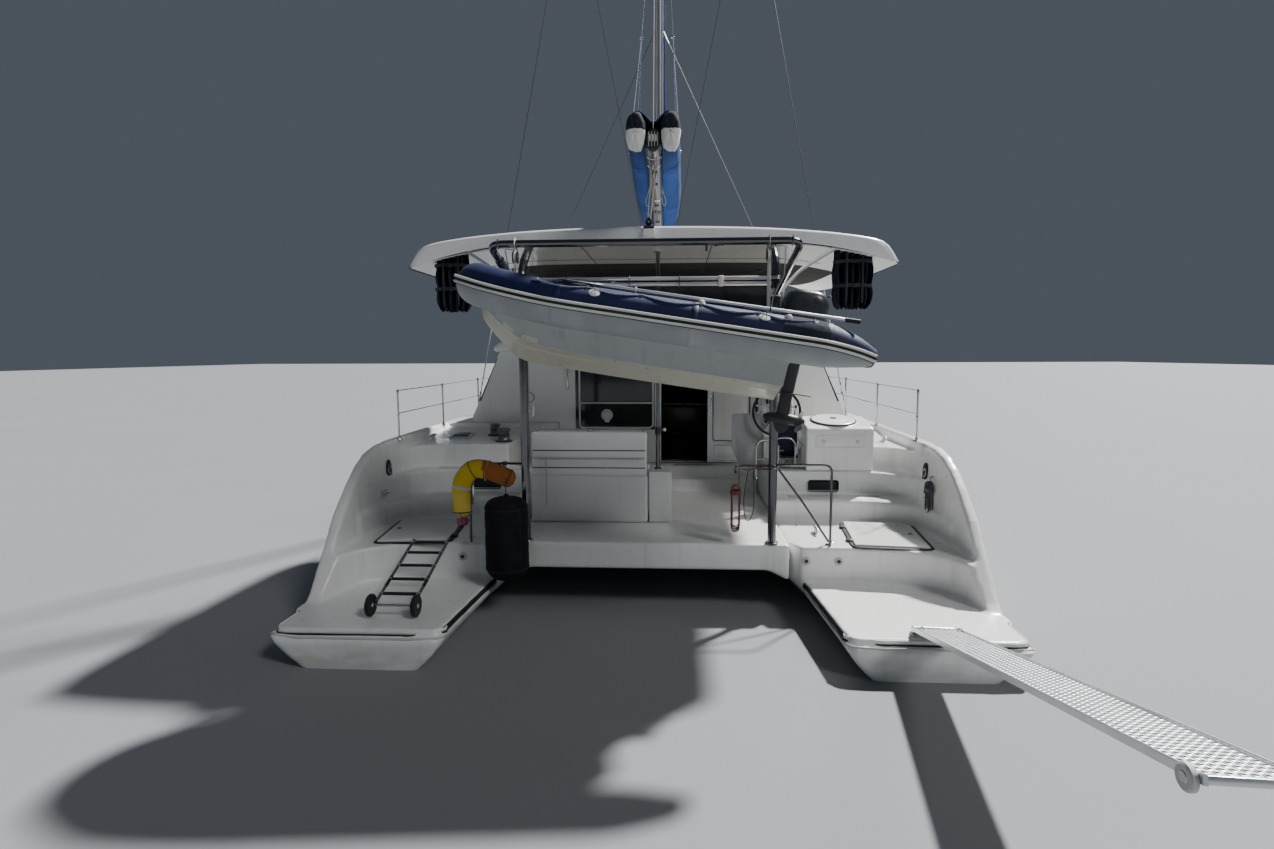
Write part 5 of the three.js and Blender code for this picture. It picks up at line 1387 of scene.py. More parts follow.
# Mainsheet block on the hardtop's after edge.
block = Kit()
block.add(mould(box(-0.07, 0.07, -4.44, -4.335, 4.255, 4.34, 0.012, 2), 0.006, 3, 0.5), TRIM_SKIN)
block.add(box(-0.062, 0.062, -4.43, -4.335, 4.338, 4.372, 0.008, 2), BLACK)
block += sheave_block((0.0, -4.385, 4.43), 0.07, (0.1, -0.5, 0.8), (0, 1, 0.5))
block.add_all(screws([(-0.05, -4.42, 4.372), (0.05, -4.42, 4.372)], 0.006), STEEL)
piece("mainsheet_block", block)

# Side curtains, gathered into hanging bundles and strapped.
CURTAIN_X, CURTAIN_Y = 2.375, -4.12
for s, word in SIDES:
    middle = s * CURTAIN_X
    folds, per = 11, 8
    outline = []
    for i in range(folds * per + 1):
        u = i / (folds * per)
        swing = math.cos(u * folds * math.pi)
        outline.append(((u - 0.5) * 2, swell(swing, 0.55) * (1 - 0.35 * abs(2 * u - 1) ** 3)))
    levels = [(3.44, 0.15, 0.075), (3.46, 0.19, 0.1), (3.52, 0.212, 0.112), (3.6, 0.222, 0.115),
              (3.66, 0.216, 0.108), (3.7, 0.205, 0.1), (3.74, 0.214, 0.107), (3.82, 0.226, 0.115),
              (3.9, 0.225, 0.112), (3.95, 0.212, 0.1), (4.0, 0.208, 0.097), (4.06, 0.204, 0.092),
              (4.15, 0.2, 0.085)]
    rows = []
    for j, (z, w, d) in enumerate(levels):
        row = []
        for i, (a, b) in enumerate(outline):
            wob = 0.006 * math.sin(i * 1.7 + j * 0.9) + 0.004 * math.sin(i * 0.6 - j * 1.7)
            x = middle + a * w + wob
            top = hardtop_low(x) - 0.006
            row.append(Vector((x, CURTAIN_Y + b * d + wob,
                               min(z, top) - (0.012 * math.sin(i * 0.9) if j < 2 else 0))))
        rows.append(row)
    n = len(outline)
    verts = [p for r in rows for p in r]
    faces = [(j * n + i, j * n + i + 1, (j + 1) * n + i + 1, (j + 1) * n + i)
             for j in range(len(rows) - 1) for i in range(n - 1)]
    smooth = worked((verts, faces), ("SUBSURF", {"levels": 1, "render_levels": 1}),
                    ("SOLIDIFY", {"thickness": 0.003, "offset": 0}))
    curtain = piece(word + "_curtain", [(smooth, DARK_CANVAS)],
                    stands_for=[word + "_rolled_curtain"], angle=60)
    trims = Kit()
    for z, w, d in ((3.7, 0.217, 0.112), (3.98, 0.219, 0.11)):
        loop = [(middle + swell(math.cos(a), 0.6) * w, CURTAIN_Y + swell(math.sin(a), 0.6) * d,
                 z + 0.004 * math.sin(3 * a)) for a in angles(40)]
        trims.add(tube(loop, 0.02, 8, closed=True, squash=(0.16, 1)), STRAP)
        trims.add(box(middle - 0.022, middle + 0.022, CURTAIN_Y - d - 0.012, CURTAIN_Y - d - 0.002,
                      z - 0.024, z + 0.024, 0.003, 2), BLACK)
    for k in (-1, 1):
        x = middle + k * 0.09
        trims.add(tube([(x, CURTAIN_Y - 0.118, 3.5), (x, CURTAIN_Y - 0.122, 3.7),
                        (x, CURTAIN_Y - 0.117, 3.95),
                        (x, CURTAIN_Y - 0.1, min(4.1, hardtop_low(x) - 0.01))], 0.012, 8,
                       squash=(1, 0.18)), STRAP)
    strap_ob = piece(word + "_curtain_straps", trims)
    track = [(middle + (i - 5) * 0.045, CURTAIN_Y, hardtop_low(middle + (i - 5) * 0.045) - 0.004)
             for i in range(11)]
    piece(word + "_curtain_track", [(tube(track, 0.012, 8, squash=(2.2, 0.8)), ALLOY)])

# Davits: collars, a rope wrapped round the port arm and a short rod under the bar.
davit = Kit()
for s in (-1, 1):
    davit.add(torus((s * POST_X, POST_Y, 3.56), 0.052, 0.012, (0, 0, 1), 28, 8, squash=(0.6, 2)), STEEL)
    davit.add(torus((s * 1.42, DAVIT_Y, 3.99), 0.039, 0.008, (1, 0, 0), 20, 8, squash=(0.6, 2)), STEEL)
a, b = Vector((-1.476, -5.42, 3.875)), Vector((-1.416, -4.95, 3.645))
axis = (b - a).normalized()
u = axis.orthogonal().normalized()
v = axis.cross(u)
coil = []
laps = 17
for i in range(laps * 12 + 1):
    t = i / (laps * 12)
    angle = i / 12 * math.tau
    coil.append(a.lerp(b, t) + u * (math.cos(angle) * 0.0435) + v * (math.sin(angle) * 0.0435))
davit.add(tube(coil, 0.0095, 7), DARK_ROPE)
davit.add(tube([(0.6, DAVIT_Y, 3.99), (0.602, DAVIT_Y, 3.9)], 0.009, 8), BLACK)
piece("davit_fittings", davit)
horns = Kit()
for s in (1, -1):
    horns.add_all(cleat((s * (POST_X - 0.052), POST_Y, 2.3), 0.17, (0, 0, 1), (-s, 0, 0)), ALLOY)
piece("post_cleats", horns)
falls = Kit()
for s, x0 in ((-1, -1.25), (1, 1.2)):
    path = [(x0 + 0.012 * s, DAVIT_Y, 3.93), (s * 1.36, -5.66, 3.95), (s * 1.42, -5.2, 3.72),
            (s * 1.352, -4.83, 3.5), (s * 1.346, -4.775, 3.2), (s * 1.343, -4.77, 2.36)]
    falls.add(tube(bent(path, 0.05, 5), 0.0055, 7), WHITE_ROPE)
piece("tackle_tails", falls)

# Sail bag: canvas sleeve open at the after end, sagging between its battens.
BOOM_TOP = 5.05
BAG = spline([(0.34, 0.185, 0.86), (0, 0.245, 0.76), (-0.6, 0.285, 0.67), (-1.8, 0.3, 0.58),
              (-3.2, 0.295, 0.5), (-4.4, 0.28, 0.42), (-5.14, 0.264, 0.34)], 9)


def bag_ring(y, w, h, shrink=1.0, wave=0.0):
    """Section of the bag. Towards the open end its ridge dips between the two halves of the sail."""
    dip = min(1.0, max(0.0, (-3.9 - y) / 1.15)) ** 2
    pts = [(0.077, 0.138), (0.077, 0.012), (0.11, 0.002), (0.62 * w, 0.004), (0.9 * w, 0.1 * h),
           (w, 0.34 * h), (0.97 * w, 0.58 * h), ((0.78 + 0.06 * dip) * w, (0.82 + 0.05 * dip) * h),
           ((0.42 + 0.1 * dip) * w, (0.95 + 0.01 * dip) * h), (0.1 * w, (1 - 0.34 * dip) * h)]
    fine = [Vector((*pts[0], 0)), Vector((*pts[1], 0))] + spline([(x, z, 0) for x, z in pts[2:]], 5)
    half = []
    for i, q in enumerate(fine):
        x, z = q.x, q.y
        if i > 1:
            k = math.sin(i * 0.23) * wave
            x = x * shrink - k * (0.7 + 0.3 * math.sin(i * 0.9))
            z = 0.5 * h + (z - 0.5 * h) * shrink - (0.4 * k if z > 0.6 * h else 0)
            x = max(x, 0.01)
        half.append((x, y, BOOM_TOP + z))
    bulge = 1 + 0.14 * min(1.0, max(0.0, (y + 4.6) / 2.6))
    return [(x * (bulge if i > 1 else 1), yy, z)
            for i, (x, yy, z) in enumerate(half)] + [(-x, yy, z) for x, yy, z in reversed(half)]


bag_rings = []
for i, q in enumerate(BAG):
    along = math.sin(q.x * 7.3) * 0.5 + math.sin(q.x * 17 + 1) * 0.3 + math.sin(q.x * 3.1 + 2) * 0.4
    bag_rings.append(bag_ring(q.x, q.y, q.z, 1, 0.007 + 0.008 * along))
bag_rings.append(bag_ring(-5.142, 0.264, 0.34, 0.972, 0.004))
for y in (-5.1, -4.95, -4.75):
    bag_rings.append(bag_ring(y, 0.264, 0.34, 0.96, 0.004))


def bag_skin(p):
    """Blue, and painted dark as shade where one looks into the open end."""
    q = BOOM_M.inverted() @ p
    # Painted shade: dark canvas inside the open end of the bag.
    inside = q.y < -4.7 and abs(q.x) < 0.235 and 5.08 < q.z < 5.42
    return DARK_CANVAS if inside else BLUE


bag_ob = piece("sail_bag_canvas", [(boomed(loft(bag_rings, pairs=True)), bag_skin)], "boom_body",
               ["sail_bag"], 50)

# Seams, hems, battens and eyes of the sail bag.
trim = Kit(place=boomed)
for k in range(1, 5):
    y = 0.3 - k * 1.12
    ring = [Vector(p) for p in bag_ring(y, *[v for v in min(BAG, key=lambda b: abs(b.x - y))][1:])]
    band = [Vector((p.x * 1.006, p.y, 5.3 + (p.z - 5.3) * 1.006)) for p in ring[2:-2]]
    trim.add(tube(band, 0.014, 6, squash=(1, 0.16)), BLUE_DARK)
ridge = [(0, q.x, 5.054 + q.z * (1 - 0.34 * min(1.0, max(0.0, (-3.9 - q.x) / 1.15)) ** 2)) for q in BAG]
trim.add(tube(ridge, 0.013, 8, squash=(1, 0.6)), BLACK)
for s in (-1, 1):
    hem = [(s * 0.1, q.x, 5.052) for q in BAG[2:]]
    trim.add(tube(hem, 0.01, 8), BLUE_DARK)
    batten = [(s * (q.y * 0.995 + 0.002), q.x, BOOM_TOP + 0.4 * q.z) for q in BAG[6:]]
    trim.add(tube(batten, 0.012, 8, squash=(0.5, 1)), BLUE_DARK)
    for y in (-1.2, -2.6, -4.2):
        q = min(BAG, key=lambda b: abs(b.x - y))
        trim.add(torus((s * (q.y + 0.008), y, BOOM_TOP + 0.4 * q.z + 0.02), 0.014, 0.004, (0, 1, 0), 16, 7),
                 STEEL)
        trim.add(box(*sorted((s * q.y, s * (q.y + 0.008))), y - 0.02, y + 0.02, BOOM_TOP + 0.3 * q.z,
                     BOOM_TOP + 0.4 * q.z + 0.01, 0.002, 1), BLACK)
mouth = [Vector(p) for p in bag_ring(-5.143, 0.264, 0.34, 0.992)][2:-2]
trim.add(tube(mouth, 0.008, 8), BLUE_DARK)
piece("sail_bag_trim", trim, "boom_body")


# After end of the sail: its folds hang in a bunch on each side of the boom, painted near-black along the top
# as shade inside the bag's mouth, on a dark cover cloth.
def bunch(s):
    """The folds on one side, as a shell, and the area of their cloth."""
    rings = []
    steps = [(-4.72, 0.8, 0), (-4.9, 0.85, 0), (-5.03, 0.9, 0), (-5.1, 0.97, 0.5), (-5.135, 1, 1),
             (-5.19, 1.02, 1), (-5.235, 0.97, 1), (-5.268, 0.86, 1), (-5.288, 0.68, 1), (-5.297, 0.45, 1),
             (-5.3, 0.2, 1), (-5.298, 0.04, 1)]
    for y, grow, low in steps:
        cx, wide = 0.158 + 0.02 * low, 0.066 + 0.032 * low
        cz, tall = 5.215 - 0.05 * low, 0.13 + 0.055 * low
        ring = []
        for a in angles(56):
            fold = (1 + 0.025 * math.sin(5 * a + s) + 0.012 * math.sin(11 * a + 2 * s)
                    + 0.05 * (1 - grow) * math.sin(7 * a))
            x = cx + wide * grow * fold * swell(math.cos(a), 0.85)
            z = cz + tall * grow * fold * swell(math.sin(a), 0.9) - 0.03 * (1 - grow) * low
            pinch = 0.008 * math.sin(5 * a + 1.3 * s) * (1.02 - grow) * low
            ring.append((s * max(x, 0.082), y - pinch, z))
        rings.append(ring)
    verts, faces = loft(rings, caps=False)
    return worked((verts, faces), ("SOLIDIFY", {"thickness": 0.0032, "offset": 0})), area_of(verts, faces)


for s, word in SIDES:
    shape, area = bunch(s)
    ob = piece(word + "_sail_bunch", [(boomed(shape), LEECH)], "boom_body", angle=60)
    loop = [(s * (0.172 + 0.101 * math.cos(a)), -5.15, 5.165 + 0.193 * math.sin(a))
            for a in angles(40)]
    ring = [(s * max(abs(x), 0.084), y, z) for x, y, z in loop]
    piece(word + "_sail_tie", [(boomed(tube(ring, 0.009, 6, closed=True, squash=(0.25, 1))), STRAP)],
          "boom_body")

# Boom fittings: end casting with sheaves, bails, side tracks, reefing lines, stoppers and two blocks.
fit = Kit(place=boomed)


def oval(y, w, h):
    """A ring in the boom's section."""
    return [(math.cos(a) * w, y, 5.08 + math.sin(a) * h) for a in angles(28)]


fit.add(loft([oval(-5.16, 0.0765, 0.1115), oval(-5.2, 0.078, 0.113), oval(-5.206, 0.07, 0.104)]), BLACK)
for x in (-0.045, -0.015, 0.015, 0.045):
    fit.add(box(x - 0.004, x + 0.004, -5.235, -5.2, 5.015, 5.155, 0.003, 1), ALLOY)
for x in (-0.03, 0, 0.03):
    fit.add(lathe([(0.001, -0.009), (0.04, -0.009), (0.032, 0), (0.04, 0.009), (0.001, 0.009)],
                  (x, -5.2, 5.1), "x", 22), PALE_RUBBER)
fit.add(tube([(-0.055, -5.2, 5.1), (0.055, -5.2, 5.1)], 0.008, 10), STEEL)
for y in (-5.06, -4.72, -3.1):
    bail = bent([(-0.077, y, 5.04), (-0.06, y, 4.93), (0.06, y, 4.93), (0.077, y, 5.04)], 0.045, 5)
    fit.add(tube(bail, 0.007, 8), STEEL)
    for s in (-1, 1):
        fit.add(lathe([(0.001, 0.006), (0.015, 0.006), (0.018, 0), (0.001, 0)], (s * 0.075, y, 5.045),
                      "x", 14), STEEL)
for s in (-1, 1):
    fit.add(box(*sorted((s * 0.0735, s * 0.0775)), -5.1, 0.0, 5.072, 5.084, 0.001, 1), BLACK)
    reef = [(s * 0.03, -5.19, 5.066), (s * 0.034, -4.9, 4.966), (s * 0.036, -1.0, 4.966),
            (s * 0.03, 0.0, 4.985)]
    fit.add(tube(reef, 0.0055, 7), RED_ROPE if s < 0 else BLUE_ROPE)
    fit.add(box(s * 0.034 - 0.018, s * 0.034 + 0.018, -2.2, -2.05, 4.955, 4.985, 0.006, 2), BLACK)
for y in (-4.35, -3.8, -2.6, -1.4):
    fit.add(box(-0.03, 0.03, y - 0.05, y + 0.05, 4.955, 4.978, 0.008, 2), BLACK)
    fit.add(torus((0, y, 4.95), 0.014, 0.004, (1, 0, 0), 14, 7), STEEL)
fit.add(box(-0.009, 0.009, -5.1, 0.0, 4.966, 4.975, 0.002, 1), BLACK)
for y in (-5.06, -4.72):
    for shape, material in sheave_block((0, y, 4.86), 0.062):
        fit.add(shape, material)
piece("boom_fittings", fit, "boom_body")

# Mainsheet, topping lift and lazy jacks cross from the boat to the boom.
low, high = Vector((0, -4.385, 4.45)), BOOM_M @ Vector((0, -4.89, 4.85))
sheet_parts = Kit()
for x, y in ((-0.02, -5.06), (0.02, -5.06), (-0.02, -4.72), (0.02, -4.72)):
    top = BOOM_M @ Vector((x, y, 4.855))
    start = low + Vector((x * 0.8, (y + 4.89) * 0.1, 0))
    sheet_parts.add(tube(straight(start, top, 16), 0.0055, 8), WHITE_ROPE)
sheet_ob = piece("mainsheet", sheet_parts, ride=False)
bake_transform(sheet_ob)
lift_a, lift_b = Vector((0, 0.42, 19.42)), BOOM_M @ Vector((0, -5.22, 5.19))
lift_ob = piece("topping_lift", [(tube(straight(lift_a, lift_b, 60), 0.005, 6), WHITE_ROPE)], ride=False)
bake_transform(lift_ob)
for s, word in SIDES:
    head = Vector((s * 0.07, 0.47, 11.4))
    split = BOOM_M @ Vector((s * 0.23, -1.9, 7.5))
    legs = Kit()
    for y in (-1.2, -2.6, -4.2):
        q = min(BAG, key=lambda b: abs(b.x - y))
        end = BOOM_M @ Vector((s * (q.y + 0.01), y, 5.07 + 0.4 * q.z))
        legs.add(tube(straight(split, end, 14), 0.0035, 6), BLUE_ROPE)
    upper = tube(straight(head, split, 30), 0.0035, 6)
    jack = piece(word + "_lazy_jack", [(upper, BLUE_ROPE)], ride=False)
    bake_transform(jack)
    legs.add(torus(split, 0.02, 0.005, (0, 1, 0)), STEEL)
    piece(word + "_lazy_jack_legs", legs, "boom_body")

# Mast: track, halyards, winches, gooseneck, lights, spreader ends and masthead gear.
rig = Kit()
rig.add(box(-0.012, 0.012, 0.455, 0.474, 5.3, 19.3, 0.003, 1), BLACK)
for x in (-0.0115, 0.0115):
    rig.add(box(x - 0.003, x + 0.003, 0.45, 0.474, 5.3, 19.3, 0.001, 1), ALLOY)
HALYARDS = [(-0.05, 0.478, WHITE_ROPE), (0.05, 0.478, BLUE_ROPE), (-0.078, 0.53, WHITE_ROPE),
            (0.078, 0.53, RED_ROPE)]
for k, (x, y, material) in enumerate(HALYARDS):
    foot = 3.5 + 0.1 * k
    rig.add(tube([(x, y, foot), (x * 0.98, y, 9.0), (x * 0.72, y, 19.2)], 0.0055, 6), material)
for s in (-1, 1):
    drum = lathe([(0.001, 0.16), (0.03, 0.158), (0.048, 0.14), (0.034, 0.1), (0.036, 0.05), (0.055, 0.02),
                  (0.058, 0.0), (0.001, 0.0)], (0.078, 0.62, 4.1), "x", 22)
    rig.add(drum if s > 0 else mirror(drum), STEEL)
    rig.add_all(cleat((s * 0.086, 0.56, 3.75), 0.18, (0, 0, 1), (s, 0, 0)), ALLOY)
    for z, reach, r in ((9.6, 1.18, 0.03), (14.3, 0.88, 0.026)):
        back = 0.33 if z < 10 else 0.25
        rig.add(lathe([(r * 0.4, -0.035), (r * 1.25, -0.03), (r * 1.35, 0.03), (r * 0.5, 0.045)],
                      (s * reach, 0.6 - back, z), "x", 18), PALE_RUBBER)
        rig.add(torus((s * 0.085, 0.58, z - 0.07), r * 1.3, 0.008, (1, 0, 0), 22, 8), ALLOY)
rig.add(box(-0.03, 0.03, 0.415, 0.475, 5.0, 5.16, 0.01, 2), ALLOY)
rig.add(lathe([(0.001, 0.12), (0.008, 0.12), (0.012, 0.1), (0.012, -0.1), (0.001, -0.11)],
              (0, 0.44, 5.08), "z", 14), STEEL)
rig.add(lathe([(0.001, 0.07), (0.028, 0.06), (0.033, 0.03), (0.033, -0.03), (0.026, -0.06),
               (0.001, -0.07)], (0, 0.775, 10.9), "z", 18), LENS)
rig.add(box(-0.03, 0.03, 0.73, 0.79, 10.8, 10.835, 0.006, 2), BLACK)
rig.add(box(-0.07, 0.07, 0.36, 0.86, 19.5, 19.525, 0.008, 2), ALLOY)
for y in (0.4, 0.82):
    rig.add(lathe([(0.001, -0.012), (0.05, -0.012), (0.04, 0), (0.05, 0.012), (0.001, 0.012)],
                  (0, y, 19.49), "x", 22), PALE_RUBBER)
rig.add(loft([[(math.cos(a) * (0.1 if z < 3.3 else 0.086),
                0.6 + math.sin(a) * (0.15 if z < 3.3 else 0.134), z) for a in angles(20)]
              for z in (3.2, 3.235, 3.25, 3.36)]), BLACK_RUBBER)
for z in (6.0, 7.0, 8.0, 9.0, 10.8, 12.0):
    for s in (-1, 1):
        rig.add_all(screws([(s * 0.079, 0.6, z)], 0.005, (s, 0, 0)), STEEL)
piece("mast_fittings", rig)


# Standing rigging: cap and lower shrouds with bottlescrews, and the mast's own diamond stays.
for s, word in SIDES:
    ends = Kit()
    for a, b in (((s * 3.39, 0.15, 1.83), (s * 0.06, 0.58, 19.2)),
                 ((s * 3.3, 0.42, 1.83), (s * 0.07, 0.59, 8.7))):
        a, b = Vector(a), Vector(b)
        d = (b - a).normalized()
        screw = lathe([(0.004, -0.02), (0.012, -0.01), (0.012, 0.05), (0.007, 0.06), (0.007, 0.13),
                       (0.014, 0.14), (0.016, 0.2), (0.016, 0.34), (0.014, 0.4), (0.007, 0.41),
                       (0.007, 0.48), (0.011, 0.49), (0.011, 0.56), (0.006, 0.6)], (0, 0, 0), "z", 14)
        ends.add(lay(screw, a, d), STEEL)
        ends.add(box(a.x - 0.02, a.x + 0.02, a.y - 0.006, a.y + 0.006, 1.78, 1.86, 0.003, 1), STEEL)
        ends.add(tube([a + d * 0.5, b], 0.0075, 8), WIRE)
        ends.add(tube([a + d * 0.62, a + d * 2.4], 0.011, 8), PALE_RUBBER)
        ends.add(tube([b - d * 0.25, b], 0.011, 8), STEEL)
    ends.add(box(s * 3.35 - 0.07, s * 3.35 + 0.07, 0.1, 0.47, 1.782, 1.798, 0.006, 2), STEEL)
    ends.add_all(screws([(s * 3.31, y, 1.798) for y in (0.2, 0.3, 0.38)], 0.009), STEEL)
    piece(word + "_shrouds", ends, stands_for=[word + "_shroud"])
    stay = [(s * 0.06, 0.6, 17.2), (s * 0.88, 0.35, 14.3), (s * 1.18, 0.27, 9.6), (s * 0.06, 0.7, 3.9)]
    piece(word + "_diamond_stay", [(tube(stay, 0.0055, 7), WIRE)])


# Furled headsail: a spiral of cloth round the headstay, with a furling drum below and a swivel above.
STAY_LOW, STAY_TOP = Vector((0, 6.06, 1.6)), Vector((0, 0.66, 18.4))
stay_dir = (STAY_TOP - STAY_LOW).normalized()
stay_across = Vector((1, 0, 0))
stay_back = stay_dir.cross(stay_across)
ROLL = spline([(0, 0.4, 0), (0.06, 0.5, 0), (0.12, 1, 0), (0.35, 1.06, 0), (0.6, 0.85, 0),
               (0.93, 0.35, 0), (1, 0.3, 0)], 10)
levels, around, laps = 300, 30, 1.4
verts = []
for i in range(levels):
    t = 0.012 + 0.97 * i / (levels - 1)
    share = height(ROLL, t)
    place = STAY_LOW.lerp(STAY_TOP, t)
    lead = t * 62 + 0.5 * math.sin(t * 40)
    for k in range(around):
        part = k / (around - 1)
        a = lead + part * laps * math.tau
        r = 0.07 * share * (0.84 + 0.17 * part) + 0.0035 * math.sin(a * 3 + t * 160) * share * part
        r += 0.003 * math.sin(t * 420 + a * 2) * share
        verts.append(place + stay_across * (math.cos(a) * r) + stay_back * (math.sin(a) * r))
faces = [(i * around + k, i * around + k + 1, (i + 1) * around + k + 1, (i + 1) * around + k)
         for i in range(levels - 1) for k in range(around - 1)]
roll = worked((verts, faces), ("SOLIDIFY", {"thickness": 0.003, "offset": 0}))
jib_ob = piece("headsail_roll", [(roll, BLUE)], stands_for=["furled_jib"], angle=50)
foil = Kit()
foil.add(tube([STAY_LOW.lerp(STAY_TOP, 0.002), STAY_LOW.lerp(STAY_TOP, 0.999)], 0.016, 12), ALLOY)
drum = lathe([(0.02, -0.02), (0.095, -0.02), (0.1, -0.012), (0.1, 0), (0.06, 0.006), (0.055, 0.05),
              (0.06, 0.094), (0.1, 0.1), (0.1, 0.112), (0.03, 0.13), (0.026, 0.2), (0.018, 0.21)],
             (0, 0, 0), "z", 32)
foil.add(lay(drum, STAY_LOW + stay_dir * 0.06, stay_dir), BLACK)
for k in range(6):
    foil.add(lay(torus((0, 0, 0.02 + 0.012 * k), 0.064, 0.006, (0, 0, 1), 32, 8),
                 STAY_LOW + stay_dir * 0.06, stay_dir), DARK_ROPE)
swivel = lathe([(0.017, 0), (0.03, 0.01), (0.032, 0.05), (0.026, 0.06), (0.032, 0.07), (0.032, 0.11),
                (0.017, 0.12)], (0, 0, 0), "z", 24)
foil.add(lay(swivel, STAY_LOW.lerp(STAY_TOP, 0.986), stay_dir), STEEL)
for k in range(9):
    t = 0.1 + 0.004 * k
    r = 0.07 * height(ROLL, t) * 1.05
    foil.add(lay(torus((0, 0, 0), r, 0.006, (0, 0, 1), 32, 6), STAY_LOW.lerp(STAY_TOP, t), stay_dir),
             WHITE_ROPE)
piece("headstay_gear", foil)


def padding(name, shape, material, voxel=0.006, cap=0.016):
    """A soft pad: cloth inflated in a simulation, no point of it by more than cap."""
    base = worked(shape, ("REMESH", {"mode": "VOXEL", "voxel_size": voxel}),
                  ("SMOOTH", {"factor": 0.5, "iterations": 4}))
    me = DATA.meshes.new(name)
    me.from_pydata([tuple(v) for v in base[0]], [], base[1])
    ob = link(DATA.objects.new(name, me))
    mod = ob.modifiers.new("Cloth", "CLOTH")
    st = mod.settings
    st.quality = 3
    st.mass = 0.3
    st.tension_stiffness = st.compression_stiffness = 12
    st.shear_stiffness = 4
    st.bending_stiffness = 0.4
    st.use_pressure = True
    st.uniform_pressure_force = 4.0
    st.effector_weights.gravity = 0
    mod.collision_settings.use_collision = False
    mod.point_cache.frame_start, mod.point_cache.frame_end = 1, 20
    for f in range(1, 21):
        SCENE.frame_set(f)
    deps = bpy.context.evaluated_depsgraph_get()
    puffed = ob.evaluated_get(deps).to_mesh()
    end = [v.co.copy() for v in puffed.vertices]
    ob.evaluated_get(deps).to_mesh_clear()
    SCENE.frame_set(1)
    verts = []
    for a, b in zip(base[0], end):
        d = b - Vector(a)
        verts.append(Vector(a) + (d if d.length <= cap else d.normalized() * cap))
    DATA.objects.remove(ob)
    DATA.meshes.remove(me)
    fine = worked((verts, base[1]), ("SMOOTH", {"factor": 0.5, "iterations": 2}),
                  ("DECIMATE", {"ratio": 0.45}))
    ob = piece(name, [(fine, material)], "boat", angle=80)
    return fine


def piping(x0, x1, y0, y1, z, grow):
    """Piping round a cushion, a little outside its edge."""
    path = bent([((x0 + x1) / 2, y0 - grow, z), (x1 + grow, y0 - grow, z), (x1 + grow, y1 + grow, z),
                 (x0 - grow, y1 + grow, z), (x0 - grow, y0 - grow, z),
                 ((x0 + x1) / 2 - 0.01, y0 - grow, z)], 0.05, 5)
    return tube(path, 0.005, 7)


# Settee: moulded base and back, four cushions.
base = mould(box(-1.53, -0.04, -3.9, -3.05, 0.7806, 1.4, 0.02, 2), 0.014, 6, 0.3)
back = mould(box(-1.52, -0.05, -3.9, -3.79, 1.38, 1.94, 0.02, 2), 0.012, 6, 0.4)
seat_parts = Kit()
seat_parts.add(base, TRIM_SKIN)
seat_parts.add(back, TRIM_SKIN)
for z in (1.705, 1.485):
    seat_parts.add(box(-1.5, -0.07, -3.904, -3.895, z - 0.006, z + 0.006, 0.002, 1), BLACK_RUBBER)
seat_parts.add(tube(bent([(-1.49, -3.93, 1.62), (-1.47, -3.925, 1.6), (-0.1, -3.925, 1.6),
                          (-0.08, -3.93, 1.62)], 0.02), 0.011, 10), PALE_RUBBER)
for x in (-1.4, -0.8, -0.17):
    seat_parts.add(box(x - 0.012, x + 0.012, -3.92, -3.89, 1.585, 1.615, 0.004, 2), PALE_RUBBER)
seat_parts.add(box(-1.36, -0.2, -3.052, -3.042, 0.9, 1.32, 0.006, 2), TRIM_SKIN)
for x in (-1.05, -0.5):
    seat_parts.add(box(x - 0.2, x + 0.2, -3.046, -3.036, 0.97, 1.25, 0.012, 3), DECK_SKIN)
    seat_parts.add(torus((x, -3.034, 1.2), 0.017, 0.004, (0, 1, 0), 18, 8), STEEL)
seat_parts.add(tube([(-1.325, -3.905, 1.6), (-1.327, -3.91, 1.3), (-1.33, -3.905, 1.0)], 0.006, 8),
               PALE_RUBBER)
piece("settee_moulding", seat_parts, stands_for=["cockpit_settee"], angle=60)
PAD_X, SEAT_Y, PAD_MIDDLE = (-1.478, -0.807), (-3.74, -3.1), -0.785
seat_pad = padding("settee_seat_port", box(*PAD_X, *SEAT_Y, 1.412, 1.515, 0.035, 3),
                       CUSHION, voxel=0.01)


def mirrored_pad(shape, name, about):
    """The same cushion on the other side of a line."""
    ob = piece(name, [(moved(mirror(shape), Matrix.Translation((2 * about, 0, 0))), CUSHION)], "boat",
               angle=80)


mirrored_pad(seat_pad, "settee_seat_starboard", PAD_MIDDLE)
back_pad = padding("settee_back_port", box(*PAD_X, -3.765, -3.655, 1.545, 1.95, 0.035, 3),
                       CUSHION, voxel=0.01)
mirrored_pad(back_pad, "settee_back_starboard", PAD_MIDDLE)
pipes = Kit()
for x0, x1 in (PAD_X, (-0.763, -0.092)):
    pipes.add(piping(x0, x1, *SEAT_Y, 1.507, 0.004), PIPING)
    pipes.add(piping(x0, x1, *SEAT_Y, 1.42, 0.004), PIPING)
    for y in (-3.664, -3.755):
        ring = bent([((x0 + x1) / 2, y, 1.541), (x1 + 0.003, y, 1.541), (x1 + 0.003, y, 1.954),
                     (x0 - 0.003, y, 1.954), (x0 - 0.003, y, 1.541), ((x0 + x1) / 2 - 0.01, y, 1.541)],
                    0.05, 5)
        pipes.add(tube(ring, 0.005, 7), PIPING)
piece("settee_piping", pipes)

# Saloon front: window frames, bar, door track, lamps, grab handles and two steps.
front = Kit()


def frame_round(x0, x1, z0, z1, y, w=0.04, t=0.02, corner=0.07):
    """A flat frame round an opening with round corners."""
    path = bent([((x0 + x1) / 2, y, z0), (x1, y, z0), (x1, y, z1), (x0, y, z1), (x0, y, z0),
                 ((x0 + x1) / 2 - 0.004, y, z0)], corner, 6)
    return tube(path, 1.0, 8, squash=(w / 2, t / 2), turn=math.pi / 8)


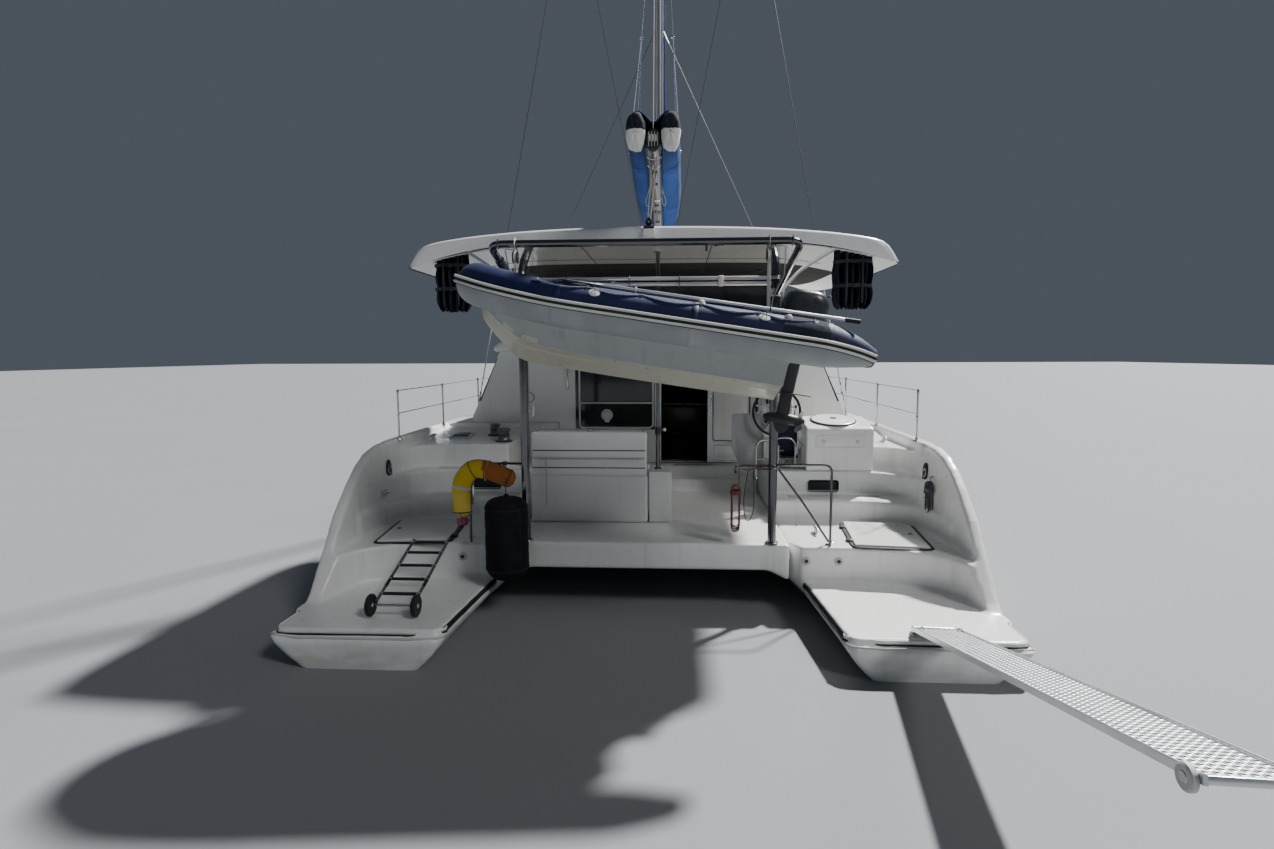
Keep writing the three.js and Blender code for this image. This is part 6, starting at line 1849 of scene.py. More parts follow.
front.add(frame_round(-1.262, -0.058, 1.708, 2.89, -1.268, 0.05, 0.03), TRIM_SKIN)
front.add(frame_round(-1.238, -0.082, 1.732, 2.868, -1.262, 0.014, 0.02), BLACK_RUBBER)
front.add(frame_round(1.14, 1.66, 1.94, 2.885, -1.268, 0.045, 0.03), TRIM_SKIN)
front.add(tube([(-1.245, -1.29, 2.116), (-0.075, -1.29, 2.116)], 0.014, 12), PALE_RUBBER)
for x in (-1.24, -0.66, -0.08):
    front.add(tube([(x, -1.262, 2.116), (x, -1.29, 2.116)], 0.012, 10), PALE_RUBBER)
for x in (0.048, 0.862):
    front.add(box(x - 0.03, x + 0.03, -1.29, -1.255, 1.14, 2.9, 0.01, 2), TRIM_SKIN)
front.add(box(0.02, 1.64, -1.345, -1.255, 2.895, 2.945, 0.01, 2), ALLOY)
front.add(box(0.02, 1.64, -1.345, -1.255, 1.122, 1.14, 0.004, 1), ALLOY)
for y in (-1.325, -1.29):
    front.add(box(0.02, 1.64, y - 0.004, y + 0.004, 1.136, 1.15, 0.001, 1), BLACK)
front.add(box(0.1, 0.8, -1.24, -1.1, 1.15, 1.156, 0.002, 1), TREAD)
lamp = lathe([(0.001, -0.05), (0.05, -0.045), (0.075, -0.02), (0.08, 0.002), (0.001, 0.002)],
             (-0.81, -1.33, 1.92), "y", 28)
front.add(lamp, LENS)
front.add(torus((-0.81, -1.3, 1.92), 0.084, 0.012, (0, 1, 0), 32, 10), TRIM_SKIN)
front.add(box(-0.85, -0.77, -1.3, -1.262, 1.8, 1.86, 0.01, 2), TRIM_SKIN)
for x in (-2.1, 2.15):
    front.add(lathe([(0.001, -0.05), (0.06, -0.048), (0.075, -0.03), (0.08, 0.0), (0.001, 0.0)],
                    (x, -1.262, 2.2), "y", 26), LENS)
    front.add(torus((x, -1.27, 2.2), 0.082, 0.01, (0, 1, 0), 30, 10), STEEL)
for x in (-1.45, 1.8):
    z = 2.35
    front.add(tube(bent([(x, -1.26, z), (x, -1.31, z), (x, -1.31, z + 0.32), (x, -1.26, z + 0.32)], 0.03),
                   0.0125, 12), STEEL)
STEPS = [(0.2, 1.0, -1.62, -1.262, 0.955), (0.24, 0.96, -1.44, -1.262, 1.118)]
for x0, x1, y0, y1, z1 in STEPS:
    front.add(mould(box(x0, x1, y0, y1, 0.7806, z1, 0.015, 2), 0.012, 4, 0.4), TRIM_SKIN)
    front.add(box(x0 + 0.05, x1 - 0.05, y0 + 0.04, y0 + 0.17, z1 - 0.004, z1 + 0.003, 0.001, 1), TREAD)
piece("saloon_front_trim", front)
# Gasket, handle and panel of the sliding door.
leaf = Kit()
leaf.add(frame_round(0.918, 1.508, 1.508, 2.812, -1.324, 0.02, 0.012, 0.05), BLACK_RUBBER)
leaf.add(tube(bent([(0.885, -1.323, 1.95), (0.885, -1.362, 1.95), (0.885, -1.362, 2.2),
                    (0.885, -1.323, 2.2)], 0.025), 0.009, 10), STEEL)
leaf.add(box(0.868, 0.902, -1.326, -1.32, 1.9, 2.25, 0.003, 1), STEEL)
leaf.add(box(0.93, 1.49, -1.3235, -1.3195, 1.2, 1.44, 0.02, 2), TRIM_SKIN)
leaf.add_all(screws([(x, -1.3225, z) for x in (0.86, 1.56) for z in (1.2, 1.7, 2.3, 2.8)], 0.006,
                    (0, -1, 0)), STEEL)
piece("saloon_door_fittings", leaf, "sliding_door")

# Helm: instruments, throttle, side panel, and the wheel's rim and hub.
helm = Kit()
helm.add(mould(box(1.6, 2.01, -2.3, -2.08, 2.16, 2.3, 0.03, 2), 0.01, 4, 0.4), TRIM_SKIN)
for x, w in ((1.7, 0.07), (1.9, 0.07)):
    helm.add(box(x - w, x + w, -2.316, -2.296, 2.175, 2.285, 0.012, 2), BLACK)
    helm.add(box(x - w + 0.012, x + w - 0.012, -2.319, -2.31, 2.19, 2.272, 0.004, 1), GLASS)
for x in (1.64, 1.72, 1.81, 1.9, 1.98):
    helm.add(lathe([(0.001, -0.014), (0.026, -0.013), (0.032, -0.004), (0.032, 0.006), (0.001, 0.006)],
                   (x, -2.263, 1.92), "y", 24), BLACK)
    helm.add(torus((x, -2.272, 1.92), 0.03, 0.004, (0, 1, 0), 24, 8), STEEL)
helm.add(lathe([(0.001, 0.1), (0.035, 0.092), (0.06, 0.065), (0.07, 0.03), (0.074, 0.0), (0.001, 0)],
               (1.8, -2.1, 2.33), "z", 28), GLASS)
helm.add(torus((1.8, -2.1, 2.335), 0.075, 0.01, (0, 0, 1), 30, 8), BLACK)
helm.add(mould(box(2.02, 2.1, -2.36, -2.2, 1.9, 2.0, 0.02, 2), 0.008, 3, 0.5), BLACK)
for k, y in enumerate((-2.31, -2.25)):
    helm.add(tube([(2.06, y, 1.99), (2.06, y - 0.05, 2.13)], lambda t: 0.009 - 0.002 * t, 10), STEEL)
    helm.add(lathe([(0.001, -0.02), (0.016, -0.015), (0.02, 0), (0.016, 0.016), (0.001, 0.02)],
                   (2.06, y - 0.054, 2.14), "z", 16), BLACK)
helm.add(box(1.62, 1.99, -2.268, -2.258, 1.32, 1.78, 0.02, 3), DECK_SKIN)
for z in (1.4, 1.44, 1.48, 1.52):
    helm.add(box(1.7, 1.91, -2.274, -2.264, z - 0.006, z + 0.006, 0.002, 1), BLACK)
side = bent([(1.38, 2.03, 0), (1.6, 2.03, 0), (1.6, 1.18, 0), (1.3, 1.18, 0), (1.15, 1.5, 0),
             (1.15, 2.03, 0), (1.38, 2.03, 0)], 0.06, 5)[:-1]
middle = Vector((1.4, 1.65, 0))
helm.add(loft([[(middle.x + (p.x - middle.x) * k, y, middle.y + (p.y - middle.y) * k) for p in side]
               for y, k in ((-2.205, 0.985), (-2.21, 1), (-2.24, 1), (-2.246, 0.985))]), GREY_GEL)
piece("helm_instruments", helm, angle=50)
HUB, WHEEL_R = (1.79, -2.33, 2.06), 0.34
wheel = Kit()
wheel.add(torus(HUB, WHEEL_R, 0.0185, (0, 1, 0), 56, 12), BLACK_RUBBER)
wheel.add(lathe([(0.001, -0.062), (0.03, -0.058), (0.052, -0.04), (0.055, 0.0), (0.001, 0.0)], HUB, "y",
                28), STEEL)
for a in angles(24):
    c = (HUB[0] + WHEEL_R * math.cos(a), HUB[1], HUB[2] + WHEEL_R * math.sin(a))
    wheel.add(torus(c, 0.0195, 0.0022, (-math.sin(a), 0, math.cos(a)), 14, 6), STRAP)
piece("helm_wheel_grip", wheel, "wheel")

# Helm seat on its pedestal.
seat = Kit()
seat.add(lathe([(0.001, 1.2), (0.15, 1.202), (0.155, 1.212), (0.06, 1.224), (0.038, 1.26), (0.034, 1.44),
                (0.06, 1.47), (0.001, 1.475)], (1.83, -2.78, 0), "z", 28), WORN_STEEL)
seat.add(mould(box(1.66, 2.02, -2.86, -2.54, 1.462, 1.492, 0.01, 2), 0.008, 3, 0.5), BLACK)
for x in (1.68, 2.0):
    seat.add(tube(bent([(x, -2.6, 1.475), (x, -2.85, 1.475), (x, -2.89, 1.7), (x, -2.9, 1.95)], 0.06),
                  0.014, 12), STEEL)
seat.add(tube([(1.68, -2.9, 1.95), (2.0, -2.9, 1.95)], 0.014, 12), STEEL)
seat.add(tube(bent([(1.7, -2.55, 1.47), (1.7, -2.47, 1.36), (1.96, -2.47, 1.36), (1.96, -2.55, 1.47)],
                   0.05), 0.013, 12), STEEL)
piece("helm_seat_frame", seat, stands_for=["helm_seat"])
padding("helm_seat_pad", box(1.665, 2.015, -2.835, -2.535, 1.5, 1.55, 0.02, 3), DARK_CANVAS,
        cap=0.012)
padding("helm_back_pad", box(1.665, 2.03, -2.872, -2.822, 1.56, 1.98, 0.02, 3), DARK_CANVAS,
        cap=0.012)
# Hoops abaft the helm seat, and the slanting handrail by the steps.
hoops = Kit()
for y, x0, x1, z1 in ((-3.02, 1.42, 1.72, 1.74), (-2.96, 1.66, 1.96, 1.76)):
    hoops.add(tube(bent([(x0, y, 1.2), (x0, y, z1), (x1, y, z1), (x1, y, 1.2)], 0.13, 8), 0.0135, 12),
              STEEL)
    hoops.add(tube([(x0, y, 1.47), (x1, y, 1.47)], 0.011, 10), STEEL)
    for x in (x0, x1):
        hoops.add(lathe([(0.001, 0.012), (0.026, 0.012), (0.034, 0.0), (0.001, 0)],
                        (x, y, 1.645 if x > 1.6 else 1.2), "z", 20), STEEL)
hoops.add(tube([(1.47, -4.745, 1.62), (1.75, -4.74, 1.24), (2.04, -4.735, 0.8)], 0.0125, 12), DARK_REFLECTION_TUBE)
hoops.add(lathe([(0.001, 0.012), (0.03, 0.012), (0.036, 0.0), (0.001, 0)], (2.04, -4.735, 0.761), "z",
                20), STEEL)
piece("helm_hoops", hoops)

# Transom decks: hatch frames, hinges, vent, drains, fillers, cleats, tread panels and the lids' own parts.
for s, word in reversed(SIDES):
    turn = Matrix.Translation((s * 2.78, -4.32, 0)) @ Matrix.Rotation(-0.105 * s, 4, "Z")

    def ringed(half_x, half_y, z, corner):
        """A rectangle with round corners about the middle of the hatch."""
        p = [(0, -half_y, z), (half_x, -half_y, z), (half_x, half_y, z), (-half_x, half_y, z),
             (-half_x, -half_y, z), (-0.004, -half_y, z)]
        return [turn @ q for q in bent(p, corner, 7)]

    deck = Kit()
    deck.add(tube(ringed(0.428, 0.548, 0.7625, 0.09), 0.027, 10, squash=(1, 0.42)), BLACK_RUBBER)
    for y in (-0.3, 0.3):
        b = moved(box(-0.47, -0.4, y - 0.055, y + 0.055, 0.758, 0.79, 0.006, 2), turn if s > 0
                  else turn @ Matrix.Rotation(math.pi, 4, "Z"))
        deck.add(b, BLACK)
    x0, x1 = sorted((s * 2.107, s * 2.512))
    deck.add(box(x0, x1, -3.158, -3.146, 1.055, 1.21, 0.03, 3), BLACK)
    path = bent([((x0 + x1) / 2, -3.158, 1.05), (x1 + 0.006, -3.158, 1.05), (x1 + 0.006, -3.158, 1.216),
                 (x0 - 0.006, -3.158, 1.216), (x0 - 0.006, -3.158, 1.05),
                 ((x0 + x1) / 2 - 0.004, -3.158, 1.05)], 0.045, 6)
    deck.add(tube(path, 0.009, 10), TRIM_SKIN)
    for k in range(5):
        deck.add(box(x0 + 0.03, x1 - 0.03, -3.164, -3.152, 1.078 + k * 0.026, 1.088 + k * 0.026, 0.003,
                     1), BLACK_RUBBER)
    for x in (1.78, 2.14):
        deck.add(lathe([(0.001, -0.006), (0.028, -0.006), (0.038, 0.0), (0.05, 0.004), (0.001, 0.006)],
                       (s * x, -4.838, 0.6), "y", 26), PALE_RUBBER)
        deck.add(lathe([(0.001, -0.002), (0.022, -0.002), (0.001, 0.0)], (s * x, -4.845, 0.6), "y", 20),
                 BLACK)
    deck.add(lathe([(0.001, 0.006), (0.035, 0.006), (0.042, 0.0), (0.001, 0)], (s * 2.1, -4.6, 0.7605),
                   "z", 26), STEEL)
    deck.add(lathe([(0.001, 0.006), (0.03, 0.006), (0.036, 0.0), (0.001, 0)], (s * 1.85, -3.85, 0.7605),
                   "z", 26), STEEL)
    deck.add_all(cleat((s * 2.0, -4.25, 0.76), 0.24, (0, 1, 0)), ALLOY)
    for k, (y, z) in enumerate(((-3.375, 1.031), (-3.025, 1.331))):
        deck.add(box(*sorted((s * 1.8, s * 3.0)), y - 0.12, y + 0.09, z - 0.004, z + 0.0022, 0.002, 1),
                 NONSKID)
    piece(word + "_transom_fittings", deck, angle=50)
    lid_parts = Kit()
    lid_parts.add(tube(ringed(0.355, 0.475, 0.7945, 0.07), 0.007, 8, squash=(1.4, 0.35)), TRIM_SKIN)
    pad = [turn @ Vector((swell(math.cos(a), 0.25) * 0.34, swell(math.sin(a), 0.25) * 0.46, 0.7932))
           for a in angles(64)]
    lid_parts.add(loft([pad, [p + Vector((0, 0, 0.0026)) for p in pad]]), NONSKID)
    ring = lay(torus((0, 0, 0.006), 0.022, 0.0045), turn @ Vector((s * 0.3, 0, 0.795)), (0, 0, 1))
    plate = lay(lathe([(0.001, 0.004), (0.034, 0.004), (0.04, 0), (0.001, 0)], (0, 0, 0), "z", 24),
                turn @ Vector((s * 0.3, 0, 0.794)), (0, 0, 1))
    lid_parts += [(ring, STEEL), (plate, STEEL)]
    piece(word + "_hatch_fittings", lid_parts, word + "_lid")

# Deck box: round lid with a dark gasket and a knob, locker door and two rings.
tilt = Matrix.Translation((2.5, -2.79, 1.99)) @ Matrix.Rotation(0.16, 4, "X")
top_box = Kit()
top_box.add(moved(torus((0, 0, 0), 0.3, 0.014, (0, 0, 1), 48, 10), tilt), BLACK_RUBBER)
top_box.add(moved(lathe([(0.001, 0.03), (0.12, 0.028), (0.2, 0.02), (0.26, 0.008), (0.285, -0.004),
                         (0.001, -0.01)], (0, 0, 0), "z", 48), tilt), DECK_SKIN)
top_box.add(moved(lathe([(0.03, 0.036), (0.045, 0.036), (0.05, 0.026), (0.001, 0.024)], (0, 0, 0), "z",
                        28), tilt), BLACK)
top_box.add(box(2.2, 2.85, -3.156, -3.148, 1.66, 1.82, 0.01, 2), TRIM_SKIN)
for x in (2.3, 2.75):
    top_box.add(torus((x, -3.158, 1.74), 0.018, 0.004, (0, 1, 0), 18, 8), STEEL)
piece("deck_box_lid", top_box, angle=50)


def winch(place, size):
    """A winch with a line's turns on its drum."""
    x, y, z = place
    body = lathe([(0.086 * size, -0.004), (0.086 * size, 0.012 * size), (0.066 * size, 0.022 * size),
                  (0.052 * size, 0.05 * size), (0.05 * size, 0.085 * size), (0.058 * size, 0.115 * size),
                  (0.07 * size, 0.122 * size), (0.07 * size, 0.136 * size), (0.06 * size, 0.144 * size),
                  (0.022 * size, 0.148 * size), (0.018 * size, 0.142 * size), (0.001, 0.142 * size)],
                 place, "z", 36)
    parts = Kit()
    parts.add(body, DARK_ALLOY_AND_SHADE)
    parts.add(lathe([(0.088 * size, -0.006), (0.094 * size, -0.002), (0.094 * size, 0.008),
                     (0.087 * size, 0.013)], place, "z", 36), BLACK)
    for a in angles(12):
        rib = [(x + math.cos(a) * 0.0535 * size, y + math.sin(a) * 0.0535 * size, z + h * size)
               for h in (0.045, 0.06, 0.095)]
        parts.add(tube(rib, 0.0025 * size, 5), STEEL)
    line = [(x + math.cos(i / 14 * math.tau) * 0.0585 * size,
              y + math.sin(i / 14 * math.tau) * 0.0585 * size, z + (0.05 + 0.00082 * i) * size)
             for i in range(50)]
    parts.add(tube(line, 0.0058 * size, 7), DARK_ROPE)
    for k in range(3):
        a = k / 3 * math.tau + 0.4
        parts.add(box(x + math.cos(a) * 0.03 - 0.008, x + math.cos(a) * 0.03 + 0.008,
                      y + math.sin(a) * 0.03 - 0.008, y + math.sin(a) * 0.03 + 0.008, z + 0.143 * size,
                      z + 0.151 * size, 0.003, 1), BLACK)
    return parts


# Winches on both coamings.
for s, word in SIDES:
    parts = []
    for x, y, size in ((2.21, -2.55, 1.35), (2.5, -1.95, 1.2)):
        top = [hit(n, (s * x, y, 3.0), (0, 0, -1))[0]
               for n in (word + "_hull_moulding", "bridge_deck_moulding")]
        z = max(p.z for p in top if p)
        parts += winch((s * x, y, z), size)
    piece(word + "_winches", parts)

# Gangplank: plate whose holes are raised rings round dark discs of painted shade, between two rims, drum
# hinge and end wheels.
PLANK = (Matrix.Translation((2.664, -6.251, 0.4004)) @ Matrix.Rotation(-0.057, 4, "Z")
         @ Matrix.Rotation(-0.25, 4, "X"))


def planked(shape):
    """From the gangplank's own frame, hinged at its origin, to where it is."""
    return moved(shape, PLANK)


plank = Kit(place=planked)
plank.add(box(-0.184, 0.184, -3.795, -0.045, 0.008, 0.026, 0.004, 2), PLATE)
rim_lip = lathe([(0.0155, -0.001), (0.0145, 0.002), (0.0115, 0.0042), (0.0095, 0.0042), (0.0085, 0.001)],
                (0, 0, 0), "z", 12)
rim_lip = rim_lip[0], [f for f in rim_lip[1] if len(f) == 4]
# Dark discs on the plate, painted as the shade seen through its holes.
dark = [Vector((math.cos(a) * 0.0092, math.sin(a) * 0.0092, 0.0008))
        for a in angles(10)], [tuple(range(10))]
lips, hole_shades = [], []
for j in range(80):
    for i in range(8):
        x, y = -0.154 + 0.044 * i, -3.74 + 0.046 * j
        stretch = Matrix.Translation((x, y, 0.026)) @ Matrix.Diagonal((1.2, 1.42, 1, 1))
        lips.append((planked(moved(rim_lip, stretch)), PLATE))
        hole_shades.append((planked(moved(dark, stretch)), BLACK_RUBBER))
plank += lips + hole_shades
for s in (-1, 1):
    x = s * 0.19
    rail = [(x - 0.009, 0, -0.002), (x + 0.009, 0, -0.002), (x + 0.009, 0, 0.036), (x + 0.005, 0, 0.04),
            (x - 0.005, 0, 0.04), (x - 0.009, 0, 0.036)]
    plank.add(loft([[(a, y, c) for a, _, c in rail] for y in (-3.8, -0.02)]), OAR)
    for k in range(14):
        plank.add(screws([(x + s * 0.009, -3.6 + 0.26 * k, 0.018)], 0.005, (s, 0, 0))[0], STEEL)
    plank.add(lathe([(0.012, -0.014), (0.046, -0.016), (0.055, -0.01), (0.056, 0.0), (0.055, 0.01),
                     (0.046, 0.016), (0.012, 0.014)], (s * 0.211, -3.73, 0.005), "x", 32), PALE_RUBBER)
    plank.add(lathe([(0.001, -0.017), (0.02, -0.017), (0.028, -0.012), (0.028, 0.012), (0.02, 0.017),
                     (0.001, 0.017)], (s * 0.211, -3.73, 0.005), "x", 24), WORN_STEEL)
    plank.add(torus((s * 0.16, -0.22, 0.04), 0.018, 0.005, (0, 1, 0.2), 18, 8), STEEL)
for k in range(9):
    y = -3.6 + 0.44 * k
    plank.add(box(-0.182, 0.182, y - 0.015, y + 0.015, -0.001, 0.01, 0.003, 1), OAR)
plank.add(box(-0.184, 0.184, -3.8, -3.775, 0.0, 0.036, 0.006, 2), OAR)
plank.add(box(-0.184, 0.184, -0.075, -0.045, 0.0, 0.036, 0.006, 2), OAR)
plank.add(lathe([(0.001, -0.19), (0.03, -0.188), (0.038, -0.175), (0.038, 0.175), (0.03, 0.188),
                 (0.001, 0.19)], (0, 0, 0), "x", 32), OAR)
plank.add(box(-0.17, 0.17, -0.06, -0.005, 0.006, 0.026, 0.006, 2), OAR)
piece("gangplank_board", plank, "plank", ["gangplank"], 30)
foot = Kit()
for x in (2.5, 2.83):
    foot.add(box(x - 0.035, x + 0.035, -6.3, -6.2, 0.3606, 0.372, 0.004, 2), STEEL)
    foot.add_all(screws([(x - 0.02, -6.285, 0.372), (x + 0.02, -6.285, 0.372), (x - 0.02, -6.215, 0.372),
                         (x + 0.02, -6.215, 0.372)], 0.006), STEEL)
piece("gangplank_socket", foot)

# Boarding ladder with treads and two wheels. Its rails draw together a little towards the boat.
ladder = Kit()


def rung(t, a, b):
    """The point a share up a ladder rail that goes from one x to another."""
    return Vector((a + (b - a) * t, -6.05 + 1.2 * t, 0.47 + 0.317 * t))


for a, b in ((-2.65, -2.7), (-2.26, -2.3)):
    p, q = rung(0, a, b), rung(1, a, b)
    d = (q - p).normalized()
    # The rails are painted dark: painted shade on their alloy.
    ladder.add(tube([p, q], 0.0155, 16), DARK_ALLOY_AND_SHADE)
    ladder.add(tube([q - d * 0.03, q + d * 0.004], 0.018, 14), BLACK_RUBBER)
    ladder.add(tube([p - d * 0.004, p + d * 0.05], 0.019, 14), BLACK_RUBBER)
    ladder.add(tube([p + d * 0.32, p + d * 0.5], 0.0175, 14), BLACK_RUBBER)
for t in (0.16, 0.37, 0.58, 0.79, 0.97):
    p, q = rung(t, -2.65, -2.7), rung(t, -2.26, -2.3)
    ladder.add(tube([p, q], 0.014, 14, squash=(1.25, 0.8)), ALLOY)
    ladder.add(tube([p.lerp(q, 0.06), p.lerp(q, 0.94)], 0.019, 14, squash=(1.5, 0.7)), BLACK_RUBBER)
    for k in range(13):
        c = p.lerp(q, 0.1 + 0.066 * k)
        ladder.add(torus(c, 0.0165, 0.0022, (1, 0, 0), 14, 5), BLACK_RUBBER)
    for e in (p, q):
        ladder.add(torus(e, 0.017, 0.004, (0.05, 0.96, 0.26), 16, 7), ALLOY)
AXLE_Y, AXLE_Z = -6.05, 0.4702
for x in (-2.682, -2.228):
    ladder.add(lathe([(0.06, -0.02), (0.1, -0.022), (0.109, -0.012), (0.11, 0.0), (0.109, 0.012),
                      (0.1, 0.022), (0.06, 0.02)], (x, AXLE_Y, AXLE_Z), "x", 40), BLACK_RUBBER)
    ladder.add(lathe([(0.001, -0.026), (0.02, -0.026), (0.026, -0.012), (0.055, -0.008), (0.064, -0.016),
                      (0.066, 0.016), (0.055, 0.008), (0.026, 0.012), (0.02, 0.026), (0.001, 0.026)],
                     (x, AXLE_Y, AXLE_Z), "x", 40), ALLOY)
    for a in angles(5):
        ladder.add(lathe([(0.001, 0.012), (0.009, 0.011), (0.011, 0.008), (0.001, 0.0)],
                         (x + 0.002, AXLE_Y + 0.04 * math.cos(a), AXLE_Z + 0.04 * math.sin(a)), "x", 12),
                   BLACK)
ladder.add(tube([(-2.7, AXLE_Y, AXLE_Z), (-2.21, AXLE_Y, AXLE_Z)], 0.011, 12), STEEL)
piece("ladder_detailed", ladder, stands_for=["boarding_ladder"])

# Fender in its cover, hung from the rail on a line.
FENDER_X, FENDER_Y = -1.556, -5.07
body = [(0.001, 0.425), (0.06, 0.426), (0.13, 0.44), (0.195, 0.48), (0.229, 0.54), (0.237, 0.62),
        (0.2365, 0.9), (0.237, 1.18), (0.229, 1.26), (0.195, 1.315), (0.12, 1.345), (0.055, 1.352),
        (0.001, 1.353)]
skin = lathe([(p.x, p.y) for p in spline([(r, z, 0) for r, z in body], 4)], (FENDER_X, FENDER_Y, 0), "z",
             64)


def creased(v):
    """Shallow creases wander over the cover, but not over the middle of its ends."""
    off = Vector((v[0] - FENDER_X, v[1] - FENDER_Y, 0))
    if off.length <= 0.15:
        return Vector(v)
    return Vector(v) + off.normalized() * (0.0025 * math.sin(v[2] * 55 + 4 * math.atan2(off.y, off.x)))


fender = Kit()
fender.add(([creased(v) for v in skin[0]], skin[1]), FENDER_CLOTH)
for z in (0.56, 1.24):
    fender.add(torus((FENDER_X, FENDER_Y, z), 0.2335, 0.007, (0, 0, 1), 64, 8), DARK_CANVAS)
fender.add(tube([(FENDER_X + 0.2385 * math.cos(-0.7), FENDER_Y + 0.2385 * math.sin(-0.7),
                  0.58 + 0.065 * k) for k in range(11)], 0.007, 8), DARK_CANVAS)
for z in (0.43, 1.35):
    fender.add(torus((FENDER_X, FENDER_Y, z), 0.04, 0.014, (0, 0, 1), 28, 10), BLACK_RUBBER)
fender.add(torus((FENDER_X, FENDER_Y, 1.362), 0.022, 0.008, (0, 1, 0), 20, 8), BLACK_RUBBER)
line = spline([(-1.556, -5.065, 1.372), (-1.58, -4.99, 1.42), (-1.61, -4.86, 1.58),
               (-1.625, -4.8, 1.692)], 6)
fender.add(tube(line, 0.007, 8), DARK_ROPE)
for k in range(4):
    fender.add(torus((-1.615 - 0.013 * k, -4.78, 1.68), 0.0195, 0.0065, (1, 0, 0.1 * (k % 2)), 18, 8),
               DARK_ROPE)
piece("fender_in_cover", fender, stands_for=["fender"])

# Horseshoe buoy in its cover, strapped to the rail.
SHOE = bent([(-2.115, -4.8544, 1.065), (-2.13, -4.8544, 1.46), (-1.99, -4.8544, 1.64),
             (-1.78, -4.8544, 1.61), (-1.51, -4.8544, 1.49)], 0.17, 7)
fine = []
for a, b in zip(SHOE, SHOE[1:]):
    k = max(1, int((b - a).length / 0.03))
    fine += [a.lerp(b, i / k) for i in range(k)]
SHOE = fine + [SHOE[-1]]
count = len(SHOE) - 1


def plump(t):
    """Radius along the cover, less at its round ends."""
    end = min(t, 1 - t) * count * 0.03
    return 0.1 * min(1.0, (0.35 + 0.65 * min(1.0, end / 0.06) ** 0.5)) * (1 + 0.012 * math.sin(t * 40))


def shoe_skin(p):
    """Yellow, with the last third orange."""
    near = min(range(len(SHOE)), key=lambda i: (SHOE[i] - p).length_squared)
    return ORANGE_CLOTH if near > 0.66 * count else YELLOW


shoe_shape = tube(SHOE, plump, 32, squash=(1.05, 0.6))
shoe = piece("horseshoe_cover", [(shoe_shape, shoe_skin)],
             stands_for=["horseshoe_buoy"], angle=60)
straps = Kit()
places = frames(SHOE)
for share in (0.06, 0.3, 0.52, 0.72, 0.95):
    p, d, side_vec, top = places[round(share * count)]
    ring = [p + side_vec * (math.cos(a) * 0.1075) + top * (math.sin(a) * 0.0622) for a in angles(40)]
    if share in (0.3, 0.72):
        straps.add(tube(ring, 0.024, 6, closed=True, squash=(0.06, 1)), PALE_RUBBER)
    else:
        straps.add(tube(ring, 0.008, 6, closed=True, squash=(0.4, 1)), BLUE_DARK)
for turn in (0.0, math.pi):
    seam = [p + s_vec * (math.cos(turn) * plump(i / count) * 1.055)
            for i, (p, d, s_vec, top) in enumerate(places)]
    straps.add(tube(seam, 0.004, 7), BLUE_DARK)
straps.add(box(-2.1, -2.0, -4.79, -4.776, 1.2, 1.5, 0.006, 2), STEEL)
straps.add(box(-1.8, -1.74, -4.79, -4.776, 1.47, 1.62, 0.006, 2), STEEL)
straps.add(tube(bent([(-2.12, -4.8, 1.0), (-2.12, -4.93, 0.99), (-2.12, -4.935, 1.12)], 0.03), 0.009, 10),
           STEEL)
straps.add(mould(box(-2.17, -2.07, -4.925, -4.795, 0.99, 1.06, 0.01, 2), 0.007, 3, 0.5), MAGENTA)
piece("horseshoe_straps", straps)

# Hull details, mirrored to port: rub rails, platform edges, portlights, outlets, hatches, cleats, stanchions.
HULL = "starboard_hull_moulding"
both = Kit()
outer = [hit(HULL, (6, y / 10, 1.66), (-1, 0, 0))[0] for y in range(-28, 66, 2)]
outer = [p for p in outer if p]
both.add(tube(spline([p + Vector((0.004, 0, 0)) for p in outer], 2), 0.026, 12, squash=(0.6, 1)), GREY_TUBE)
both.add(tube(spline([p + Vector((0.016, 0, 0)) for p in outer], 2), 0.008, 8), STEEL)
inner = []
for k in range(14):
    y = -4.86 - k * 0.118
    p = hit(HULL, (0.6, y, 0.325), (1, 0, 0))[0]
    if p:
        inner.append(p + Vector((-0.002, 0, 0)))
both.add(tube(spline(inner, 3), 0.03, 12, squash=(0.6, 1)), BLACK_RUBBER)
# Strips round the platform's edge: a white lip, below it a thin black strip painted as the shade under the
# lip, and a pale rubber strip.
for level, thick, grow, material in ((0.336, 0.017, 0.006, TRIM_SKIN), (0.312, 0.009, 0.004, BLACK_RUBBER),
                                     (0.29, 0.014, 0.007, PALE_RUBBER)):
    rim = []
    for origin, direction in ([((0.6, -4.9 - 0.1 * k, level), (1, 0, 0)) for k in range(16)]
                              + [((2.15 + 0.1 * k, -8, level), (0, 1, 0)) for k in range(12)]
                              + [((6, -6.38 + 0.1 * k, level), (-1, 0, 0)) for k in range(15)]):
        p = hit(HULL, origin, direction)[0]
        if p and 1.5 < p.x < 3.75 and p.y < -4.85:
            p = p - Vector(direction) * grow
            if not rim or (p - rim[-1]).length > 0.04:
                rim.append(p)
    both.add(tube(spline(rim, 3), thick, 10, squash=(0.6, 1)), material)
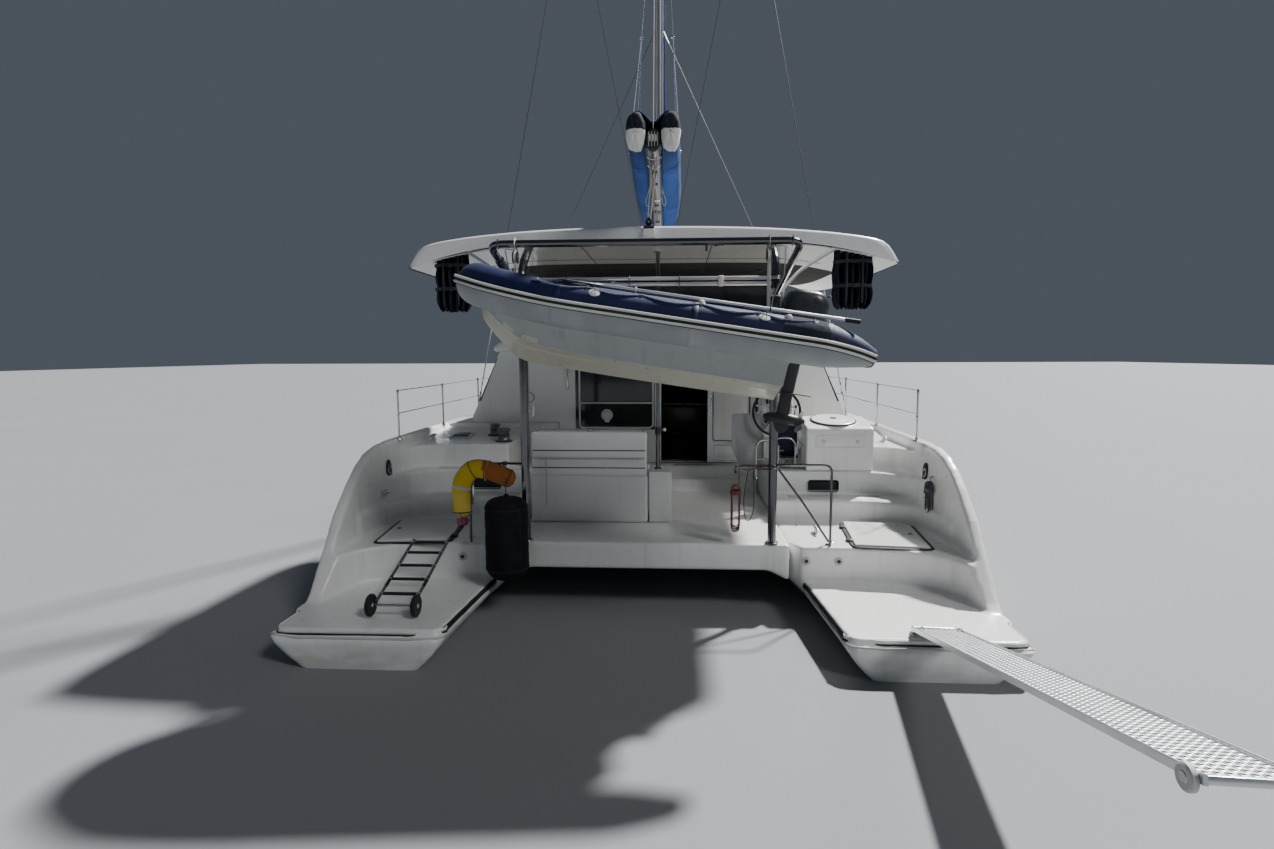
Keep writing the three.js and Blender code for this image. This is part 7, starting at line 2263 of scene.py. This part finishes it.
for y, w in ((3.6, 0.3), (2.0, 0.3), (0.2, 0.45), (-1.7, 0.3)):
    p, n = hit(HULL, (6, y, 1.2), (-1, 0, 0))
    ring = bent([(0, -0.075, 0), (w, -0.075, 0), (w, 0.075, 0), (-w, 0.075, 0), (-w, -0.075, 0),
                 (-0.004, -0.075, 0)], 0.06, 6)
    pane = [Vector((q.x * 0.99, q.y * 0.99, 0.004)) for q in ring[:-1]]
    both.add(lay(tube(ring, 0.011, 8), p, n, (0, 1, 0)), ALLOY)
    both.add(lay(loft([pane, [q + Vector((0, 0, 0.004)) for q in pane]]), p, n, (0, 1, 0)), GLASS)
for y, z in ((-2.9, 0.55), (-2.4, 0.5), (1.4, 0.42), (-3.6, 0.5)):
    p, n = hit(HULL, (6, y, z), (-1, 0, 0))
    both.add(lay(lathe([(0.012, -0.004), (0.014, 0.006), (0.024, 0.006), (0.03, 0.0), (0.03, -0.004)],
                       (0, 0, 0), "z", 20), p, n), PALE_RUBBER)
    both.add(lay(lathe([(0.001, 0.002), (0.013, 0.002), (0.001, 0)], (0, 0, 0), "z", 16), p, n), BLACK)
for x, y, w, h in ((2.75, 4.3, 0.26, 0.26), (2.8, 2.4, 0.26, 0.26), (2.95, -0.6, 0.2, 0.2),
                   (3.0, -2.0, 0.16, 0.2)):
    p, n = hit(HULL, (x, y, 4), (0, 0, -1))
    if p and p.z > 1.4:
        both.add(lay(box(-w, w, -h, h, -0.01, 0.022, 0.018, 3), p, n), ALLOY)
        both.add(lay(box(-w + 0.035, w - 0.035, -h + 0.035, h - 0.035, 0.015, 0.028, 0.008, 2), p, n),
                 GLASS)
for x, y in ((2.55, 6.0), (3.2, 2.9), (3.32, -2.4)):
    p, n = hit(HULL, (x, y, 4), (0, 0, -1))
    if p:
        both.add_all(cleat(p, 0.26, (0, 1, 0), n), ALLOY)
for y in (-3.3, -1.5, 0.5, 2.2, 3.6, 4.7, 5.6):
    x = 3.47 if y <= 3.5 else 3.44 - ((y - 3.5) / 3.2) ** 1.4 * 0.64
    p, n = hit(HULL, (x, y, 3), (0, 0, -1))
    if p:
        both.add(lay(lathe([(0.014, 0.05), (0.02, 0.048), (0.022, 0.014), (0.042, 0.008), (0.046, 0.0),
                            (0.001, 0.0)], (0, 0, 0), "z", 20), p, (0, 0, 1)), STEEL)
        for dz in (0.33, 0.64):
            both.add(torus((x, y, p.z + dz), 0.014, 0.006, (0, 1, 0), 16, 7), PALE_RUBBER)
        both.add(lathe([(0.001, 0.018), (0.012, 0.014), (0.016, 0.0), (0.015, -0.02), (0.001, -0.02)],
                       (x, y, p.z + 0.66), "z", 16), STEEL)
# A dark oval on the inner face of the bulwark, with a steel ring on it.
dark_oval = [(math.cos(a) * 0.07, math.sin(a) * 0.13, 0.004) for a in angles(32)]
p, n = hit(HULL, (2.6, -3.75, 1.42), (1, 0, 0))
if p:
    both.add(lay(loft([dark_oval, [(x, y, 0.02) for x, y, _ in dark_oval]]), p, n, (0, 1, 0)), BLACK_RUBBER)
    both.add(lay(torus((0, 0, 0.02), 0.05, 0.008), p, n, (0, 1, 0)), STEEL)
p, n = hit(HULL, (2.6, -4.0, 1.15), (1, 0, 0))
if p:
    hook = bent([(-0.06, 0, 0), (-0.06, 0, 0.05), (0.06, 0, 0.05), (0.06, 0, 0)], 0.02)
    both.add(lay(tube(hook, 0.007, 8), p, n, (0, 1, 0)), STEEL)
    both.add(lay(box(-0.08, 0.08, -0.05, 0.05, -0.003, 0.005, 0.002, 1), p, n, (0, 1, 0)), PALE_RUBBER)
piece("starboard_hull_details", both)
piece("port_hull_details", [(mirror(shape), material) for shape, material in both])

# Nets: cords both ways, a webbing border and lacing.
for s, word in reversed(SIDES):
    edge = sorted({(round(v.co.y, 3), round(abs(v.co.x), 3))
                   for v in nodes[word + "_trampoline"].data.vertices if abs(v.co.x) > 1.2})
    y_low, y_high = 3.53, 5.945

    def reach(y):
        """Half width of the net."""
        for a, b in zip(edge, edge[1:]):
            if a[0] <= y <= b[0] and b[0] > a[0]:
                return a[1] + (b[1] - a[1]) * (y - a[0]) / (b[0] - a[0])
        return edge[-1][1]

    cords = Kit()
    rows = 54
    for k in range(rows + 1):
        y = y_low + (y_high - y_low) * k / rows
        w = reach(y) - 0.03
        line = [(s * (0.1 + (w - 0.1) * i / 14), y, 1.56 - 0.012 * math.sin(math.pi * i / 14)
                 + 0.0015 * (-1) ** (i + k)) for i in range(15)]
        cords.add(tube(line, 0.0028, 5), WHITE_ROPE)
    for k in range(54):
        x = 0.1 + 0.045 * k
        ys = [y for y in [y_low + (y_high - y_low) * i / 60 for i in range(61)] if reach(y) - 0.03 >= x]
        if len(ys) > 3:
            cords.add(tube([(s * x, y, 1.561 - 0.012 * math.sin(math.pi * (x - 0.1) / 2.3))
                            for y in (ys[0], ys[len(ys) // 2], ys[-1])], 0.0028, 5), WHITE_ROPE)
    border = [(s * 0.1, y_low, 1.56), (s * (reach(y_low) - 0.03), y_low, 1.56)]
    border += [(s * (reach(y_low + (y_high - y_low) * i / 10) - 0.03), y_low + (y_high - y_low) * i / 10,
                1.56) for i in range(1, 11)]
    border += [(s * 0.1, y_high, 1.56), (s * 0.1, y_low + 0.01, 1.56)]
    cords.add(tube(border, 0.012, 8, squash=(1.6, 0.5)), STRAP)
    lacing = []
    for k in range(49):
        lacing.append((s * (0.08 if k % 2 else 0.104), y_low + 0.05 * k, 1.562))
    cords.add(tube(lacing, 0.003, 5), DARK_ROPE)
    lacing = []
    for k in range(49):
        x = 0.12 + 0.048 * k
        if x < reach(y_high) - 0.05:
            lacing.append((s * x, y_high + (0.024 if k % 2 else -0.004), 1.562))
    cords.add(tube(lacing, 0.003, 5), DARK_ROPE)
    piece(word + "_net", cords, stands_for=[word + "_trampoline"])

# Coachroof: hatches and grab rails.
roof = Kit()
for x, y in ((0.95, 1.9), (-0.95, 1.9), (1.3, -0.2), (-1.3, -0.2), (0.0, 2.3)):
    p, n = hit("coachroof_moulding", (x, y, 5), (0, 0, -1))
    if p:
        roof.add(lay(box(-0.27, 0.27, -0.27, 0.27, -0.02, 0.025, 0.02, 3), p, n), ALLOY)
        roof.add(lay(box(-0.232, 0.232, -0.232, 0.232, 0.018, 0.032, 0.008, 2), p, n), GLASS)
        for e in (-0.18, 0.18):
            roof.add(lay(box(e - 0.03, e + 0.03, 0.25, 0.29, 0.0, 0.034, 0.006, 2), p, n), BLACK)
for s in (-1, 1):
    for y0, y1 in ((-0.6, 0.5), (0.9, 2.0)):
        a, n0 = hit("coachroof_moulding", (s * 1.85, y0, 5), (0, 0, -1))
        b, n1 = hit("coachroof_moulding", (s * 1.75, y1, 5), (0, 0, -1))
        if a and b:
            up_vec = Vector((0, 0, 0.065))
            roof.add(tube(bent([a, a + up_vec, b + up_vec, b], 0.05, 6), 0.0125, 12), STEEL)
            mid = (a + b) / 2
            roof.add(tube([mid + Vector((0, 0, -0.02)), mid + up_vec], 0.011, 10), STEEL)
piece("coachroof_details", roof)

# Rubber gaskets round the saloon windows, laid on the outer face of the leaning wall.
PLAN = [(2.805, -1.2), (2.785, 0.3), (2.615, 1.4), (2.185, 1.795), (1.455, 2.195), (0, 2.355)]
WINDOW_LOW, WINDOW_HIGH, LAP = 2.19, 2.8, 0.007
gaskets = []
for i, (a, b) in enumerate(zip(PLAN, PLAN[1:])):
    a, b = Vector((*a, 0)), Vector((*b, 0))
    along = (b - a).normalized()
    off = Vector((along.y, -along.x, 0))
    start, stop = (0.26 if i == 0 else 0.075) - LAP, (b - a).length - 0.075 + LAP
    corner = [[hit(nodes["cabin_wall"].name, a + along * d + off * 0.6 + Vector((0, 0, z)), -off)[0]
               for d in (start, stop)] for z in (WINDOW_LOW - LAP, WINDOW_HIGH + LAP)]
    if None in corner[0] + corner[1]:
        continue
    wide, tall = stop - start, WINDOW_HIGH - WINDOW_LOW + 2 * LAP
    flat = bent([(wide / 2, 0, 0), (0, 0, 0), (0, tall, 0), (wide, tall, 0), (wide, 0, 0),
                 (wide / 2, 0, 0)], 0.045, 6)[:-1]
    line = [corner[0][0].lerp(corner[0][1], q.x / wide).lerp(corner[1][0].lerp(corner[1][1], q.x / wide),
                                                             q.y / tall) for q in flat]
    gasket = tube(line, 0.017, 10, closed=True)
    gaskets += [(gasket, BLACK_RUBBER), (mirror(gasket), BLACK_RUBBER)]
piece("window_gaskets", gaskets)

# Floor at the waterline, and light.
floor_mesh = DATA.meshes.new("floor")
floor_mesh.from_pydata([(-120, -60, 0), (120, -60, 0), (120, 180, 0), (-120, 180, 0)], [], [(0, 1, 2, 3)])
floor = link(DATA.objects.new("floor", floor_mesh))
pale = Mat("floor", (0.205, 0.215, 0.225), 0.8)
pale.paint(pale.noise(0.3, 3), (0.23, 0.24, 0.25))
floor_mesh.materials.append(pale.material)
world = DATA.worlds.new("world")
SCENE.world = world
world.use_nodes = True
world.node_tree.nodes["Background"].inputs["Color"].default_value = (0.7, 0.82, 1.0, 1)
world.node_tree.nodes["Background"].inputs["Strength"].default_value = 0.11
sun = DATA.lights.new("sun", "SUN")
sun.energy = 9.5
sun.angle = math.radians(3)
sun_ob = link(DATA.objects.new("sun", sun))
sun_ob.rotation_euler = (math.radians(-30), math.radians(30), 0)
glow = DATA.lights.new("glow", "SUN")
glow.energy = 0.9
glow.angle = math.radians(14)
glow_ob = link(DATA.objects.new("glow", glow))
glow_ob.rotation_euler = (math.radians(28), math.radians(42), 0)
